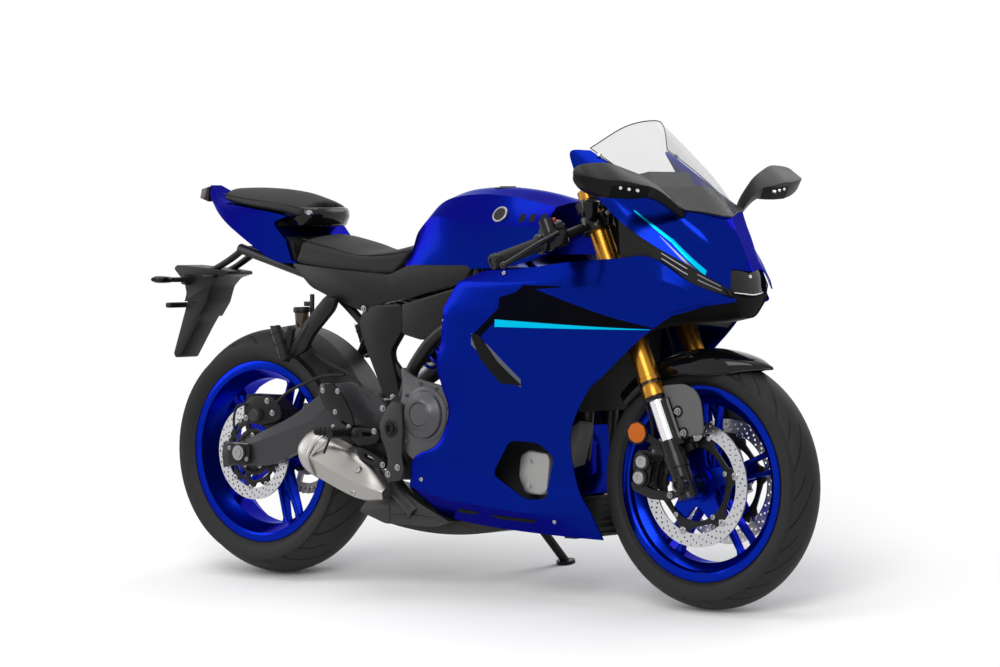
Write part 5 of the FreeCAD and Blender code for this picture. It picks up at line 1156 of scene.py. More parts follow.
@dataclass
class Wheel(Assembly):
    """What both wheels share: tyre, barrel, spokes and hub."""

    name: str = "front"
    body: Body = Body.FRONT_WHEEL
    centre: Vector = field(default_factory=lambda: Vector((WHEELBASE / 2, 0.0, FRONT_RADIUS)))
    radius: float = FRONT_RADIUS
    half: float = 60.0
    crown: float = 60.0
    rim_half: float = 50.0
    hub_radius: float = 33.0
    hub_half: float = 45.0
    spoke_depths: tuple[float, float] = (30.0, 22.0)
    spoke_turn: float = 0.0
    rim_radius: float = 231.0
    bead_radius: float = 222.0
    axis: Vector = field(default_factory=lambda: Vector((0.0, 1.0, 0.0)))

    def build(self) -> None:
        """Make the tyre, the rim and the hub."""
        self._tyre()
        self._rim()

    def _tyre(self) -> None:
        """A tyre with a round crown, full sidewalls and a bead ring."""
        crown = [(self.radius - self.crown + self.crown * math.cos(a), self.crown * math.sin(a))
                 for a in (math.radians(t) for t in range(-56, 57, 7))]
        waist = self.bead_radius + (self.radius - self.bead_radius) * 0.45
        seat = self.rim_half - 6.5
        lower = [(waist + 14, self.half * 0.985), (waist, self.half), (waist - 14, self.half - 3.0),
                 (self.rim_radius + 6.0, seat + 5.0), (self.rim_radius + 2.5, seat + 1.5),
                 (self.bead_radius, seat)]
        ring_points = [(r, -y) for r, y in reversed(lower)] + crown + lower
        side = smooth_line([Vector((r, y, 0.0)) for r, y in ring_points[1:-1]], 2)
        profile = [ring_points[0]] + [(p.x, p.y) for p in side] + [ring_points[-1]]
        profile += [(self.radius - self.crown * 0.3 - 12.0, seat - 8.0),
                    (self.radius - self.crown * 0.3 - 12.0, -seat + 8.0)]
        solid = lathe(profile, self.centre, self.axis, 120, True)
        tyre = self.add(f"{self.name}_tyre_rubber", solid, TYRE, replaces=[f"{self.name}_tyre"],
                        smooth=40)
        tyre.data.materials[0] = self._tread_material()

    def _tread_material(self) -> bpy.types.Material:
        """Copy the tyre's finish; add slanted grooves that follow the wheel, with painted shade."""
        made = self.palette.material(TYRE).copy()
        made.name = f"{self.name} tread"
        nodes = Nodes(made.node_tree)
        groove = nodes("ShaderNodeGroup", {
            "Centre": self.stance.place(self.centre),
            "Axis": (self.stance.metres.to_3x3() @ self.axis).normalized(),
            "Half width": self.half * 0.92 / MM_PER_M,
            "Low radius": (self.radius - self.crown * 0.42) / MM_PER_M,
        }, node_tree=self._groove_group()).outputs[0]
        shader = next(n for n in made.node_tree.nodes if n.type == "BSDF_PRINCIPLED").inputs
        grain, colour = (shader[name].links[0].from_socket for name in ("Normal", "Base Color"))
        bump = nodes("ShaderNodeBump", {"Strength": 0.9, "Distance": GROOVE_DEPTH, "Normal": grain,
                                        "Height": groove}, invert=True)
        nodes.feed(shader["Normal"], bump.outputs["Normal"])
        # Painted shade: the base colour turns near black inside the grooves.
        nodes.feed(shader["Base Color"], nodes.over(colour, GROOVE_SHADE, groove))
        return made

    def _groove_group(self) -> bpy.types.NodeTree:
        """Return a group that masks slanted grooves by the place about and along an axle."""
        found = bpy.data.node_groups.get("Tyre grooves")
        if found:
            return found
        inputs = {"Centre": (VECTOR, None), "Axis": (VECTOR, (0.0, 1.0, 0.0)),
                  "Half width": (FLOAT, 0.05), "Low radius": (FLOAT, 0.27), "Count": (FLOAT, 13.0),
                  "Slant": (FLOAT, 1.05), "Width": (FLOAT, 0.075)}
        nodes, entry, leave = Nodes.group("Tyre grooves", inputs, ("Groove", FLOAT))
        sums = nodes.math
        away = nodes.vector("SUBTRACT", nodes("ShaderNodeTexCoord").outputs["Object"],
                            entry["Centre"])["Vector"]
        across = nodes.vector("DOT_PRODUCT", away, entry["Axis"])["Value"]
        length = nodes.vector("LENGTH", away)["Value"]
        radial = sums("SQRT", sums("SUBTRACT", sums("MULTIPLY", length, length),
                                   sums("MULTIPLY", across, across)))
        place = nodes("ShaderNodeSeparateXYZ", {0: away}).outputs
        upward = sums("DIVIDE", place["Z"], sums("COSINE", self.stance.lean))
        turns = sums("DIVIDE", sums("ARCTAN2", upward, place["X"]), 2 * math.pi)
        share = sums("DIVIDE", across, entry["Half width"])
        side = sums("ABSOLUTE", share)
        shifted = sums("MULTIPLY_ADD", turns, entry["Count"],
                       sums("MULTIPLY", side, entry["Slant"]))
        offset = sums("MULTIPLY_ADD", sums("SIGN", share), 0.25, shifted)
        phase = sums("FRACT", sums("ADD", offset, 40.0))
        first = sums("LESS_THAN", phase, entry["Width"])
        second = sums("LESS_THAN", sums("ABSOLUTE", sums("SUBTRACT", phase, 0.55)),
                      sums("MULTIPLY", entry["Width"], 0.4))
        both = sums("MAXIMUM", first, sums("MULTIPLY", second, sums("GREATER_THAN", side, 0.52)))
        middle = sums("MULTIPLY", sums("GREATER_THAN", side, 0.16), sums("LESS_THAN", side, 0.90))
        gate = sums("MULTIPLY", middle, sums("GREATER_THAN", radial, entry["Low radius"]))
        nodes.feed(leave, sums("MULTIPLY", both, gate))
        return nodes.tree

    def _rim(self) -> None:
        """The barrel, five pairs of spokes and a ribbed hub as one painted casting."""
        half, lip = self.rim_half, self.rim_radius
        right = [(lip - 2, half), (lip + 1.5, half - 1.5), (lip + 1.5, half - 4.5),
                 (lip - 7, half - 6), (self.bead_radius - 0.3, half - 9),
                 (self.bead_radius - 0.3, half * 0.52), (self.bead_radius - 25, half * 0.35)]
        inner = [(lip - 15, half), (lip - 20, half - 3), (lip - 24, half - 14),
                 (lip - 37, half * 0.52), (lip - 43, half * 0.40)]
        profile = [(r, -y) for r, y in right] + [(r, y) for r, y in reversed(right)]
        profile += inner + [(r, -y) for r, y in reversed(inner)]
        barrel = lathe(profile, self.centre, self.axis, 120, True)
        self.add(f"{self.name}_barrel", barrel, WHEEL_PAINT, replaces=[f"{self.name}_rim"],
                 smooth=30)
        spokes = Solid()
        hub_depth, rim_depth = self.spoke_depths
        for side in (-1, 1):
            roots = ((self.hub_radius - 4, 9.0), (self.hub_radius + 22, 12.0), (120.0, 17.0),
                     (lip - 58, 21.5), (lip - 38, 25.5))
            widths = (22.0, 13.0, 11.0, 12.5, 24.0)
            depths = (hub_depth * 1.25, hub_depth, (hub_depth + rim_depth) / 2, rim_depth,
                      rim_depth * 1.35)
            sections = [
                (self.centre + Vector((side * out, 0.0, r)), w, d)
                for (r, out), w, d in zip(roots, widths, depths)
            ]
            spokes = spokes + rounded_bar(sections, Vector((1, 0, 0)), Vector((0, 1, 0)))
        self.add(f"{self.name}_spokes", around(spokes, self.centre, 5, self.spoke_turn),
                 WHEEL_PAINT, smooth=35)
        hub_profile = [(13.5, -self.hub_half), (self.hub_radius - 4, -self.hub_half),
                       (self.hub_radius, -self.hub_half + 5)]
        for k in range(5):
            y = -self.hub_half + 12 + k * (2 * self.hub_half - 24) / 4
            hub_profile += [(self.hub_radius, y - 3), (self.hub_radius + 5, y),
                            (self.hub_radius, y + 3)]
        hub_profile += [(self.hub_radius, self.hub_half - 5), (self.hub_radius - 4, self.hub_half),
                        (13.5, self.hub_half)]
        self.add(f"{self.name}_hub", lathe(hub_profile, self.centre, self.axis, 48, True),
                 WHEEL_PAINT, smooth=30)

    def _spots(self, count: int, start: float, out: float, y: float, sign: int) -> list[Matrix]:
        """Return spots on a circle about the axle.

        Args:
            count: how many there are.
            start: the first one's angle in degrees.
            out: the circle's radius.
            y: how far left of the middle the spots lie.
            sign: one where they face left, or minus one.

        Returns:
            The spots.
        """
        places = [polar(out, 360 / count * k + start) for k in range(count)]
        return [facing(self.centre + Vector((x, y, z)), self.axis * sign) for x, z in places]

    def disc(self, name: str, y: float, radius: float, band: float, hub: float,
             replaces: Sequence[str]) -> None:
        """Make one drilled brake disc with its carrier and its buttons.

        Args:
            name: the disc's name.
            y: how far left of the middle the disc lies.
            radius: its outer radius.
            band: the width of its ring.
            hub: the radius of the carrier's foot.
            replaces: the CAD nodes that it stands for.
        """
        place = Matrix.Translation(self.centre + Vector((0, y, 0)))
        inner = radius - band
        rows = ((0.2, 0.0), (0.42, 1 / 3), (0.64, 2 / 3), (0.84, 0.1))
        count = 30 if radius > 130 else 26
        holes = []
        for share, shift in rows:
            for k in range(count):
                turn = 2 * math.pi * (k + shift) / count
                r = inner + band * share
                holes.append((r * math.cos(turn), r * math.sin(turn), 2.7))
        ring_plate = perforated(circle_outline(radius, 120), holes, 4.5,
                                [circle_outline(inner, 90)])
        self.add(name, ring_plate.moved(place), DISC_STEEL, replaces=replaces, smooth=30)
        reach = inner - 3.0
        front = hub > 60.0
        arms, low = (6, 10.5) if front else (10, 9.0)
        corners = ((-13, reach - low), (-8, reach + 1), (8, reach + 1), (13, reach - low))
        star = [polar(r, 360 / arms * k + 12 + turn) for k in range(arms) for turn, r in corners]
        windows = [] if front else window_outlines(hub + 8, reach - 16, 15.0, 5)
        hole = circle_outline(hub - 5.0 if front else 28.0, 60)
        carrier = perforated(star, [], 6.0, [*windows, hole])
        if front:
            corners = ((-36, 52), (-22, 62), (-11, hub + 6), (11, hub + 6), (22, 62))
            flange = [polar(r, 72 * k + 18 + turn) for k in range(5) for turn, r in corners]
            shape = perforated(flange, [], 8.0, [circle_outline(20.0, 40)])
            shift = Matrix.Translation((0, 6 if y < 0 else -6, 0))
            self.add(f"{name}_flange", shape.moved(shift @ place), WHEEL_PAINT, smooth=20)
        sign = 1 if y > 0 else -1
        self.add(f"{name}_carrier", carrier.moved(place), CAST, slot="disc_steel", smooth=30,
                 bevel=0.6)
        foot = 44.0 if front else hub
        dish = [(27.0, self.hub_half + 0.4), (self.hub_radius, self.hub_half + 0.4),
                (foot, abs(y) - 3.0), (foot, abs(y) + 3.0), (foot - 8, abs(y) + 3.0),
                (27.0, self.hub_half + 6)]
        self.add(f"{name}_dish", lathe(dish, self.centre, self.axis * sign, 48, True),
                 WHEEL_PAINT if front else CAST, slot="disc_steel", smooth=30)
        wide = 9.0 if front else 6.4
        button = knob([(3.0, -4.6), (wide - 2, -4.6), (wide, -4.0), (wide, 4.0), (wide - 2, 5.2),
                       (3.0, 5.2), (2.6, 2.0), (0.1, 2.0)])
        spots = self._spots(arms, 12, inner - 0.5, y, sign)
        self.scatter(f"{name}_buttons", button, spots, BOLT, slot="disc_steel")
        screw = knob([(0.0, 0.0), (6.5, 0.0), (6.5, 4.0), (4.0, 5.0), (3.0, 3.0), (0.0, 3.0)], 12)
        spots = self._spots(5, 18, hub if front else hub - 9, y + 3.0 * sign, sign)
        self.scatter(f"{name}_screws", screw, spots, ZINC, slot="disc_steel")


@dataclass
class FrontWheel(Wheel):
    """The front wheel with its two discs."""

    def build(self) -> None:
        """Make the wheel and its discs."""
        super().build()
        self.disc("front_disc_right", -62.0, 149.0, 32.0, 92.0, ["front_discs"])
        self.disc("front_disc_left", 62.0, 149.0, 32.0, 92.0, [])


@dataclass
class RearWheel(Wheel):
    """The rear wheel with its disc, its toothed ring and its chain."""

    name: str = "rear"
    body: Body = Body.REAR_WHEEL
    centre: Vector = field(default_factory=lambda: Vector((-WHEELBASE / 2, 0.0, REAR_RADIUS)))
    radius: float = REAR_RADIUS
    half: float = 90.0
    crown: float = 92.0
    rim_half: float = 77.0
    hub_radius: float = 42.0
    hub_half: float = 72.0
    spoke_depths: tuple[float, float] = (42.0, 26.0)
    spoke_turn: float = 20.0
    sprocket_y: float = 104.0
    pitch: float = 15.875
    front_sprocket: tuple[float, float, float] = (-75.0, 392.0, 46.0)
    rear_pitch_radius: float = 112.0

    def build(self) -> None:
        """Make the wheel, its disc, the toothed ring and the chain."""
        super().build()
        self.disc("rear_disc_ring", -98.0, 122.5, 30.0, 52.0, ["rear_disc"])
        self._sprocket()
        self._chain()

    def _sprocket(self) -> None:
        """The toothed ring with windows, on a dished carrier."""
        outline = []
        for k in range(42):
            for turn, r in ((-0.32, 101.5), (-0.12, 107.5), (0.12, 107.5), (0.32, 101.5)):
                t = 2 * math.pi * (k + turn) / 42
                outline.append((r * math.cos(t), r * math.sin(t)))
        windows = window_outlines(70.0, 91.0, 16.0, 5)
        ring_plate = perforated(outline, [], 7.0, [*windows, circle_outline(30.0, 40)])
        place = Matrix.Translation(self.centre + Vector((0, self.sprocket_y, 0)))
        self.add("toothed_ring", ring_plate.moved(place), CHAIN_STEEL, replaces=["rear_sprocket"],
                 smooth=30)
        dish = [(27.0, 72.4), (57.0, 72.4), (63.0, 100.0), (63.0, 101.0), (27.0, 101.0)]
        self.add("toothed_ring_carrier", lathe(dish, self.centre, self.axis, 48, True), CAST,
                 smooth=30)

    def _chain(self) -> None:
        """Links along the loop around both toothed rings."""
        rear = Vector((self.centre.x, self.centre.z))
        front = Vector(self.front_sprocket[:2])
        big, small = self.rear_pitch_radius, self.front_sprocket[2]
        way = (front - rear).normalized()
        up = Vector((-way.y, way.x))
        lean = math.asin((big - small) / (front - rear).length)
        out_top = up * math.cos(lean) + way * math.sin(lean)
        out_low = -up * math.cos(lean) + way * math.sin(lean)
        loop: list[Vector] = []
        start, stop = math.atan2(out_top.y, out_top.x), math.atan2(out_low.y, out_low.x)
        for k in range(25):
            t = start + (stop - start) * k / 24
            loop.append(front + Vector((math.cos(t), math.sin(t))) * small)
        stop_rear = start + 2 * math.pi
        for k in range(61):
            t = stop + (stop_rear - stop) * k / 60
            loop.append(rear + Vector((math.cos(t), math.sin(t))) * big)
        loop.append(loop[0])
        lengths = [0.0]
        for a, b in zip(loop, loop[1:]):
            lengths.append(lengths[-1] + (b - a).length)
        count = 2 * round(lengths[-1] / self.pitch / 2)
        step = lengths[-1] / count

        def at(distance: float) -> Vector:
            """Return the place at a distance along the loop.

            Args:
                distance: how far along the loop.

            Returns:
                The place.
            """
            distance %= lengths[-1]
            i = next(k for k in range(len(loop) - 1) if lengths[k + 1] >= distance)
            share = (distance - lengths[i]) / (lengths[i + 1] - lengths[i])
            return loop[i].lerp(loop[i + 1], share)

        spots: tuple[list[Matrix], list[Matrix]] = ([], [])
        for k in range(count):
            a, b = at(k * step), at((k + 1) * step)
            middle, run = (a + b) / 2, (b - a).normalized()
            turn = Matrix.Rotation(-math.atan2(run.y, run.x), 4, "Y")
            place = Matrix.Translation(Vector((middle.x, self.sprocket_y, middle.y)))
            spots[k % 2].append(place @ turn)
        for word, side_out, spot_list in (("outer", 7.4, spots[0]), ("inner", 5.2, spots[1])):
            figure = self._link_outline(step)
            plates = union(slab(figure, s * side_out - 0.8, s * side_out + 0.8) for s in (-1, 1))
            seed = plates
            for x in (-step / 2, step / 2):
                radius = 2.6 if word == "outer" else 4.6
                reach = 9.0 if word == "outer" else 4.4
                seed = seed + rod((x, -reach, 0), (x, reach, 0), radius, None, 8)
            self.scatter(f"chain_{word}_links", seed, spot_list, CHAIN_STEEL, body=Body.FRAME)
        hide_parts("chain")

    @staticmethod
    def _link_outline(step: float) -> list[tuple[float, float]]:
        """The waisted outline of one link plate.

        Args:
            step: the distance between two pins.

        Returns:
            The corners.
        """
        outline = []
        for sign in (1, -1):
            for k in range(7):
                t = math.radians(-90 + 30 * k) if sign > 0 else math.radians(90 + 30 * k)
                outline.append((sign * step / 2 + 6.6 * math.cos(t), 6.6 * math.sin(t)))
            outline.append((0.0, sign * 4.6))
        return outline


def cutter(outline: Sequence[tuple[float, float]], low: float, high: float) -> Solid:
    """Return a block through a side, from an outline in decimetres between two distances.

    Args:
        outline: its corners, from the side.
        low: where it starts, to the left of the middle.
        high: where it ends.

    Returns:
        The block.
    """
    area = sum(a[0] * b[1] - b[0] * a[1] for a, b in zip(outline, [*outline[1:], outline[0]]))
    turned = outline if area < 0 else outline[::-1]
    return slab([(x * DM, z * DM) for x, z in turned], low, high)


def rolled(lines: Sequence[Sequence[tuple]], share: float = 0.09,
           drop: float = 0.07) -> list[list[tuple]]:
    """Return a table whose lines start with a rolled lip, drawn in towards the middle.

    Args:
        lines: the table.
        share: how far along its first span the lip ends.
        drop: how far the lip is drawn in.

    Returns:
        The longer table.
    """
    made = []
    for line in lines:
        first, second = Vector(line[0]), Vector(line[1])
        lip = first.lerp(second, share)
        made.append([(first.x, first.y - drop, first.z), tuple(lip), *line[1:]])
    return made


@dataclass
class SidePanels(Assembly):
    """The two large fairing sides with their lips, window, vents, belly slots and bolts."""

    wall: float = 3.0
    inside: tuple[float, float, float] = (200.0, 0.0, 500.0)
    lines: tuple = (
        ((1.33, 1.70, 7.95), (2.60, 1.80, 8.02), (4.10, 1.84, 8.20), (5.50, 1.88, 8.30),
         (6.48, 1.78, 8.34), (7.35, 1.40, 7.76), (8.10, 0.70, 7.38)),
        ((0.57, 1.80, 7.66), (2.20, 1.95, 7.62), (3.90, 2.02, 7.68), (5.40, 2.00, 7.78),
         (6.45, 1.85, 7.80), (7.30, 1.46, 7.58), (8.13, 0.62, 7.32)),
        ((0.19, 1.90, 7.02), (2.10, 2.05, 6.95), (3.80, 2.12, 7.00), (5.20, 2.08, 7.10),
         (6.20, 1.90, 7.15), (6.90, 1.50, 7.15), (7.50, 1.00, 7.20)),
        ((0.12, 1.90, 6.20), (1.90, 2.06, 6.20), (3.40, 2.12, 6.30), (4.60, 2.08, 6.50),
         (5.50, 1.95, 6.68), (6.20, 1.72, 6.82), (6.81, 1.40, 6.97)),
        ((-0.02, 1.90, 5.65), (1.60, 2.04, 5.60), (3.00, 2.10, 5.70), (4.00, 2.06, 5.86),
         (4.85, 1.97, 6.05), (5.55, 1.84, 6.25), (6.14, 1.68, 6.45)),
        ((0.15, 1.90, 5.11), (1.50, 2.02, 5.10), (2.70, 2.06, 5.15), (3.60, 2.02, 5.25),
         (4.30, 1.94, 5.36), (4.80, 1.86, 5.48), (5.15, 1.76, 5.60)),
        ((0.37, 1.90, 4.47), (1.40, 2.00, 4.45), (2.40, 2.00, 4.45), (3.10, 1.96, 4.50),
         (3.70, 1.90, 4.60), (4.15, 1.84, 4.75), (4.54, 1.76, 5.06)),
        ((0.00, 1.90, 3.69), (1.00, 1.98, 3.75), (2.00, 1.98, 3.80), (2.80, 1.93, 3.85),
         (3.40, 1.87, 3.90), (3.80, 1.82, 3.95), (4.08, 1.76, 4.05)),
        ((-0.75, 1.88, 3.33), (0.40, 1.92, 3.15), (1.50, 1.92, 3.05), (2.50, 1.86, 3.00),
         (3.30, 1.78, 2.95), (3.80, 1.72, 2.90), (4.20, 1.62, 2.85)),
        ((-1.03, 1.72, 2.61), (0.10, 1.70, 2.35), (1.20, 1.68, 2.25), (2.30, 1.62, 2.15),
         (3.20, 1.54, 2.15), (3.90, 1.45, 2.18), (4.38, 1.34, 2.20)),
        ((-0.40, 1.22, 1.88), (0.60, 1.16, 1.74), (1.60, 1.14, 1.66), (2.50, 1.10, 1.61),
         (3.30, 1.06, 1.58), (3.95, 1.03, 1.56), (4.50, 1.00, 1.55)),
    )
    creases: tuple[int, ...] = (1, 2, 3, 9)
    window: tuple = ((2.38, 3.89), (3.20, 3.87), (3.64, 3.53), (3.29, 2.51), (2.68, 2.46),
                     (1.81, 3.04))
    left_low: tuple = (
        ((-0.45, 1.89, 3.27), (0.50, 1.92, 3.14), (1.50, 1.92, 3.05), (2.50, 1.86, 3.00),
         (3.30, 1.78, 2.95), (3.80, 1.72, 2.90), (4.20, 1.62, 2.85)),
        ((0.72, 1.69, 2.30), (1.10, 1.68, 2.26), (1.70, 1.66, 2.20), (2.50, 1.60, 2.15),
         (3.20, 1.54, 2.15), (3.90, 1.45, 2.18), (4.38, 1.34, 2.20)),
        ((0.86, 1.15, 1.72), (1.25, 1.15, 1.69), (1.80, 1.13, 1.65), (2.60, 1.10, 1.61),
         (3.30, 1.06, 1.58), (3.95, 1.03, 1.56), (4.50, 1.00, 1.55)),
    )
    vent: tuple = ((1.16, 6.42), (1.45, 6.40), (2.05, 5.78), (2.83, 5.22), (2.16, 5.26),
                   (1.50, 5.84))
    slots: tuple = (((0.35, 2.12), (1.05, 2.06), (0.86, 1.98), (0.30, 2.02)),
                    ((1.35, 2.02), (2.80, 1.96), (2.66, 1.88), (1.60, 1.92)))
    bolts: tuple = ((2.07, 7.90), (0.20, 6.72), (-0.56, 2.80), (3.31, 1.95))
    screw_profile: tuple = ((0.1, 0.6), (2.2, 0.6), (2.6, 1.9), (4.4, 1.6), (5.4, 0.2), (5.4, -2.0))

    def build(self) -> None:
        """Make both sides and what is fixed to them."""
        for side, word in SIDES:
            table = self.lines if side > 0 else (*self.lines[:8], *self.left_low)
            lines = [[(x, side * y, z) for x, y, z in line] for line in rolled(table)]
            surface = skin(lines, self.creases, 6, 5)
            low, high = sorted((-side * 60.0, -side * 260.0))
            cuts = [cutter(rounded(self.window, 0.16), low, high)]
            self.add(f"fairing_{word}_shell", surface, SIDE_PAINT, replaces=[f"fairing_{word}"],
                     thickness=self.wall, inside=self.inside, cutters=cuts, smooth=24)
            self._trim(side, word, lines)

    def _trim(self, side: int, word: str, lines: Sequence[Sequence[tuple]]) -> None:
        """Make the vent strip, the belly slots and the bolts of one side.

        Args:
            side: one for the right side, or minus one.
            word: the side's name.
            lines: the side's table.
        """
        low, high = sorted((-side * 60.0, -side * 260.0))
        surface = skin(lines, self.creases, 6, 5)
        for name, outline, height in (("vent", self.vent, -1.6), *(
                (f"slot_{i}", s, -0.8) for i, s in enumerate(self.slots))):
            if side < 0 and name != "vent":
                continue
            self.add(f"fairing_{word}_{name}", surface, MATTE_BLACK, thickness=height,
                     inside=self.inside, within=cutter(rounded(outline, 0.08), low, high))
        spots = [facing(self._on(lines, x, z, side), Vector((0, -side, 0))) for x, z in self.bolts
                 if side > 0 or z > 3.0]
        screw = knob(self.screw_profile, 20)
        self.scatter(f"fairing_{word}_bolts", screw, spots, BOLT)

    @staticmethod
    def _on(lines: Sequence[Sequence[tuple]], x: float, z: float, side: int) -> Vector:
        """Return the place on the side's surface above a length and height in decimetres.

        Args:
            lines: the side's table.
            x: the length.
            z: the height.
            side: one for the right side, or minus one.

        Returns:
            The upright place in millimetres.
        """
        rows = skin(lines, (), 6, 5).points
        aim = Vector((x * DM, z * DM))
        near = sorted(rows, key=lambda p: (Vector((p.x, p.z)) - aim).length)[:3]
        depth = sum(p.y for p in near) / len(near)
        return Vector((aim.x, depth - side * 0.4, aim.y))


@dataclass
class NoseUnit(Assembly):
    """The nose cowl with its lamps, side wings, duct and screen."""

    wall: float = 3.0
    inside: tuple[float, float, float] = (600.0, 0.0, 850.0)
    cowl: tuple = (
        ((4.34, 2.00, 10.35), (5.60, 1.98, 9.26), (6.43, 1.77, 8.68), (7.31, 1.43, 8.17),
         (8.09, 0.84, 7.60)),
        ((4.12, 1.87, 10.82), (5.55, 1.85, 9.70), (6.60, 1.60, 8.93), (7.36, 1.30, 8.34),
         (8.06, 0.78, 7.82)),
        ((4.45, 1.52, 10.85), (5.80, 1.42, 9.98), (6.75, 1.30, 9.15), (7.40, 1.10, 8.46),
         (8.00, 0.70, 7.96)),
        ((6.97, 1.13, 9.44), (7.20, 1.00, 9.10), (7.45, 0.88, 8.75), (7.72, 0.72, 8.36),
         (7.95, 0.58, 8.08)),
        ((7.41, 0.00, 9.27), (7.60, 0.00, 8.98), (7.78, 0.00, 8.68), (7.96, 0.00, 8.34),
         (8.12, 0.00, 8.01)),
    )
    screen: tuple = (
        ((4.43, 1.50, 10.90), (5.40, 1.43, 10.33), (6.20, 1.32, 9.82), (6.99, 1.14, 9.45)),
        ((4.90, 0.75, 11.42), (5.70, 0.80, 10.80), (6.50, 0.75, 10.14), (7.19, 0.62, 9.39)),
        ((5.20, 0.00, 11.57), (6.00, 0.00, 10.90), (6.75, 0.00, 10.12), (7.43, 0.00, 9.295)),
    )
    duct: tuple = (
        ((6.30, 1.48, 6.62), (6.81, 1.355, 6.955), (7.46, 0.965, 7.185), (8.06, 0.59, 7.30)),
        ((6.30, 0.75, 6.70), (6.80, 0.70, 6.80), (7.40, 0.50, 6.86), (8.02, 0.30, 6.98)),
        ((6.30, 0.00, 6.74), (6.80, 0.00, 6.78), (7.40, 0.00, 6.82), (8.02, 0.00, 6.92)),
    )
    chin: tuple = (
        ((7.92, 0.84, 7.62), (7.98, 0.74, 7.44), (7.94, 0.62, 7.26)),
        ((8.02, 0.48, 7.50), (8.08, 0.44, 7.32), (8.00, 0.34, 7.02)),
        ((8.05, 0.00, 7.46), (8.11, 0.00, 7.28), (8.03, 0.00, 6.95)),
    )
    upper_edge: tuple = ((4.95, 1.99, 9.90), (5.60, 1.98, 9.26), (6.43, 1.77, 8.68),
                         (7.31, 1.43, 8.17), (8.05, 0.86, 7.62))
    lower_edge: tuple = ((5.05, 1.86, 8.27), (5.60, 1.87, 8.31), (6.48, 1.78, 8.34),
                         (7.35, 1.40, 7.76), (8.06, 0.75, 7.41))
    screw_profile: tuple = ((0.1, 3.4), (4.0, 3.4), (5.6, 2.4), (6.2, 0.2), (6.2, -1.0))

    def build(self) -> None:
        """Make the nose, the screen and the lamps."""
        half = skin(self.cowl, (2, 3), 6, 5)
        self.add("nose_shell", half.both_sides(), NOSE_PAINT, replaces=["nose_cowl"],
                 thickness=self.wall, inside=self.inside, smooth=30)
        self._screen()
        self._strips()
        self._lamp()
        rings = []
        for y, top, edge, low in ((-92, 968, 690, 926), (-60, 998, 712, 926), (0, 1003, 728, 921),
                                  (60, 998, 712, 926), (92, 968, 690, 926)):
            outline = ((540, top), (edge - 70, top), (edge, low + 8), (edge, low - 4),
                       (600, low + 14))
            rings.append([Vector((x, y, z)) for x, z in outline])
        self.add("dash_hood", loft(rings), MATTE_BLACK, slot="dash_plastic", bevel=3.0, smooth=30)
        self.add("nose_duct_shell", skin(with_middle(self.duct), (), 6, 4), MATTE_BLACK,
                 replaces=["nose_duct"], thickness=2.4, inside=(600.0, 0.0, 900.0))
        self.add("nose_chin", skin(with_middle(self.chin), (), 4, 3), MATTE_BLACK, thickness=2.4,
                 inside=self.inside)

    def _screen(self) -> None:
        """Make the clear screen with its dark edge and its two screws."""
        lines = with_middle(self.screen)
        self.add("screen_shell", skin(lines, (), 8, 6), SCREEN, replaces=["windscreen"],
                 thickness=2.4, inside=self.inside, smooth=60)
        rows = [table_row(line, 8) for line in lines]
        front = smooth_line([row[-1] for row in rows], 6)
        back = smooth_line([row[0] for row in rows], 6)
        edge = sweep(front, 1.6, 8, 1) + sweep(back, 1.3, 8, 1)
        edge = edge + sweep(rows[0], 1.3, 8, 1) + sweep(rows[-1], 1.3, 8, 1)
        self.add("screen_edge", edge, BLACK_PLASTIC, smooth=60)
        screw = knob(self.screw_profile, 20)
        spots = [facing(Vector((470, -y * 1.50 * DM, 1074)),
                        Vector((0.25, -y * 0.8, 0.5))) for y in (1, -1)]
        self.scatter("screen_screws", screw, spots, BOLT)

    def _strips(self) -> None:
        """Fill the slit between nose and sides: a black wing behind, a lamp strip ahead."""
        inward = 0.10
        upper = [(x - 0.03, y - inward, z + 0.08) for x, y, z in self.upper_edge]
        lower = [(x - 0.03, y - inward, z - 0.08) for x, y, z in self.lower_edge]
        wing = skin([upper[1:3], lower[1:3]], (), 6, 4).both_sides()
        strip = skin([upper[2:], lower[2:]], (), 8, 4).both_sides()
        self.add("nose_wings", wing, BLACK_PLASTIC, thickness=2.4, inside=self.inside)
        self.add("nose_lamp_strips", strip, GLOSS_BLACK, thickness=2.4, inside=self.inside)
        bars = []
        for share in (0.38, 0.62):
            path = [Vector((a.x, -a.y, a.z)) * DM for a in (
                Vector(u).lerp(Vector(w), share) for u, w in zip(upper[2:], lower[2:]))]
            spots = smooth_line([p + Vector((1.0, -1.6, 0.6)) for p in path], 12)
            bars += [sweep(spots[3:12], 1.7, 8, 1), sweep(spots[14:22], 1.9, 8, 1)]
        self.add("nose_light_bars", union(bars).both_sides(), ZINC, slot="lamp_lens", smooth=50)

    def _lamp(self) -> None:
        """Make the lamp in the notch: a dark lens, its inner lights and its bright edge."""
        lens = with_middle((
            ((7.80, 0.66, 8.18), (7.92, 0.68, 7.90), (7.98, 0.62, 7.52)),
            ((7.96, 0.36, 8.12), (8.06, 0.36, 7.84), (8.10, 0.34, 7.49)),
            ((8.03, 0.00, 8.06), (8.10, 0.00, 7.80), (8.13, 0.00, 7.46)),
        ))
        self.add("headlamp", skin(lens, (), 5, 4), LAMP_DARK, replaces=["front_lamps"],
                 thickness=2.0, inside=self.inside, smooth=50)
        rows = [table_row(line, 5) for line in lens]
        low = smooth_line([row[-1] + Vector((0.6, 0, 1.0)) for row in rows], 5)
        lights = [sweep(low[1:-1], 1.4, 8, 1)]
        for y in (-18.0, -4.0, 10.0):
            spot = Vector((806.0 - abs(y + 4) * 0.25, y, 790.0))
            lights.append(block(spot, Vector((6, 9, 7))))
        self.add("headlamp_lights", union(lights), LED, smooth=50)


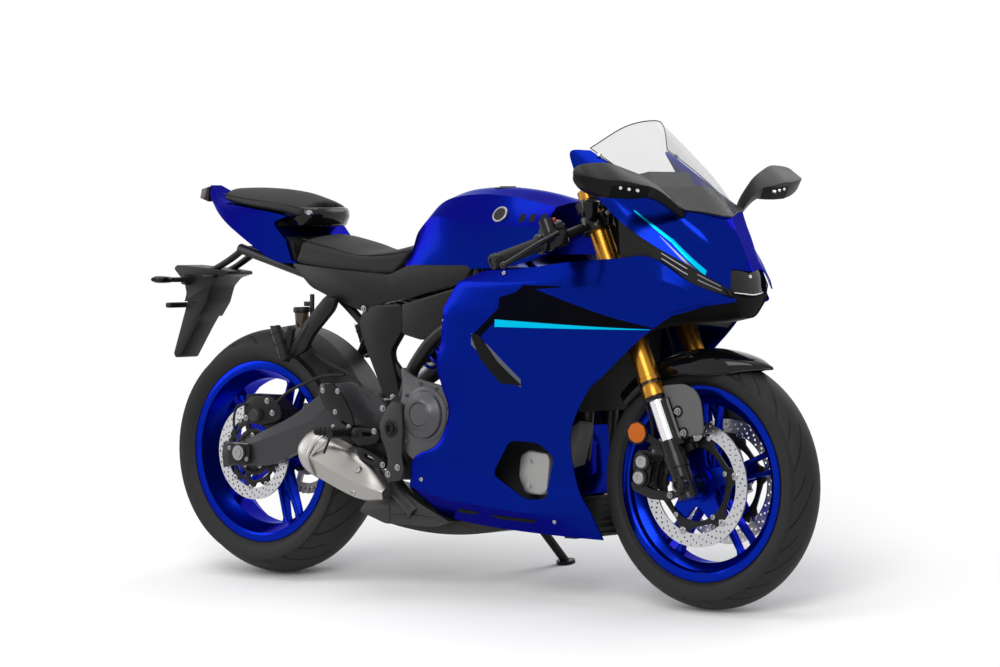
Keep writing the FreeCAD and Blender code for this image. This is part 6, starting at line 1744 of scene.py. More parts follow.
@dataclass
class Mirrors(Assembly):
    """Both mirrors: a housing that runs into its arm, the glass and the turn lights."""

    stations: tuple = (
        ((632, 436, 1023), 8, 12), ((634, 427, 1023), 31, 34), ((637, 408, 1020), 58, 46),
        ((643, 365, 1015), 78, 54), ((651, 316, 1013), 82, 54), ((660, 267, 1006), 70, 48),
        ((668, 219, 999), 52, 34), ((676, 181, 985), 42, 26), ((683, 142, 962), 35, 22),
        ((690, 112, 938), 26, 20),
    )
    section: tuple = ((-0.5, -0.34), (-0.48, 0.40), (-0.3, 0.5), (0.5, -0.02), (0.22, -0.5),
                      (-0.34, -0.5))
    window: tuple = ((6.44, 10.10), (6.60, 10.02), (6.90, 9.98), (6.90, 9.66), (6.62, 9.62),
                     (6.46, 9.74))

    def build(self) -> None:
        """Make the housings and what is in them."""
        rings = []
        for (x, y, z), height, depth in self.stations:
            outline = rounded([(u * depth, v * height) for u, v in self.section], 0.05 * height, 2)
            rings.append([Vector((x - 4 + along, -y, z + up)) for along, up in outline])
        columns = [smooth_line([points[k] for points in rings], 4) for k in range(len(rings[0]))]
        housing = loft([[column[i] for column in columns] for i in range(len(columns[0]))])
        self.add("mirror_housings", housing.both_sides(), SATIN_BLACK, replaces=["mirrors"],
                 smooth=24)
        lights = []
        for k in range(3):
            spot = Vector((659 + 5 * k, -318 + 26 * k, 998 - 3 * k))
            lights.append(rod(spot, spot + Vector((12.0, -5.0, -3.0)), 4.4, 3.6, 14))
        window = rounded(self.window, 0.05)
        self.add("mirror_lenses", housing.both_sides(), MATTE_BLACK, thickness=-1.0,
                 within=cutter(window, -345, -225) + cutter(window, 225, 345))
        self.add("mirror_lights", union(lights).both_sides(), LED, smooth=50)


@dataclass
class TankUnit(Assembly):
    """The tank with its plain badge place, vent slots, filler cap and the covers under it."""

    table: tuple = (
        ((-1.85, 0.00, 7.90), (-1.40, 0.00, 7.90), (-0.70, 0.00, 7.95), (0.60, 0.00, 7.98),
         (1.80, 0.00, 8.05), (3.00, 0.00, 8.35)),
        ((-1.85, 1.00, 7.90), (-1.40, 1.10, 7.90), (-0.70, 1.15, 7.95), (0.60, 1.25, 7.98),
         (1.80, 1.36, 8.05), (3.00, 1.24, 8.35)),
        ((-1.80, 0.95, 8.15), (-1.40, 1.05, 8.30), (-0.70, 1.15, 8.45), (0.60, 1.30, 8.45),
         (1.80, 1.42, 8.50), (3.00, 1.36, 8.62)),
        ((-1.78, 0.75, 8.45), (-1.40, 0.95, 8.90), (-0.70, 1.15, 9.24), (0.60, 1.42, 9.10),
         (1.80, 1.58, 9.03), (3.10, 1.60, 9.02)),
        ((-1.75, 0.45, 8.70), (-1.35, 0.62, 9.22), (-0.60, 0.80, 9.66), (0.60, 0.95, 9.80),
         (1.80, 1.05, 9.72), (3.00, 1.00, 9.50)),
        ((-1.75, 0.00, 8.75), (-1.35, 0.00, 9.35), (-0.60, 0.00, 9.85), (0.60, 0.00, 9.98),
         (1.80, 0.00, 9.88), (2.90, 0.00, 9.62)),
    )
    badge_profile: tuple = ((0.1, 1.6), (17.0, 1.6), (17.6, 2.6), (20.5, 2.6), (21.5, 1.6),
                            (21.5, -3.0))
    badge_middle_profile: tuple = ((0.1, 2.2), (16.4, 2.2), (16.8, 1.4), (16.8, -1.0))
    lid_profile: tuple = ((0.1, 5.4), (30.0, 5.2), (33.0, 4.4), (36.0, 3.4), (36.0, -2.0))
    seat_side_corners: tuple = ((-546, 803), (-404, 790), (-215, 778), (-150, 804), (62, 806),
                                (30, 768), (-143, 722), (-229, 709), (-301, 684), (-404, 716),
                                (-478, 743))
    casting_corners: tuple = ((-303, 686), (-259, 703), (-170, 708), (-168, 640), (-206, 588),
                              (-172, 470), (-226, 470), (-292, 600), (-312, 650))
    box_corners: tuple = ((-176, 706), (10, 752), (14, 690), (-20, 645), (-108, 618), (-176, 633))

    def build(self) -> None:
        """Make the tank and what is fixed to it."""
        self.add("tank_shell", skin(ring_table(self.table), (1, 3, 4, 6, 7, 9), 7, 5, True),
                 BODY_PAINT, replaces=["fuel_tank"], smooth=28)
        surface = skin(self.table[2:5], (1,), 8, 6)
        slots = [((2.18 + 0.30 * k, 9.32), (2.32 + 0.30 * k, 9.34), (2.40 + 0.30 * k, 9.14),
                  (2.25 + 0.30 * k, 9.12)) for k in range(4)]
        for side, word in SIDES:
            skin_side = surface if side > 0 else surface.mirrored()
            low, high = sorted((-side * 60.0, -side * 220.0))
            shapes = union(cutter(rounded(slot, 0.03), low, high) for slot in slots)
            self.add(f"tank_slots_{word}", skin_side, MATTE_BLACK, thickness=-0.5,
                     inside=(100.0, 0.0, 850.0), within=shapes)
        badge = knob(self.badge_profile, 40)
        dark = knob(self.badge_middle_profile, 40)
        spots = [facing(Vector((157, -y * 140, 931)), Vector((-0.02, -y * 0.86, 0.5)))
                 for y in (1, -1)]
        self.scatter("tank_badge_places", badge, spots, BRIGHT_CASE)
        self.scatter("tank_badge_middles", dark, spots, BADGE_DARK)
        self._cap()
        self._covers()

    def _cap(self) -> None:
        """Make the flat filler cap and its lock cover."""
        middle, axis = Vector((65.0, 0.0, 992.0)), UP
        lid = lathe(self.lid_profile, middle, axis, 48)
        lid = lid + block(middle + Vector((0, 0, 6.2)), Vector((40, 16, 3.0)))
        self.add("filler_lid", lid, CAST, slot="cap_metal", body=Body.CAP, replaces=["fuel_cap"],
                 bevel=0.5)

    def _covers(self) -> None:
        """Make the black covers between tank, seat and side panels."""
        for side, word in SIDES:
            for name, outline, radius, near, far, edge in (
                    ("seat_side", self.seat_side_corners, 16, 101, 124, 6.0),
                    ("frame_casting", self.casting_corners, 14, 104, 128, 5.0),
                    ("box_side", self.box_corners, 12, 100, 126, 6.0)):
                low, high = sorted((-side * near, -side * far))
                stands_for = ["frame_covers"] if (name, side) == ("box_side", 1) else []
                self.add(f"{name}_{word}", plate(outline, radius, low, high), BLACK_PLASTIC,
                         bevel=edge, smooth=40, replaces=stands_for)


@dataclass
class TailUnit(Assembly):
    """The tail with its lamp, its black inner part, the hanger and what hangs from it."""

    table: tuple = (
        ((-5.35, 0.00, 8.05), (-6.20, 0.00, 8.15), (-7.60, 0.00, 8.80), (-8.60, 0.00, 9.25),
         (-9.28, 0.00, 9.70)),
        ((-5.35, 1.20, 8.02), (-6.15, 1.20, 8.10), (-7.62, 1.05, 8.82), (-8.50, 0.75, 9.28),
         (-9.28, 0.22, 9.70)),
        ((-5.50, 1.32, 8.80), (-6.20, 1.30, 9.00), (-7.60, 1.10, 9.30), (-8.54, 0.85, 9.52),
         (-9.30, 0.25, 9.85)),
        ((-5.40, 1.05, 9.12), (-6.10, 1.12, 9.28), (-7.40, 0.97, 9.44), (-8.58, 0.60, 9.60),
         (-9.30, 0.20, 10.00)),
        ((-5.40, 0.00, 9.12), (-6.10, 0.00, 9.28), (-7.40, 0.00, 9.44), (-8.58, 0.00, 9.60),
         (-9.30, 0.00, 10.00)),
    )
    inner_side: tuple = ((-6.05, 9.06), (-5.62, 8.62), (-5.48, 8.10), (-5.20, 8.02), (-5.20, 9.30),
                         (-5.60, 9.30))
    inner_kept: tuple = ((-6.3, 7.9), (-5.3, 7.9), (-5.3, 8.5), (-5.9, 8.8), (-6.1, 9.4),
                         (-6.3, 9.4))
    lamp_outline: tuple = ((-9.29, 0.24, 9.56), (-9.58, 0.26, 9.66), (-9.56, 0.22, 9.90),
                           (-9.29, 0.22, 9.97))
    bracket_outline: tuple = ((-1050, 556), (-1044, 546), (-1028, 546), (-1020, 558), (-969, 631),
                              (-921, 693), (-905, 736), (-880, 758), (-840, 768), (-842, 776),
                              (-900, 782), (-1029, 790), (-1038, 780), (-1000, 745), (-992, 716),
                              (-1002, 689), (-1024, 627))
    bracket_cut: tuple = ((-10.9, 5.0), (-9.5, 5.0), (-9.5, 6.95), (-10.9, 6.95))

    def build(self) -> None:
        """Make the tail and what hangs from it."""
        shell = skin(ring_table(self.table), (1, 2, 3, 5, 6, 7), 6, 4, True)
        black = cutter(self.inner_side, -200.0, 200.0)
        self.add("tail_shell", shell, BODY_PAINT, replaces=["tail_cowl"], smooth=28,
                 cutters=[black])
        table = [[(x, y * 0.93, 8.0 + (z - 8.0) * 0.97) for x, y, z in line[:3]]
                 for line in self.table]
        inner = skin(ring_table(table), (1, 2, 3, 5, 6, 7), 6, 4, True)
        self.add("tail_inner", inner, BLACK_PLASTIC,
                 within=cutter(self.inner_kept, -200.0, 200.0))
        rings = []
        for y, front in ((-88, -540), (-76, -526), (-40, -510), (40, -510), (76, -526),
                         (88, -540)):
            outline = ((-612, 918), (-585, 900), (front - 14, 894), (front, 922),
                       (front - 6, 944), (-597, 948))
            rings.append([Vector((x, y, z)) for x, z in outline])
        self.add("seat_pod", loft(rings), GLOSS_BLACK, bevel=8.0, smooth=40)
        lock = Vector((-528, -74, 930))
        self.add("seat_lock", rod(lock, lock + Vector((4, -9, 1)), 7.5, 6.5), BOLT, smooth=50)
        self._lamp()
        self._hanger()

    def _lamp(self) -> None:
        """Make the tail lamp as one smoked red lens."""
        rows = [[Vector((x, -y * k, z)) * DM for x, y, z in self.lamp_outline]
                for k in (1.25, 0.5, -0.5, -1.25)]
        self.add("tail_lamp", loft(rows), RED_LENS, replaces=["rear_lamps"], bevel=2.5)

    def _hanger(self) -> None:
        """Make the two arms, the bracket, the plate holder and the turn lights."""
        arms = [sweep([(-800, y, 835), (-850, y, 806), (-905, y * 1.1, 780), (-960, y, 765)],
                      9.5, 10, 5, 7.5) for y in (30, -30)]
        body = plate(self.bracket_outline, 7, -46, 46)
        self.add("plate_hanger_arms", union(arms), BLACK_PLASTIC, replaces=["plate_hanger"],
                 smooth=50)
        slim = [cutter(self.bracket_cut, a, b) for a, b in ((-80, -34), (34, 80))]
        self.add("plate_bracket", body, BLACK_PLASTIC, bevel=3.0, cutters=slim)
        lugs = block(Vector((-1040, 0, 684)), Vector((22, 132, 14))) + block(
            Vector((-905, 0, 762)), Vector((44, 116, 10)))
        self.add("reflector_lugs", lugs, BLACK_PLASTIC, bevel=4.0)
        lamps, necks = Solid(), Solid()
        turns = [2 * math.pi * j / 16 for j in range(16)]
        for y in (-1, 1):
            start, end = Vector((-984, y * 50, 752)), Vector((-1000, y * 96, 752))
            necks += rod(Vector((-984, y * 42, 752)), Vector((-990, y * 62, 752)), 15, 13)
            necks += rod(start, end, 6.5)
            tip = Vector((-1016, y * 146, 753))
            rings = []
            for t, k in ((0.0, 0.55), (0.12, 0.9), (0.5, 1.0), (0.85, 0.92), (1.0, 0.55)):
                rings.append([end.lerp(tip, t) + UP * (9.5 * k * math.sin(a))
                              + Vector((1, 0, 0)) * (15 * k * math.cos(a)) for a in turns])
            lamps += loft(rings)
        self.add("indicator_necks", necks, BLACK_PLASTIC, smooth=50)
        self.add("indicators", lamps, GLOSS_BLACK, slot="rear_lens", smooth=50)


@dataclass
class Seats(Assembly):
    """Both seat pads: blown up by a cloth simulation, then sewn."""

    rider: tuple = (
        ((-2.20, 0.00, 7.74), (-2.80, 0.00, 7.72), (-3.60, 0.00, 7.80), (-4.40, 0.00, 7.90),
         (-5.30, 0.00, 8.03)),
        ((-2.20, 1.02, 7.74), (-2.80, 1.10, 7.72), (-3.60, 1.20, 7.80), (-4.40, 1.25, 7.90),
         (-5.30, 1.25, 8.03)),
        ((-1.95, 0.92, 8.15), (-2.60, 1.10, 8.05), (-3.50, 1.22, 8.15), (-4.30, 1.28, 8.22),
         (-5.28, 1.28, 8.32)),
        ((-1.86, 0.75, 8.42), (-2.60, 0.95, 8.30), (-3.40, 1.05, 8.28), (-4.20, 1.10, 8.45),
         (-5.20, 1.10, 8.66)),
        ((-1.80, 0.00, 8.68), (-2.50, 0.00, 8.42), (-3.30, 0.00, 8.36), (-4.10, 0.00, 8.60),
         (-5.10, 0.00, 8.80)),
    )
    passenger: tuple = (
        ((-5.42, 0.00, 9.143), (-6.20, 0.00, 9.303), (-7.40, 0.00, 9.453), (-8.55, 0.00, 9.613)),
        ((-5.42, 0.92, 9.143), (-6.20, 1.02, 9.303), (-7.40, 0.88, 9.453), (-8.55, 0.50, 9.613)),
        ((-5.40, 0.84, 9.42), (-6.20, 0.98, 9.56), (-7.40, 0.84, 9.68), (-8.60, 0.44, 9.80)),
        ((-5.30, 0.00, 9.60), (-6.20, 0.00, 9.85), (-7.40, 0.00, 9.95), (-8.67, 0.00, 9.94)),
    )

    def build(self) -> None:
        """Make both pads with their seams."""
        for name, table, fill in (("rider_seat", self.rider, 0.75),
                                  ("passenger_seat", self.passenger, 0.8)):
            closed = ring_table(table)
            core = skin(closed, (), 7, 4, True)
            middle = sum(core.points, Vector()) / len(core.points)
            slim = Solid([self._drawn(p, middle) for p in core.points], core.faces)
            pad = self.add(f"{name}_pad", slim, SEAT_COVER, replaces=[name], smooth=75)
            self._swell(pad, 3.0 if name == "rider_seat" else 2.5)
            self._seams(name, table)

    @staticmethod
    def _drawn(point: Vector, middle: Vector) -> Vector:
        """Return a place drawn in by a few millimetres, as room to swell."""
        way = point - middle
        return middle + Vector((way.x * 0.985, way.y * 0.965, way.z * 0.94))

    @staticmethod
    def _swell(pad: bpy.types.Object, cap: float) -> None:
        """Blow a pad up with cloth pressure and keep the result as its mesh.

        Args:
            pad: the closed pad.
            cap: how far a point may move, in millimetres.
        """
        modified(pad, "REMESH", mode="VOXEL", voxel_size=0.006)
        bake(pad)
        start = [v.co.copy() for v in pad.data.vertices]
        base = min(v.z for v in start) + PAD_BASE
        held = pad.vertex_groups.new(name="held")
        held.add([i for i, v in enumerate(start) if v.z < base], 1.0, "REPLACE")
        cloth = modified(pad, "CLOTH")
        for name, value in CLOTH.items():
            setattr(cloth.settings, name, value)
        cloth.settings.effector_weights.gravity = 0.0
        cloth.collision_settings.use_collision = False
        cloth.point_cache.frame_start = 1
        cloth.point_cache.frame_end = CLOTH_FRAMES
        for number in range(1, CLOTH_FRAMES + 1):
            bpy.context.scene.frame_set(number)
        bake(pad)
        bpy.context.scene.frame_set(1)
        for vertex, first in zip(pad.data.vertices, start):
            way = vertex.co - first
            if way.length > cap / MM_PER_M:
                vertex.co = first + way.normalized() * cap / MM_PER_M
        modified(pad, "SMOOTH", factor=0.5, iterations=4)
        bake(pad)
        modified(pad, "SUBSURF", levels=1, render_levels=1)
        bake(pad)
        pad.data.shade_smooth()

    def _seams(self, name: str, table: Sequence[Sequence[tuple]]) -> None:
        """Lay the sewn piping along a pad's upper edges.

        Args:
            name: the pad's name.
            table: the pad's table.
        """
        line = table[-2]
        edge = smooth_line([Vector((x, -y * 0.985, z - 0.02)) * DM for x, y, z in line], 8)
        cords = sweep(edge, 1.5, 6, 1).both_sides()
        self.add(f"{name}_piping", cords, SEAT_COVER, smooth=60)


def hex_bolt(radius: float = 6.0, height: float = 4.0) -> Solid:
    """Return a flanged screw head with a socket, about its own origin."""
    r, h = radius, height
    return knob([(0.1, h * 0.5), (r * 0.42, h * 0.5), (r * 0.46, h), (r * 0.82, h),
                 (r * 0.9, h * 0.8), (r * 0.92, h * 0.3), (r * 1.25, h * 0.22), (r * 1.25, -2.0)])


def side_spots(places: Sequence[tuple], side: int = 1) -> list[Matrix]:
    """Return spots that face outwards at places of length, distance to the right and height."""
    return [facing(Vector((x, -side * y, z)), Vector((0, -side, 0))) for x, y, z in places]


@dataclass
class RearFrame(Assembly):
    """Footrest hangers, rear fluid cup, arm details, rear caliper and shock spring."""

    hanger_outline: tuple = ((-413, 722), (-372, 716), (-383, 687), (-452, 622), (-479, 581),
                             (-534, 559), (-554, 573), (-509, 602), (-486, 650), (-432, 700))
    rear_cup_profile: tuple = ((0.1, 0), (15, 0), (17, 3), (18, 34), (18, 38), (0.1, 38))
    rear_cup_lid_profile: tuple = (
        (0.1, 52), (19.5, 52), (21.5, 49), (21.5, 40), (18, 37), (0.1, 37),
    )
    cup_hose_route: tuple = ((-512, -118, 642), (-500, -122, 610), (-430, -126, 560),
                             (-330, -128, 520), (-270, -130, 470))
    adjuster_outline: tuple = ((-742, 338), (-668, 338), (-662, 330), (-662, 296), (-672, 286),
                               (-738, 286))
    nut_profile: tuple = ((0.1, 3), (6, 3), (7, 9), (13, 9), (14, 6), (19, 5), (21, 2), (21, 0))
    collar_profile: tuple = ((14, -1), (23.5, -1), (23.5, 3), (22, 4), (14, 4))
    adjuster_screws: tuple = ((-672, 153, 300), (-732, 153, 326))
    heel_guard_outline: tuple = ((-398, 505), (-352, 505), (-318, 470), (-292, 432), (-282, 400),
                                 (-300, 396), (-344, 414), (-388, 446), (-404, 478))
    heel_guard_screws: tuple = ((-388, 176, 486), (-338, 176, 486), (-346, 176, 434),
                                (-352, 176, 396), (-300, 176, 398))
    caliper_outline: tuple = ((-700, 396), (-700, 440), (-672, 462), (-600, 462), (-572, 440),
                              (-566, 408), (-590, 396), (-640, 386))
    piston_profile: tuple = ((0.1, 19), (14, 19), (17, 16), (18.5, 12), (18.5, -4))
    caliper_screws: tuple = ((-598, 136, 420), (-690, 136, 404), (-616, 136, 450))
    caliper_hose_route: tuple = ((-690, -140, 440), (-712, -146, 432), (-722, -148, 400),
                                 (-716, -148, 360), (-700, -150, 345))
    feed_route: tuple = ((-585, -134, 448), (-540, -140, 476), (-480, -142, 500), (-420, -140, 520),
                         (-350, -138, 525))

    def build(self) -> None:
        """Make all of them."""
        self._hangers()
        self._reservoir()
        self._arm()
        self._caliper()
        self._spring()

    def _hangers(self) -> None:
        """Make the thick footrest hangers with their folded rests."""
        hanger = plate(self.hanger_outline, 12, -147, -130)
        self.add("footrest_hangers", hanger.both_sides(), BLACK_PLASTIC, slot="black_alloy",
                 bevel=4.0, smooth=40)
        lean = Matrix.Rotation(math.radians(-24), 4, "Y")
        rest = block(Vector((-548, -160, 600)), Vector((22, 18, 92)), lean)
        ribs = [block(Vector((-536 - 12 * k, -160, 574 + 26 * k)), Vector((24, 21, 5)), lean)
                for k in range(3)]
        self.add("footrest_pads", union([rest, *ribs]).both_sides(), RUBBER, bevel=2.0)
        rail = block(Vector((-561, -160, 603)), Vector((3, 15, 88)), lean)
        self.add("footrest_rails", rail.both_sides(), BOLT, bevel=0.8)

    def _reservoir(self) -> None:
        """Make the rear fluid cup with its lid and its bracket."""
        foot, up = Vector((-512, -118, 640)), Vector((-0.05, 0, 1))
        self.add("rear_cup", lathe(self.rear_cup_profile, foot, up, 28), FLUID, smooth=40)
        self.add("rear_cup_lid", lathe(self.rear_cup_lid_profile, foot, up, 28), BLACK_PLASTIC,
                 smooth=40)
        stem = block(Vector((-484, -112, 690)), Vector((12, 6, 70))) + block(
            Vector((-496, -112, 700)), Vector((30, 5, 12)))
        hose = sweep(self.cup_hose_route, 4.2, 10, 6)
        self.add("rear_cup_stem", stem, BLACK_PLASTIC, bevel=1.5)
        self.add("rear_cup_hose", hose, RUBBER, smooth=60)

    def _arm(self) -> None:
        """Make the adjuster block, the axle nut and the guard of the right arm."""
        adjuster = plate(self.adjuster_outline, 6, -153, -146.5)
        self.add("adjuster_block", adjuster, CAST, bevel=2.0)
        axle, way = Vector((-697.5, -152, 315)), RIGHT
        nut = lathe(self.nut_profile, axle, way, 6)
        collar = lathe(self.collar_profile, axle, way, 40, True)
        self.add("axle_collar", collar, CAST, smooth=40)
        self.add("axle_nut", nut, ZINC, smooth=25)
        self.screws("adjuster_screws", 4.5, 3.5, self.adjuster_screws)
        guard = plate(self.heel_guard_outline, 10, -176, -170)
        self.add("heel_guard", guard, GLOSS_BLACK, bevel=2.0)
        self.screws("heel_guard_screws", 5.5, 4.0, self.heel_guard_screws)

    def _caliper(self) -> None:
        """Make the rear caliper's piston housing, its bracket and its hose."""
        centre = Vector((-652, -128, 412))
        body = plate(self.caliper_outline, 12, -136, -118)
        self.add("rear_caliper_body", body, CAST, slot="black_alloy", bevel=4.0)
        piston = lathe(self.piston_profile, centre + Vector((0, -6, 0)), RIGHT, 36)
        self.add("rear_caliper_piston", piston, PLATE_GREY, smooth=35)
        self.screws("rear_caliper_screws", 6.0, 5.0, self.caliper_screws)
        hose = sweep(self.caliper_hose_route, 3.2, 10, 8)
        feed = sweep(self.feed_route, 4.0, 10, 8)
        self.add("rear_caliper_hoses", hose + feed, RUBBER, smooth=60)

    def _spring(self) -> None:
        """Make the shock's painted spring where it shows above the engine cover."""
        start, end = Vector((-118, -92, 560)), Vector((-20, -98, 610))
        way = (end - start).normalized()
        side = way.orthogonal().normalized()
        other = way.cross(side)
        turns, steps = 4, 20
        path = []
        for i in range(turns * steps + 1):
            angle = 2 * math.pi * i / steps
            along = (end - start).length * i / (turns * steps)
            path.append(start + way * along + (side * math.cos(angle) + other * math.sin(angle))
                        * 20)
        self.add("shock_spring", sweep(path, 4.5, 10, 1), COIL, smooth=60)


@dataclass
class Muffler(Assembly):
    """The brushed silencer with its end cap, its slot, its bolts and the pipe that feeds it."""

    table: tuple = (
        ((-3.95, 1.30, 3.72), (-3.15, 1.30, 3.46), (-2.35, 1.32, 3.10), (-1.86, 1.42, 2.62)),
        ((-3.95, 1.58, 3.80), (-3.15, 1.60, 3.56), (-2.35, 1.58, 3.25), (-1.78, 1.60, 2.60)),
        ((-4.02, 1.88, 3.66), (-3.15, 1.90, 3.36), (-2.35, 1.86, 3.04), (-1.76, 1.76, 2.52)),
        ((-4.14, 2.10, 3.24), (-3.05, 2.12, 2.84), (-2.30, 2.06, 2.58), (-1.77, 1.90, 2.42)),
        ((-4.02, 1.96, 2.76), (-3.05, 1.96, 2.40), (-2.42, 1.92, 2.22), (-1.83, 1.80, 2.24)),
        ((-3.95, 1.46, 2.68), (-3.05, 1.46, 2.34), (-2.45, 1.46, 2.16), (-1.88, 1.50, 2.20)),
        ((-3.95, 1.24, 3.10), (-3.05, 1.24, 2.88), (-2.40, 1.28, 2.62), (-1.86, 1.42, 2.40)),
    )
    strap_route: tuple = ((-343, -191, 371), (-371, -206, 347), (-397, -209, 324))
    grommet_profile: tuple = ((0.1, 2.0), (4.0, 2.0), (5.0, 4.0), (7.6, 4.0), (9.0, 2.0),
                              (9.4, -4.0))
    chamber_outline: tuple = ((-276, 268), (-165, 250), (-98, 215), (-4, 176), (-56, 160),
                              (-214, 160), (-300, 186), (-276, 214))
    seam_route: tuple = ((-228, -134, 176), (-120, -138, 184), (-30, -134, 178))

    def build(self) -> None:
        """Make the body, the cap and what is fixed to them."""
        body = skin(self.table, (1, 3, 4), 8, 5, True)
        self.add("muffler_body", body, SILENCER, replaces=["muffler"], smooth=22)
        rows = [table_row(line, 8)[0] for line in self.table]
        ring_points = smooth_line(rows + [rows[0]], 6)[:-1]
        middle = sum(ring_points, Vector()) / len(ring_points)
        way = Vector((-0.95, 0.0, 0.30))
        rings = [[middle + (p - middle) * k + way * d for p in ring_points]
                 for k, d in ((1.0, -3), (1.012, 0), (1.01, 10), (0.985, 22), (0.92, 33),
                              (0.80, 41), (0.62, 45), (0.44, 44), (0.40, 38), (0.38, 12))]
        self.add("muffler_cap", loft(rings), SILENCER_CAP, smooth=40)
        slot = sweep(self.strap_route, 3.2, 10, 4)
        self.add("muffler_strap", slot, BOLT, smooth=60)
        grommet = knob(self.grommet_profile, 28)
        spots = [facing(Vector((-249, -197, 296)), Vector((0, -0.93, 0.36))),
                 facing(Vector((-265, -196, 238)), Vector((0, -0.86, -0.5)))]
        self.scatter("muffler_bolts", grommet, spots, ZINC, slot="brushed_silencer")
        rings = [[middle + (p - middle) * k + way * d for p in ring_points]
                 for k, d in ((1.02, -12), (1.03, -10), (1.03, -5), (1.02, -3))]
        self.add("muffler_band", loft(rings), SILENCER, smooth=40)
        inlet = plate(self.chamber_outline, 9, -136, -44)
        self.add("exhaust_chamber", inlet, CHAMBER, bevel=14.0, smooth=40)
        seam = sweep(self.seam_route, 3.0, 8, 4)
        seam += rod(Vector((-196, -122, 258)), Vector((-120, -122, 190)), 24)
        self.add("exhaust_seam", seam, CHAMBER, smooth=50)


@dataclass
class EngineTrim(Assembly):
    """What shows of the engine: the clutch cover, the pivot plate and the footrests."""

    clutch_profile: tuple = ((0.1, 27), (27, 27), (29, 25.5), (30, 28.5), (34, 28.5), (37, 25),
                             (44, 21), (52, 16), (57, 13), (60, 6), (68, 2), (70, -10))
    flange_outline: tuple = ((-128, 560), (-92, 532), (-40, 520), (24, 508), (34, 440), (28, 372),
                             (-8, 336), (-62, 318), (-104, 336), (-126, 372), (-136, 430),
                             (-120, 500))
    pivot_outline: tuple = ((-146, 470), (-166, 452), (-190, 410), (-184, 376), (-168, 350),
                            (-160, 320), (-172, 282), (-160, 268), (-118, 274), (-108, 300),
                            (-116, 330), (-112, 400), (-116, 462))
    boss_profile: tuple = ((0.1, 3), (8, 3), (9, 8), (13, 8), (14, 4), (19, 4), (22, 1), (22, -2))
    pivot_screws: tuple = ((-158, 188, 288), (-127, 188, 306))
    frame_screws: tuple = ((-196, 128, 474), (-219, 140, 446), (-294, 128, 692))
    peg_profile: tuple = ((0.1, 0), (8, 0), (10, 2), (10, 84), (8, 90), (0.1, 90))
    rib_profile: tuple = ((10, 0), (11.5, 1), (11.5, 4), (10, 5))
    bracket_hole: tuple = ((-248, 388), (-218, 388), (-218, 378), (-248, 378))
    bracket_outline: tuple = ((-280, 398), (-200, 398), (-188, 380), (-200, 362), (-262, 352),
                              (-286, 372))
    pedal_hole: tuple = ((-236, 336), (-206, 324), (-206, 316), (-240, 328))
    pedal_outline: tuple = ((-262, 352), (-240, 348), (-196, 330), (-168, 318), (-168, 300),
                            (-200, 300), (-246, 318), (-266, 338))
    rest_screws: tuple = ((-206, 186, 392), (-277, 182, 384), (-176, 188, 310))
    window_outline: tuple = ((238, 352), (262, 366), (322, 360), (330, 344), (322, 268), (300, 258),
                             (252, 260), (232, 300))
    window_screws: tuple = ((272, 158, 338), (268, 158, 278))

    def build(self) -> None:
        """Make all of them."""
        self._clutch()
        self._plate()
        self._footrest()
        self._window()

    def _clutch(self) -> None:
        """Make the cover's raised rings and the screws around it."""
        centre, way = Vector((-46, -178, 440)), RIGHT
        cover = lathe(self.clutch_profile, centre, way, 64)
        self.add("clutch_cover_rings", cover, CASE, smooth=30)
        flange = plate(self.flange_outline, 26, -178, -168)
        self.add("clutch_flange", flange, CASE, bevel=3.0)
        spots = []
        for k in range(9):
            angle = math.radians(20 + 40 * k)
            spots.append((-48 + 76 * math.cos(angle), 178, 428 + 88 * math.sin(angle)))
        self.scatter("clutch_screws", hex_bolt(4.4, 4.5), side_spots(spots), CASE,
                     slot="zinc_steel")

    def _plate(self) -> None:
        """Make the grey plate over the swingarm pivot."""
        cover = plate(self.pivot_outline, 8, -188, -180)
        self.add("pivot_plate", cover, PLATE_GREY, slot="engine_case", bevel=3.0)
        boss = lathe(self.boss_profile, Vector((-149, -188, 402)), RIGHT, 36)
        self.add("pivot_boss", boss, CAST, smooth=35)
        self.screws("pivot_screws", 6.5, 5.5, self.pivot_screws)
        self.screws("frame_screws", 6.5, 5.5, self.frame_screws)

    def _footrest(self) -> None:
        """Make the rider's rest with its ribs and the brake pedal."""
        root, way = Vector((-294, -182, 386)), Vector((-0.9, -0.4, 0.0))
        peg = lathe(self.peg_profile, root, way, 20)
        ribs = [lathe(self.rib_profile, root + way.normalized() * (12 + 12 * k), way, 20, True)
                for k in range(6)]
        self.add("rider_rest", union([peg, *ribs]), CAST, smooth=40)
        hole = plate(self.bracket_hole, 3, -200, -160)
        bracket = plate(self.bracket_outline, 8, -186, -174)
        self.add("rest_bracket", bracket, CAST, bevel=2.5, cutters=[hole])
        hole = plate(self.pedal_hole, 3, -200, -160)
        pedal = plate(self.pedal_outline, 7, -188, -172)
        self.add("brake_pedal", pedal, CAST, bevel=2.5, cutters=[hole])
        self.screws("rest_screws", 6.0, 5.0, self.rest_screws)

    def _window(self) -> None:
        """Make the bright engine part that shows in the side panel's window."""
        shape = plate(self.window_outline, 10, -158, -128)
        self.add("window_part", shape, BRIGHT_CASE, bevel=7.0, smooth=40)
        self.screws("window_screws", 6.0, 5.0, self.window_screws)


def leg(x: float, y: float, z: float) -> Vector:
    """Return a place given from a fork leg's axis: ahead of it, to the left, and up along it."""
    return from_fork(38.0 + x, y, z)


def bar_place(share: float, side: int = 1) -> Vector:
    """Return the place at a share of the way out along a handlebar.

    Args:
        share: the share of the way.
        side: one for the right side, or minus one.

    Returns:
        The upright place.
    """
    start, end = Vector((25.0, 116.0, 979.0)), Vector((-93.3, 352.0, 939.9))
    spot = start.lerp(end, share)
    return from_fork(spot.x, -side * spot.y, spot.z)


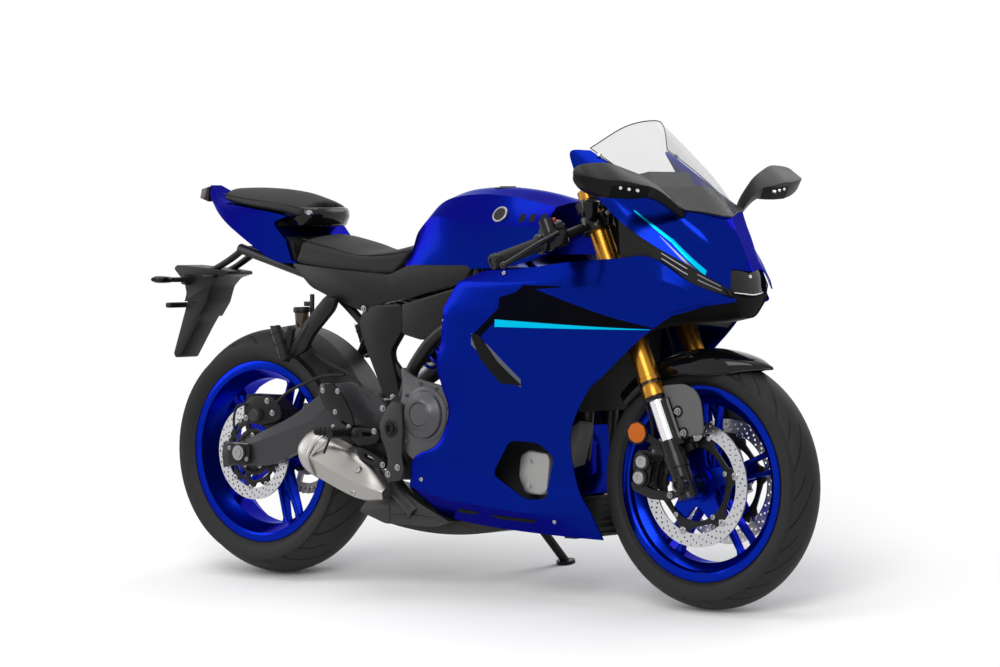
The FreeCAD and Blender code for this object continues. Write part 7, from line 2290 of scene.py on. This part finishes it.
@dataclass
class ForkTrim(Assembly):
    """The fork legs' rings, seals, steps and guards, the calipers, reflectors and stay plates."""

    body: Body = Body.STEERING
    guard_outline: tuple = ((22, -84), (36, -88), (38, -112), (24, -118), (20, -112))
    boss_profile: tuple = ((0.1, 8), (7, 8), (8, 13), (12, 13), (14, 9), (17, 6), (17, -14))
    axle_profile: tuple = ((0.1, 4), (9, 4), (10, 7), (15, 7), (16, 3), (16, -20))
    caliper_outline: tuple = ((532, 352), (546, 384), (592, 390), (628, 380), (640, 352),
                              (630, 322), (604, 304), (598, 286), (560, 284), (536, 304))
    piston_profile: tuple = ((0.1, 0), (23, 0), (21, 9), (17, 11), (0.1, 11))
    caliper_front_outline: tuple = (
        (534, 350), (546, 374), (584, 378), (592, 350), (584, 300), (574, 288), (548, 290),
        (536, 312),
    )
    lower_arm_outline: tuple = ((530, 298), (536, 280), (590, 261), (640, 260), (668, 272),
                                (664, 288), (640, 281), (596, 283), (546, 302))
    upper_arm_outline: tuple = ((586, 398), (640, 380), (668, 398), (662, 380), (634, 362),
                                (596, 378))
    cap_profile: tuple = ((0.1, 3), (5, 3), (6.5, 5), (13.5, 6), (15.5, 4), (16.5, 1), (16.5, -3))
    stay_outline: tuple = ((621, 525), (634, 532), (690, 538), (722, 526), (738, 504), (745, 470),
                           (749, 420), (691, 413), (673, 417), (644, 466))
    seat_profile: tuple = ((0.1, 1.5), (12.5, 1.5), (14.5, 0.5), (14.5, -3))
    reflector_profile: tuple = ((0.1, 8.0), (25, 2.0), (25, -1))
    reflector_rim_profile: tuple = (
        (24.0, 2.0), (24.8, 3.0), (27.5, 2.5), (27.5, -4), (0.1, -4), (0.1, -1.2), (24.0, -1.2),
    )
    reflector_arm_outline: tuple = ((560, 428), (572, 428), (640, 392), (640, 380), (560, 406))

    def build(self) -> None:
        """Make all of them."""
        up = (leg(0, 0, 1) - leg(0, 0, 0)).normalized()
        gold, black = [], []
        at = leg(0, -105, 0)
        gold.append(lathe([(26.4, 533), (28.6, 534), (28.6, 560), (26.4, 564)], at, up, 40, True))
        gold.append(lathe([(26.3, 572), (27.6, 573), (27.6, 580), (26.3, 581)], at, up, 40, True))
        gold.append(lathe([(0.1, 1084), (9, 1084), (11, 1080), (11, 1066), (20, 1064), (23, 1058),
                           (23, 1046)], at, up, 32))
        black.append(lathe([(20.8, 523), (26, 523), (28, 526), (28, 532), (20.8, 532)],
                           at, up, 40, True))
        black.append(lathe([(26.2, 352), (28.6, 354), (29.2, 382), (27, 392), (20.8, 392),
                            (20.8, 388), (26.2, 386)], at, up, 40, True))
        black.append(lathe([(26.3, 565), (26.9, 565), (26.9, 571), (26.3, 571)], at, up, 40, True))
        guard = loft([[leg(x, y, z) for x, y in self.guard_outline]
                      for z in (402, 420, 500, 520)])
        boss = lathe(self.boss_profile, Vector((704, -134, 303)), RIGHT, 28)
        clamp = rod(leg(0, -121, 290), leg(0, -121, 330), 19)
        axle = lathe(self.axle_profile, Vector((697.5, -131, 300)), RIGHT, 28)
        self.add("fork_gold_rings", union(gold).both_sides(), GOLD, smooth=35)
        self.add("fork_seals", union(black).both_sides(), CAST_GLOSS, smooth=35)
        self.add("fork_guards", guard.both_sides(), GLOSS_BLACK, bevel=3.0)
        self.add("fork_clamps", (boss + clamp).both_sides(), CAST_GLOSS, bevel=1.5)
        self.add("fork_axle_ends", axle.both_sides(), ZINC, smooth=35)
        self._calipers()
        self._plates()

    def _calipers(self) -> None:
        """Make the two-piston calipers with their arms."""
        gap = block(Vector((612, -75, 340)), Vector((15, 80, 42)))
        body = plate(self.caliper_outline, 12, -90, -70) + plate(self.caliper_outline, 12, -55, -38)
        body += block(Vector((537, -62, 326)), Vector((15, 44, 46)))
        seats = union([lathe(self.piston_profile, Vector((x, -94, z)), RIGHT, 32)
                       for x, z in ((568, 349), (560, 311))])
        body += plate(self.caliper_front_outline, 12, -97, -88)
        for z in (322, 368):
            body += rod(Vector((600, -92, z)), Vector((636, -92, z + 6)), 4.5)
        arms = plate(self.lower_arm_outline, 5, -98, -82)
        arms += plate(self.upper_arm_outline, 5, -98, -82)
        self.add("caliper_bodies", body.both_sides(), CAST_GLOSS, replaces=["front_calipers"],
                 bevel=3.0, smooth=40, cutters=[gap.both_sides()])
        self.add("caliper_seats", seats.both_sides(), CAST_GLOSS, smooth=35)
        self.add("caliper_arms", arms.both_sides(), CAST_GLOSS, bevel=4.0, smooth=40)
        rim = knob(self.cap_profile, 36)
        places = [(568, 105, 349), (560, 105, 311)]
        spots = side_spots(places) + side_spots(places, -1)
        self.scatter("caliper_caps", rim, spots, BRIGHT_CASE)
        places = [(640, 98, 386), (648, 98, 273)]
        spots = side_spots(places) + side_spots(places, -1)
        self.scatter("caliper_screws", hex_bolt(6.0, 6.0), spots, ZINC)

    def _plates(self) -> None:
        """Make the fender's stay plates, their bolts and the round reflectors."""
        stay = plate(self.stay_outline, 14, -105, -99)
        self.add("stay_plates", stay.both_sides(), STAY_GREY, bevel=2.0, smooth=40)
        places = [(675, 105, 472), (692, 105, 422)]
        seat = knob(self.seat_profile, 28)
        spots = side_spots(places) + side_spots(places, -1)
        self.scatter("stay_seats", seat, spots, BLACK_PLASTIC)
        self.scatter("stay_bolts", hex_bolt(7.0, 8.0), spots, ZINC)
        round_part = knob(self.reflector_profile, 8)
        rim = knob(self.reflector_rim_profile, 36)
        lean = [facing(Vector((563, -side * 117, 418)), Vector((0.12, -side, 0.0)))
                for side in (1, -1)]
        self.scatter("reflectors", round_part, lean, AMBER)
        self.scatter("reflector_rims", rim, lean, BLACK_PLASTIC)
        arm = plate(self.reflector_arm_outline, 4, -111, -105)
        self.add("reflector_arms", arm.both_sides(), CAST, slot="black_alloy", bevel=1.5)


@dataclass
class FrontFender(Assembly):
    """The smooth front fender."""

    body: Body = Body.STEERING
    lines: tuple = ((1.08, 0.86, 0.90, 0.06, 1.22), (1.085, 0.95, 0.95, 0.055, 1.26),
                    (1.09, 1.035, 1.03, 0.04, 0.95), (1.10, 1.065, 1.06, 0.0, 0.0))
    angles: tuple = (58, 65, 72, 80, 88, 96, 104, 112, 120, 129, 138)

    def build(self) -> None:
        """Make the fender as one thin shell with a rolled edge."""
        table = []
        for tip, crown, tail, narrow, wide in self.lines:
            line = []
            for i, angle in enumerate(self.angles):
                run = i / (len(self.angles) - 1)
                ease = min(1.0, run * 2.5)
                radius = tip + (crown - tip) * math.sin(ease * math.pi / 2)
                radius += (tail - crown) * max(0.0, run - 0.4) / 0.6
                width = narrow + (wide - narrow) * math.sin(ease * math.pi / 2) ** 0.8
                out, turn = radius * 3.0, math.radians(angle)
                line.append((6.975 + out * math.cos(turn), width * 0.60,
                             3.0 + out * math.sin(turn)))
            table.append(line)
        shell = skin(with_middle(table), (), 4, 6)
        self.add("front_fender_shell", shell, GLOSS_BLACK, replaces=["front_fender"], thickness=2.6,
                 inside=(697.5, 0.0, 300.0), smooth=60)
        edge = table_row(table[0], 3)
        self.add("front_fender_edges", sweep(edge, 2.4, 8, 1).both_sides(), GLOSS_BLACK, smooth=60)


@dataclass
class Handlebars(Assembly):
    """Grips, switch housings, clamps and the fluid cup."""

    body: Body = Body.STEERING
    sleeve_profile: tuple = ((16.8, 0), (19.5, 0), (19.5, 5), (17.6, 7))
    weight_profile: tuple = ((16.9, -2), (18.6, -2), (18.6, 10), (17.0, 14), (11, 15), (10, 12),
                             (0.1, 12))
    collar_profile: tuple = ((16.9, 0), (23, 0), (25, 4), (25, 16), (23, 19), (16.9, 19))
    clamps_profile: tuple = ((26.4, 958), (39, 958), (40, 961), (40, 994), (38, 997), (26.4, 997))
    cup_profile: tuple = ((0.1, 0), (17, 0), (19, 4), (21, 26), (21, 30), (23, 31), (23, 40),
                          (20, 43), (0.1, 43))

    def build(self) -> None:
        """Make both sides."""
        way = (bar_place(1.0) - bar_place(0.0)).normalized()
        sleeve = [*self.sleeve_profile]
        sleeve += [(17.6 - 0.5 * (k % 2), 10 + 3.2 * k) for k in range(32)]
        sleeve += [(16.8, 112)]
        grip = lathe(sleeve, bar_place(0.545), way, 28, True)
        weight = lathe(self.weight_profile, bar_place(1.0), way, 28)
        self.add("grip_sleeves", grip.both_sides(), RUBBER, smooth=35)
        self.add("grip_ends", weight.both_sides(), CAST, slot="black_alloy", smooth=35)
        rise = UP - way * way.z
        rise.normalize()
        ahead = way.cross(rise).normalized()
        if ahead.x < 0:
            ahead = -ahead
        rings = []
        for share, size in ((0.285, 0.84), (0.30, 1.0), (0.46, 1.0), (0.49, 0.8)):
            outline = rounded([(-21 * size, 6 - 30 * size), (22 * size, 6 - 28 * size),
                               (27 * size, 10 + 8 * size), (18 * size, 10 + 30 * size),
                               (-16 * size, 10 + 30 * size), (-22 * size, 10 + 4 * size)], 9, 3)
            rings.append([bar_place(share) + ahead * u + rise * v for u, v in outline])
        self.add("switch_housings", loft(rings).both_sides(), CAST_GLOSS, smooth=35)
        collar = lathe(self.collar_profile, bar_place(0.49), way, 32, True)
        self.add("grip_collars", collar.both_sides(), CAST_GLOSS, smooth=35)
        red = bar_place(0.38) + rise * 42 - ahead * 4
        turn = Matrix((ahead, way, rise)).transposed().to_4x4()
        self.add("red_switch", block(red, Vector((20, 30, 12)), turn), RED_SWITCH, bevel=3.0)
        button = bar_place(0.38) - ahead * 22 + rise * 10
        self.add("start_button", rod(button + ahead * 3, button - ahead * 3, 6.5), PLATE_GREY,
                 smooth=40)
        up = (leg(0, 0, 1) - leg(0, 0, 0)).normalized()
        clamps = lathe(self.clamps_profile, leg(0, -105, 0), up, 40, True)
        clamps += block(leg(38, -112, 978), Vector((26, 20, 34)))
        self.add("bar_clamps", clamps.both_sides(), CAST_GLOSS, slot="cast_alloy", bevel=1.5,
                 smooth=40)
        cup = lathe(self.cup_profile, Vector((446, -158, 925)), Vector((0.1, 0, 1)), 32)
        self.add("front_cup", cup, CAST_GLOSS, smooth=35)
        spots = [facing(leg(50, side * 105 + k * 14, 984), Vector((0.9, side * 0.2, 0.3)))
                 for side in (-1, 1) for k in (-1, 1)]
        self.scatter("bar_screws", hex_bolt(5.0, 6.0), spots, BOLT)


@dataclass
class ArchParts(Assembly):
    """What shows behind the front wheel: a panel, two ducts and the lower cooler."""

    panel_outline: tuple = ((-105, 258), (-105, 400), (-60, 425), (80, 425), (112, 380), (112, 258))

    def build(self) -> None:
        """Make the three parts."""
        panel = rounded(self.panel_outline, 14)
        self.add("arch_panel", loft([[Vector((x, y, z)) for y, z in panel] for x in (356, 361)]),
                 BODY_PAINT, bevel=1.2, smooth=40,
                 cutters=[block(Vector((358, -12, 345)), Vector((40, 7, 66)))])
        duct = loft([[Vector((x, -y, z)) for x, z in points] for y, points in (
            (112, [(386, 440), (393, 423), (362, 322), (345, 322), (330, 356), (326, 400)]),
            (60, [(384, 434), (388, 420), (362, 330), (348, 330), (336, 358), (332, 396)]))])
        self.add("arch_ducts", duct.both_sides(), STAY_GREY, bevel=3.0, smooth=40)
        core = block(Vector((346, 0, 203)), Vector((34, 196, 100)))
        ribs = [block(Vector((364, 0, 160 + 14.5 * k)), Vector((10, 200, 5))) for k in range(7)]
        self.add("arch_cooler", core + union(ribs), BLACK_PLASTIC, slot="radiator_core", bevel=1.0,
                 smooth=40)


@dataclass
class Studio:
    """The floor, the lights and the camera of the photograph."""

    stance: Stance
    palette: Palette
    camera_place: tuple[float, float, float] = (6297.94, -7501.16, 974.34)
    forward: tuple[float, float, float] = (-0.6400942, 0.7675173, -0.0345932)
    right: tuple[float, float, float] = (0.7678512, 0.6406071, 0.0051997)
    lens: float = 142.54
    floor_radius: float = 6.0
    floor_colour: tuple[float, float, float, float] = (0.985, 0.985, 0.985, 1.0)
    fade: tuple[float, float] = (0.55, 2.1)
    sky_level: float = 0.42
    lamp_target: tuple[float, float, float] = (0.0, 0.0, 0.5)

    def build(self) -> None:
        """Make the floor, the world, the lamps and the camera."""
        self._floor()
        self._world()
        self._lamp("key", (2.2, -3.4, 3.6), (2.6, 2.6), 110.0)
        self._lamp("top", (-0.4, 0.2, 4.2), (4.0, 2.4), 80.0)
        self._lamp("rear", (-3.6, -1.8, 2.2), (1.6, 2.4), 36.0)
        self._lamp("far", (1.0, 3.6, 2.6), (3.0, 2.0), 36.0)
        self._camera()

    def _floor(self) -> None:
        """A pale disc that fades into the background and keeps the shadow."""
        mesh = bpy.data.meshes.new("floor")
        points = [(x, y, 0.0) for x, y in circle_outline(self.floor_radius, 64)]
        mesh.from_pydata(points, [], [tuple(range(len(points)))])
        floor = linked("floor", mesh)
        made = bpy.data.materials.new("floor")
        nodes = Nodes.of(made)
        reach = nodes.vector("LENGTH", nodes("ShaderNodeTexCoord").outputs["Object"])["Value"]
        near, far = self.fade
        fade = nodes("ShaderNodeMapRange", {"Value": reach, "From Min": near, "From Max": far},
                     interpolation_type="SMOOTHSTEP")
        mix = nodes("ShaderNodeMixShader", {
            "Fac": fade.outputs["Result"],
            1: nodes("ShaderNodeBsdfDiffuse", {"Color": self.floor_colour}).outputs["BSDF"],
            2: nodes("ShaderNodeBsdfTransparent").outputs["BSDF"],
        })
        nodes("ShaderNodeOutputMaterial", {"Surface": mix.outputs["Shader"]})
        mesh.materials.append(made)

    def _world(self) -> None:
        """White to the camera and to reflections, and a plain light for the rest."""
        world = bpy.data.worlds.new("studio")
        bpy.context.scene.world = world
        nodes = Nodes.of(world)
        path = nodes("ShaderNodeLightPath").outputs
        seen = nodes.math("MAXIMUM", path["Is Camera Ray"], path["Is Glossy Ray"])
        seen = nodes.math("MAXIMUM", seen, path["Is Transmission Ray"])
        level = nodes("ShaderNodeMapRange", {"Value": seen, "To Min": self.sky_level,
                                             "To Max": 1.0})
        sky = nodes("ShaderNodeBackground", {"Color": (1.0, 1.0, 1.0, 1.0),
                                             "Strength": level.outputs["Result"]})
        nodes("ShaderNodeOutputWorld", {"Surface": sky.outputs["Background"]})

    def _lamp(self, name: str, place: tuple, size: tuple, watts: float) -> None:
        """Hang one soft lamp that looks at the motorcycle's middle.

        Args:
            name: the lamp's name.
            place: where it hangs, in metres.
            size: its width and height.
            watts: its power.
        """
        data = bpy.data.lights.new(name, "AREA")
        data.shape = "RECTANGLE"
        data.size, data.size_y = size
        data.energy = watts
        lamp = bpy.data.objects.new(name, data)
        lamp.location = place
        aim = Vector(self.lamp_target) - Vector(place)
        lamp.rotation_euler = aim.to_track_quat("-Z", "Y").to_euler()
        bpy.context.scene.collection.objects.link(lamp)

    def _camera(self) -> None:
        """Place the camera where the photograph's camera stood beside the upright motorcycle."""
        data = bpy.data.cameras.new("photo camera")
        data.lens = self.lens
        data.sensor_width = 36.0
        data.clip_end = 60.0
        camera = bpy.data.objects.new("photo camera", data)
        turn = self.stance.metres.to_3x3()
        ahead, right = turn @ Vector(self.forward), turn @ Vector(self.right)
        ahead.normalize()
        right = (right - ahead * right.dot(ahead)).normalized()
        above = right.cross(ahead)
        frame_turn = Matrix((right, above, -ahead)).transposed().to_4x4()
        camera.matrix_world = Matrix.Translation(self.stance.place(self.camera_place)) @ frame_turn
        bpy.context.scene.collection.objects.link(camera)
        bpy.context.scene.camera = camera


def dress_nodes(palette: Palette) -> None:
    """Give every CAD node the material of its finish.

    Args:
        palette: where the materials come from.
    """
    for name, finish in NODE_FINISHES.items():
        node = frame["nodes"].get(name)
        if node is None:
            LOG.warning("no node %s", name)
            continue
        for entry in node.material_slots:
            entry.material = palette.material(finish)


ASSEMBLIES: tuple[type, ...] = (FrontWheel, RearWheel, SidePanels, NoseUnit, Mirrors, TankUnit,
                                TailUnit, Seats, RearFrame, Muffler, EngineTrim, ForkTrim,
                                FrontFender, Handlebars, ArchParts)


def main() -> None:
    """Build the visual model in order."""
    logging.basicConfig(level=logging.INFO, format="%(message)s")
    bpy.context.scene.view_settings.view_transform = "Standard"
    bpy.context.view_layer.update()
    stance = Stance(frame["joints"])
    palette = Palette(stance)
    dress_nodes(palette)
    for kind in ASSEMBLIES:
        kind(stance, palette).build()
    Studio(stance, palette).build()


if __name__ == "__main__":
    main()
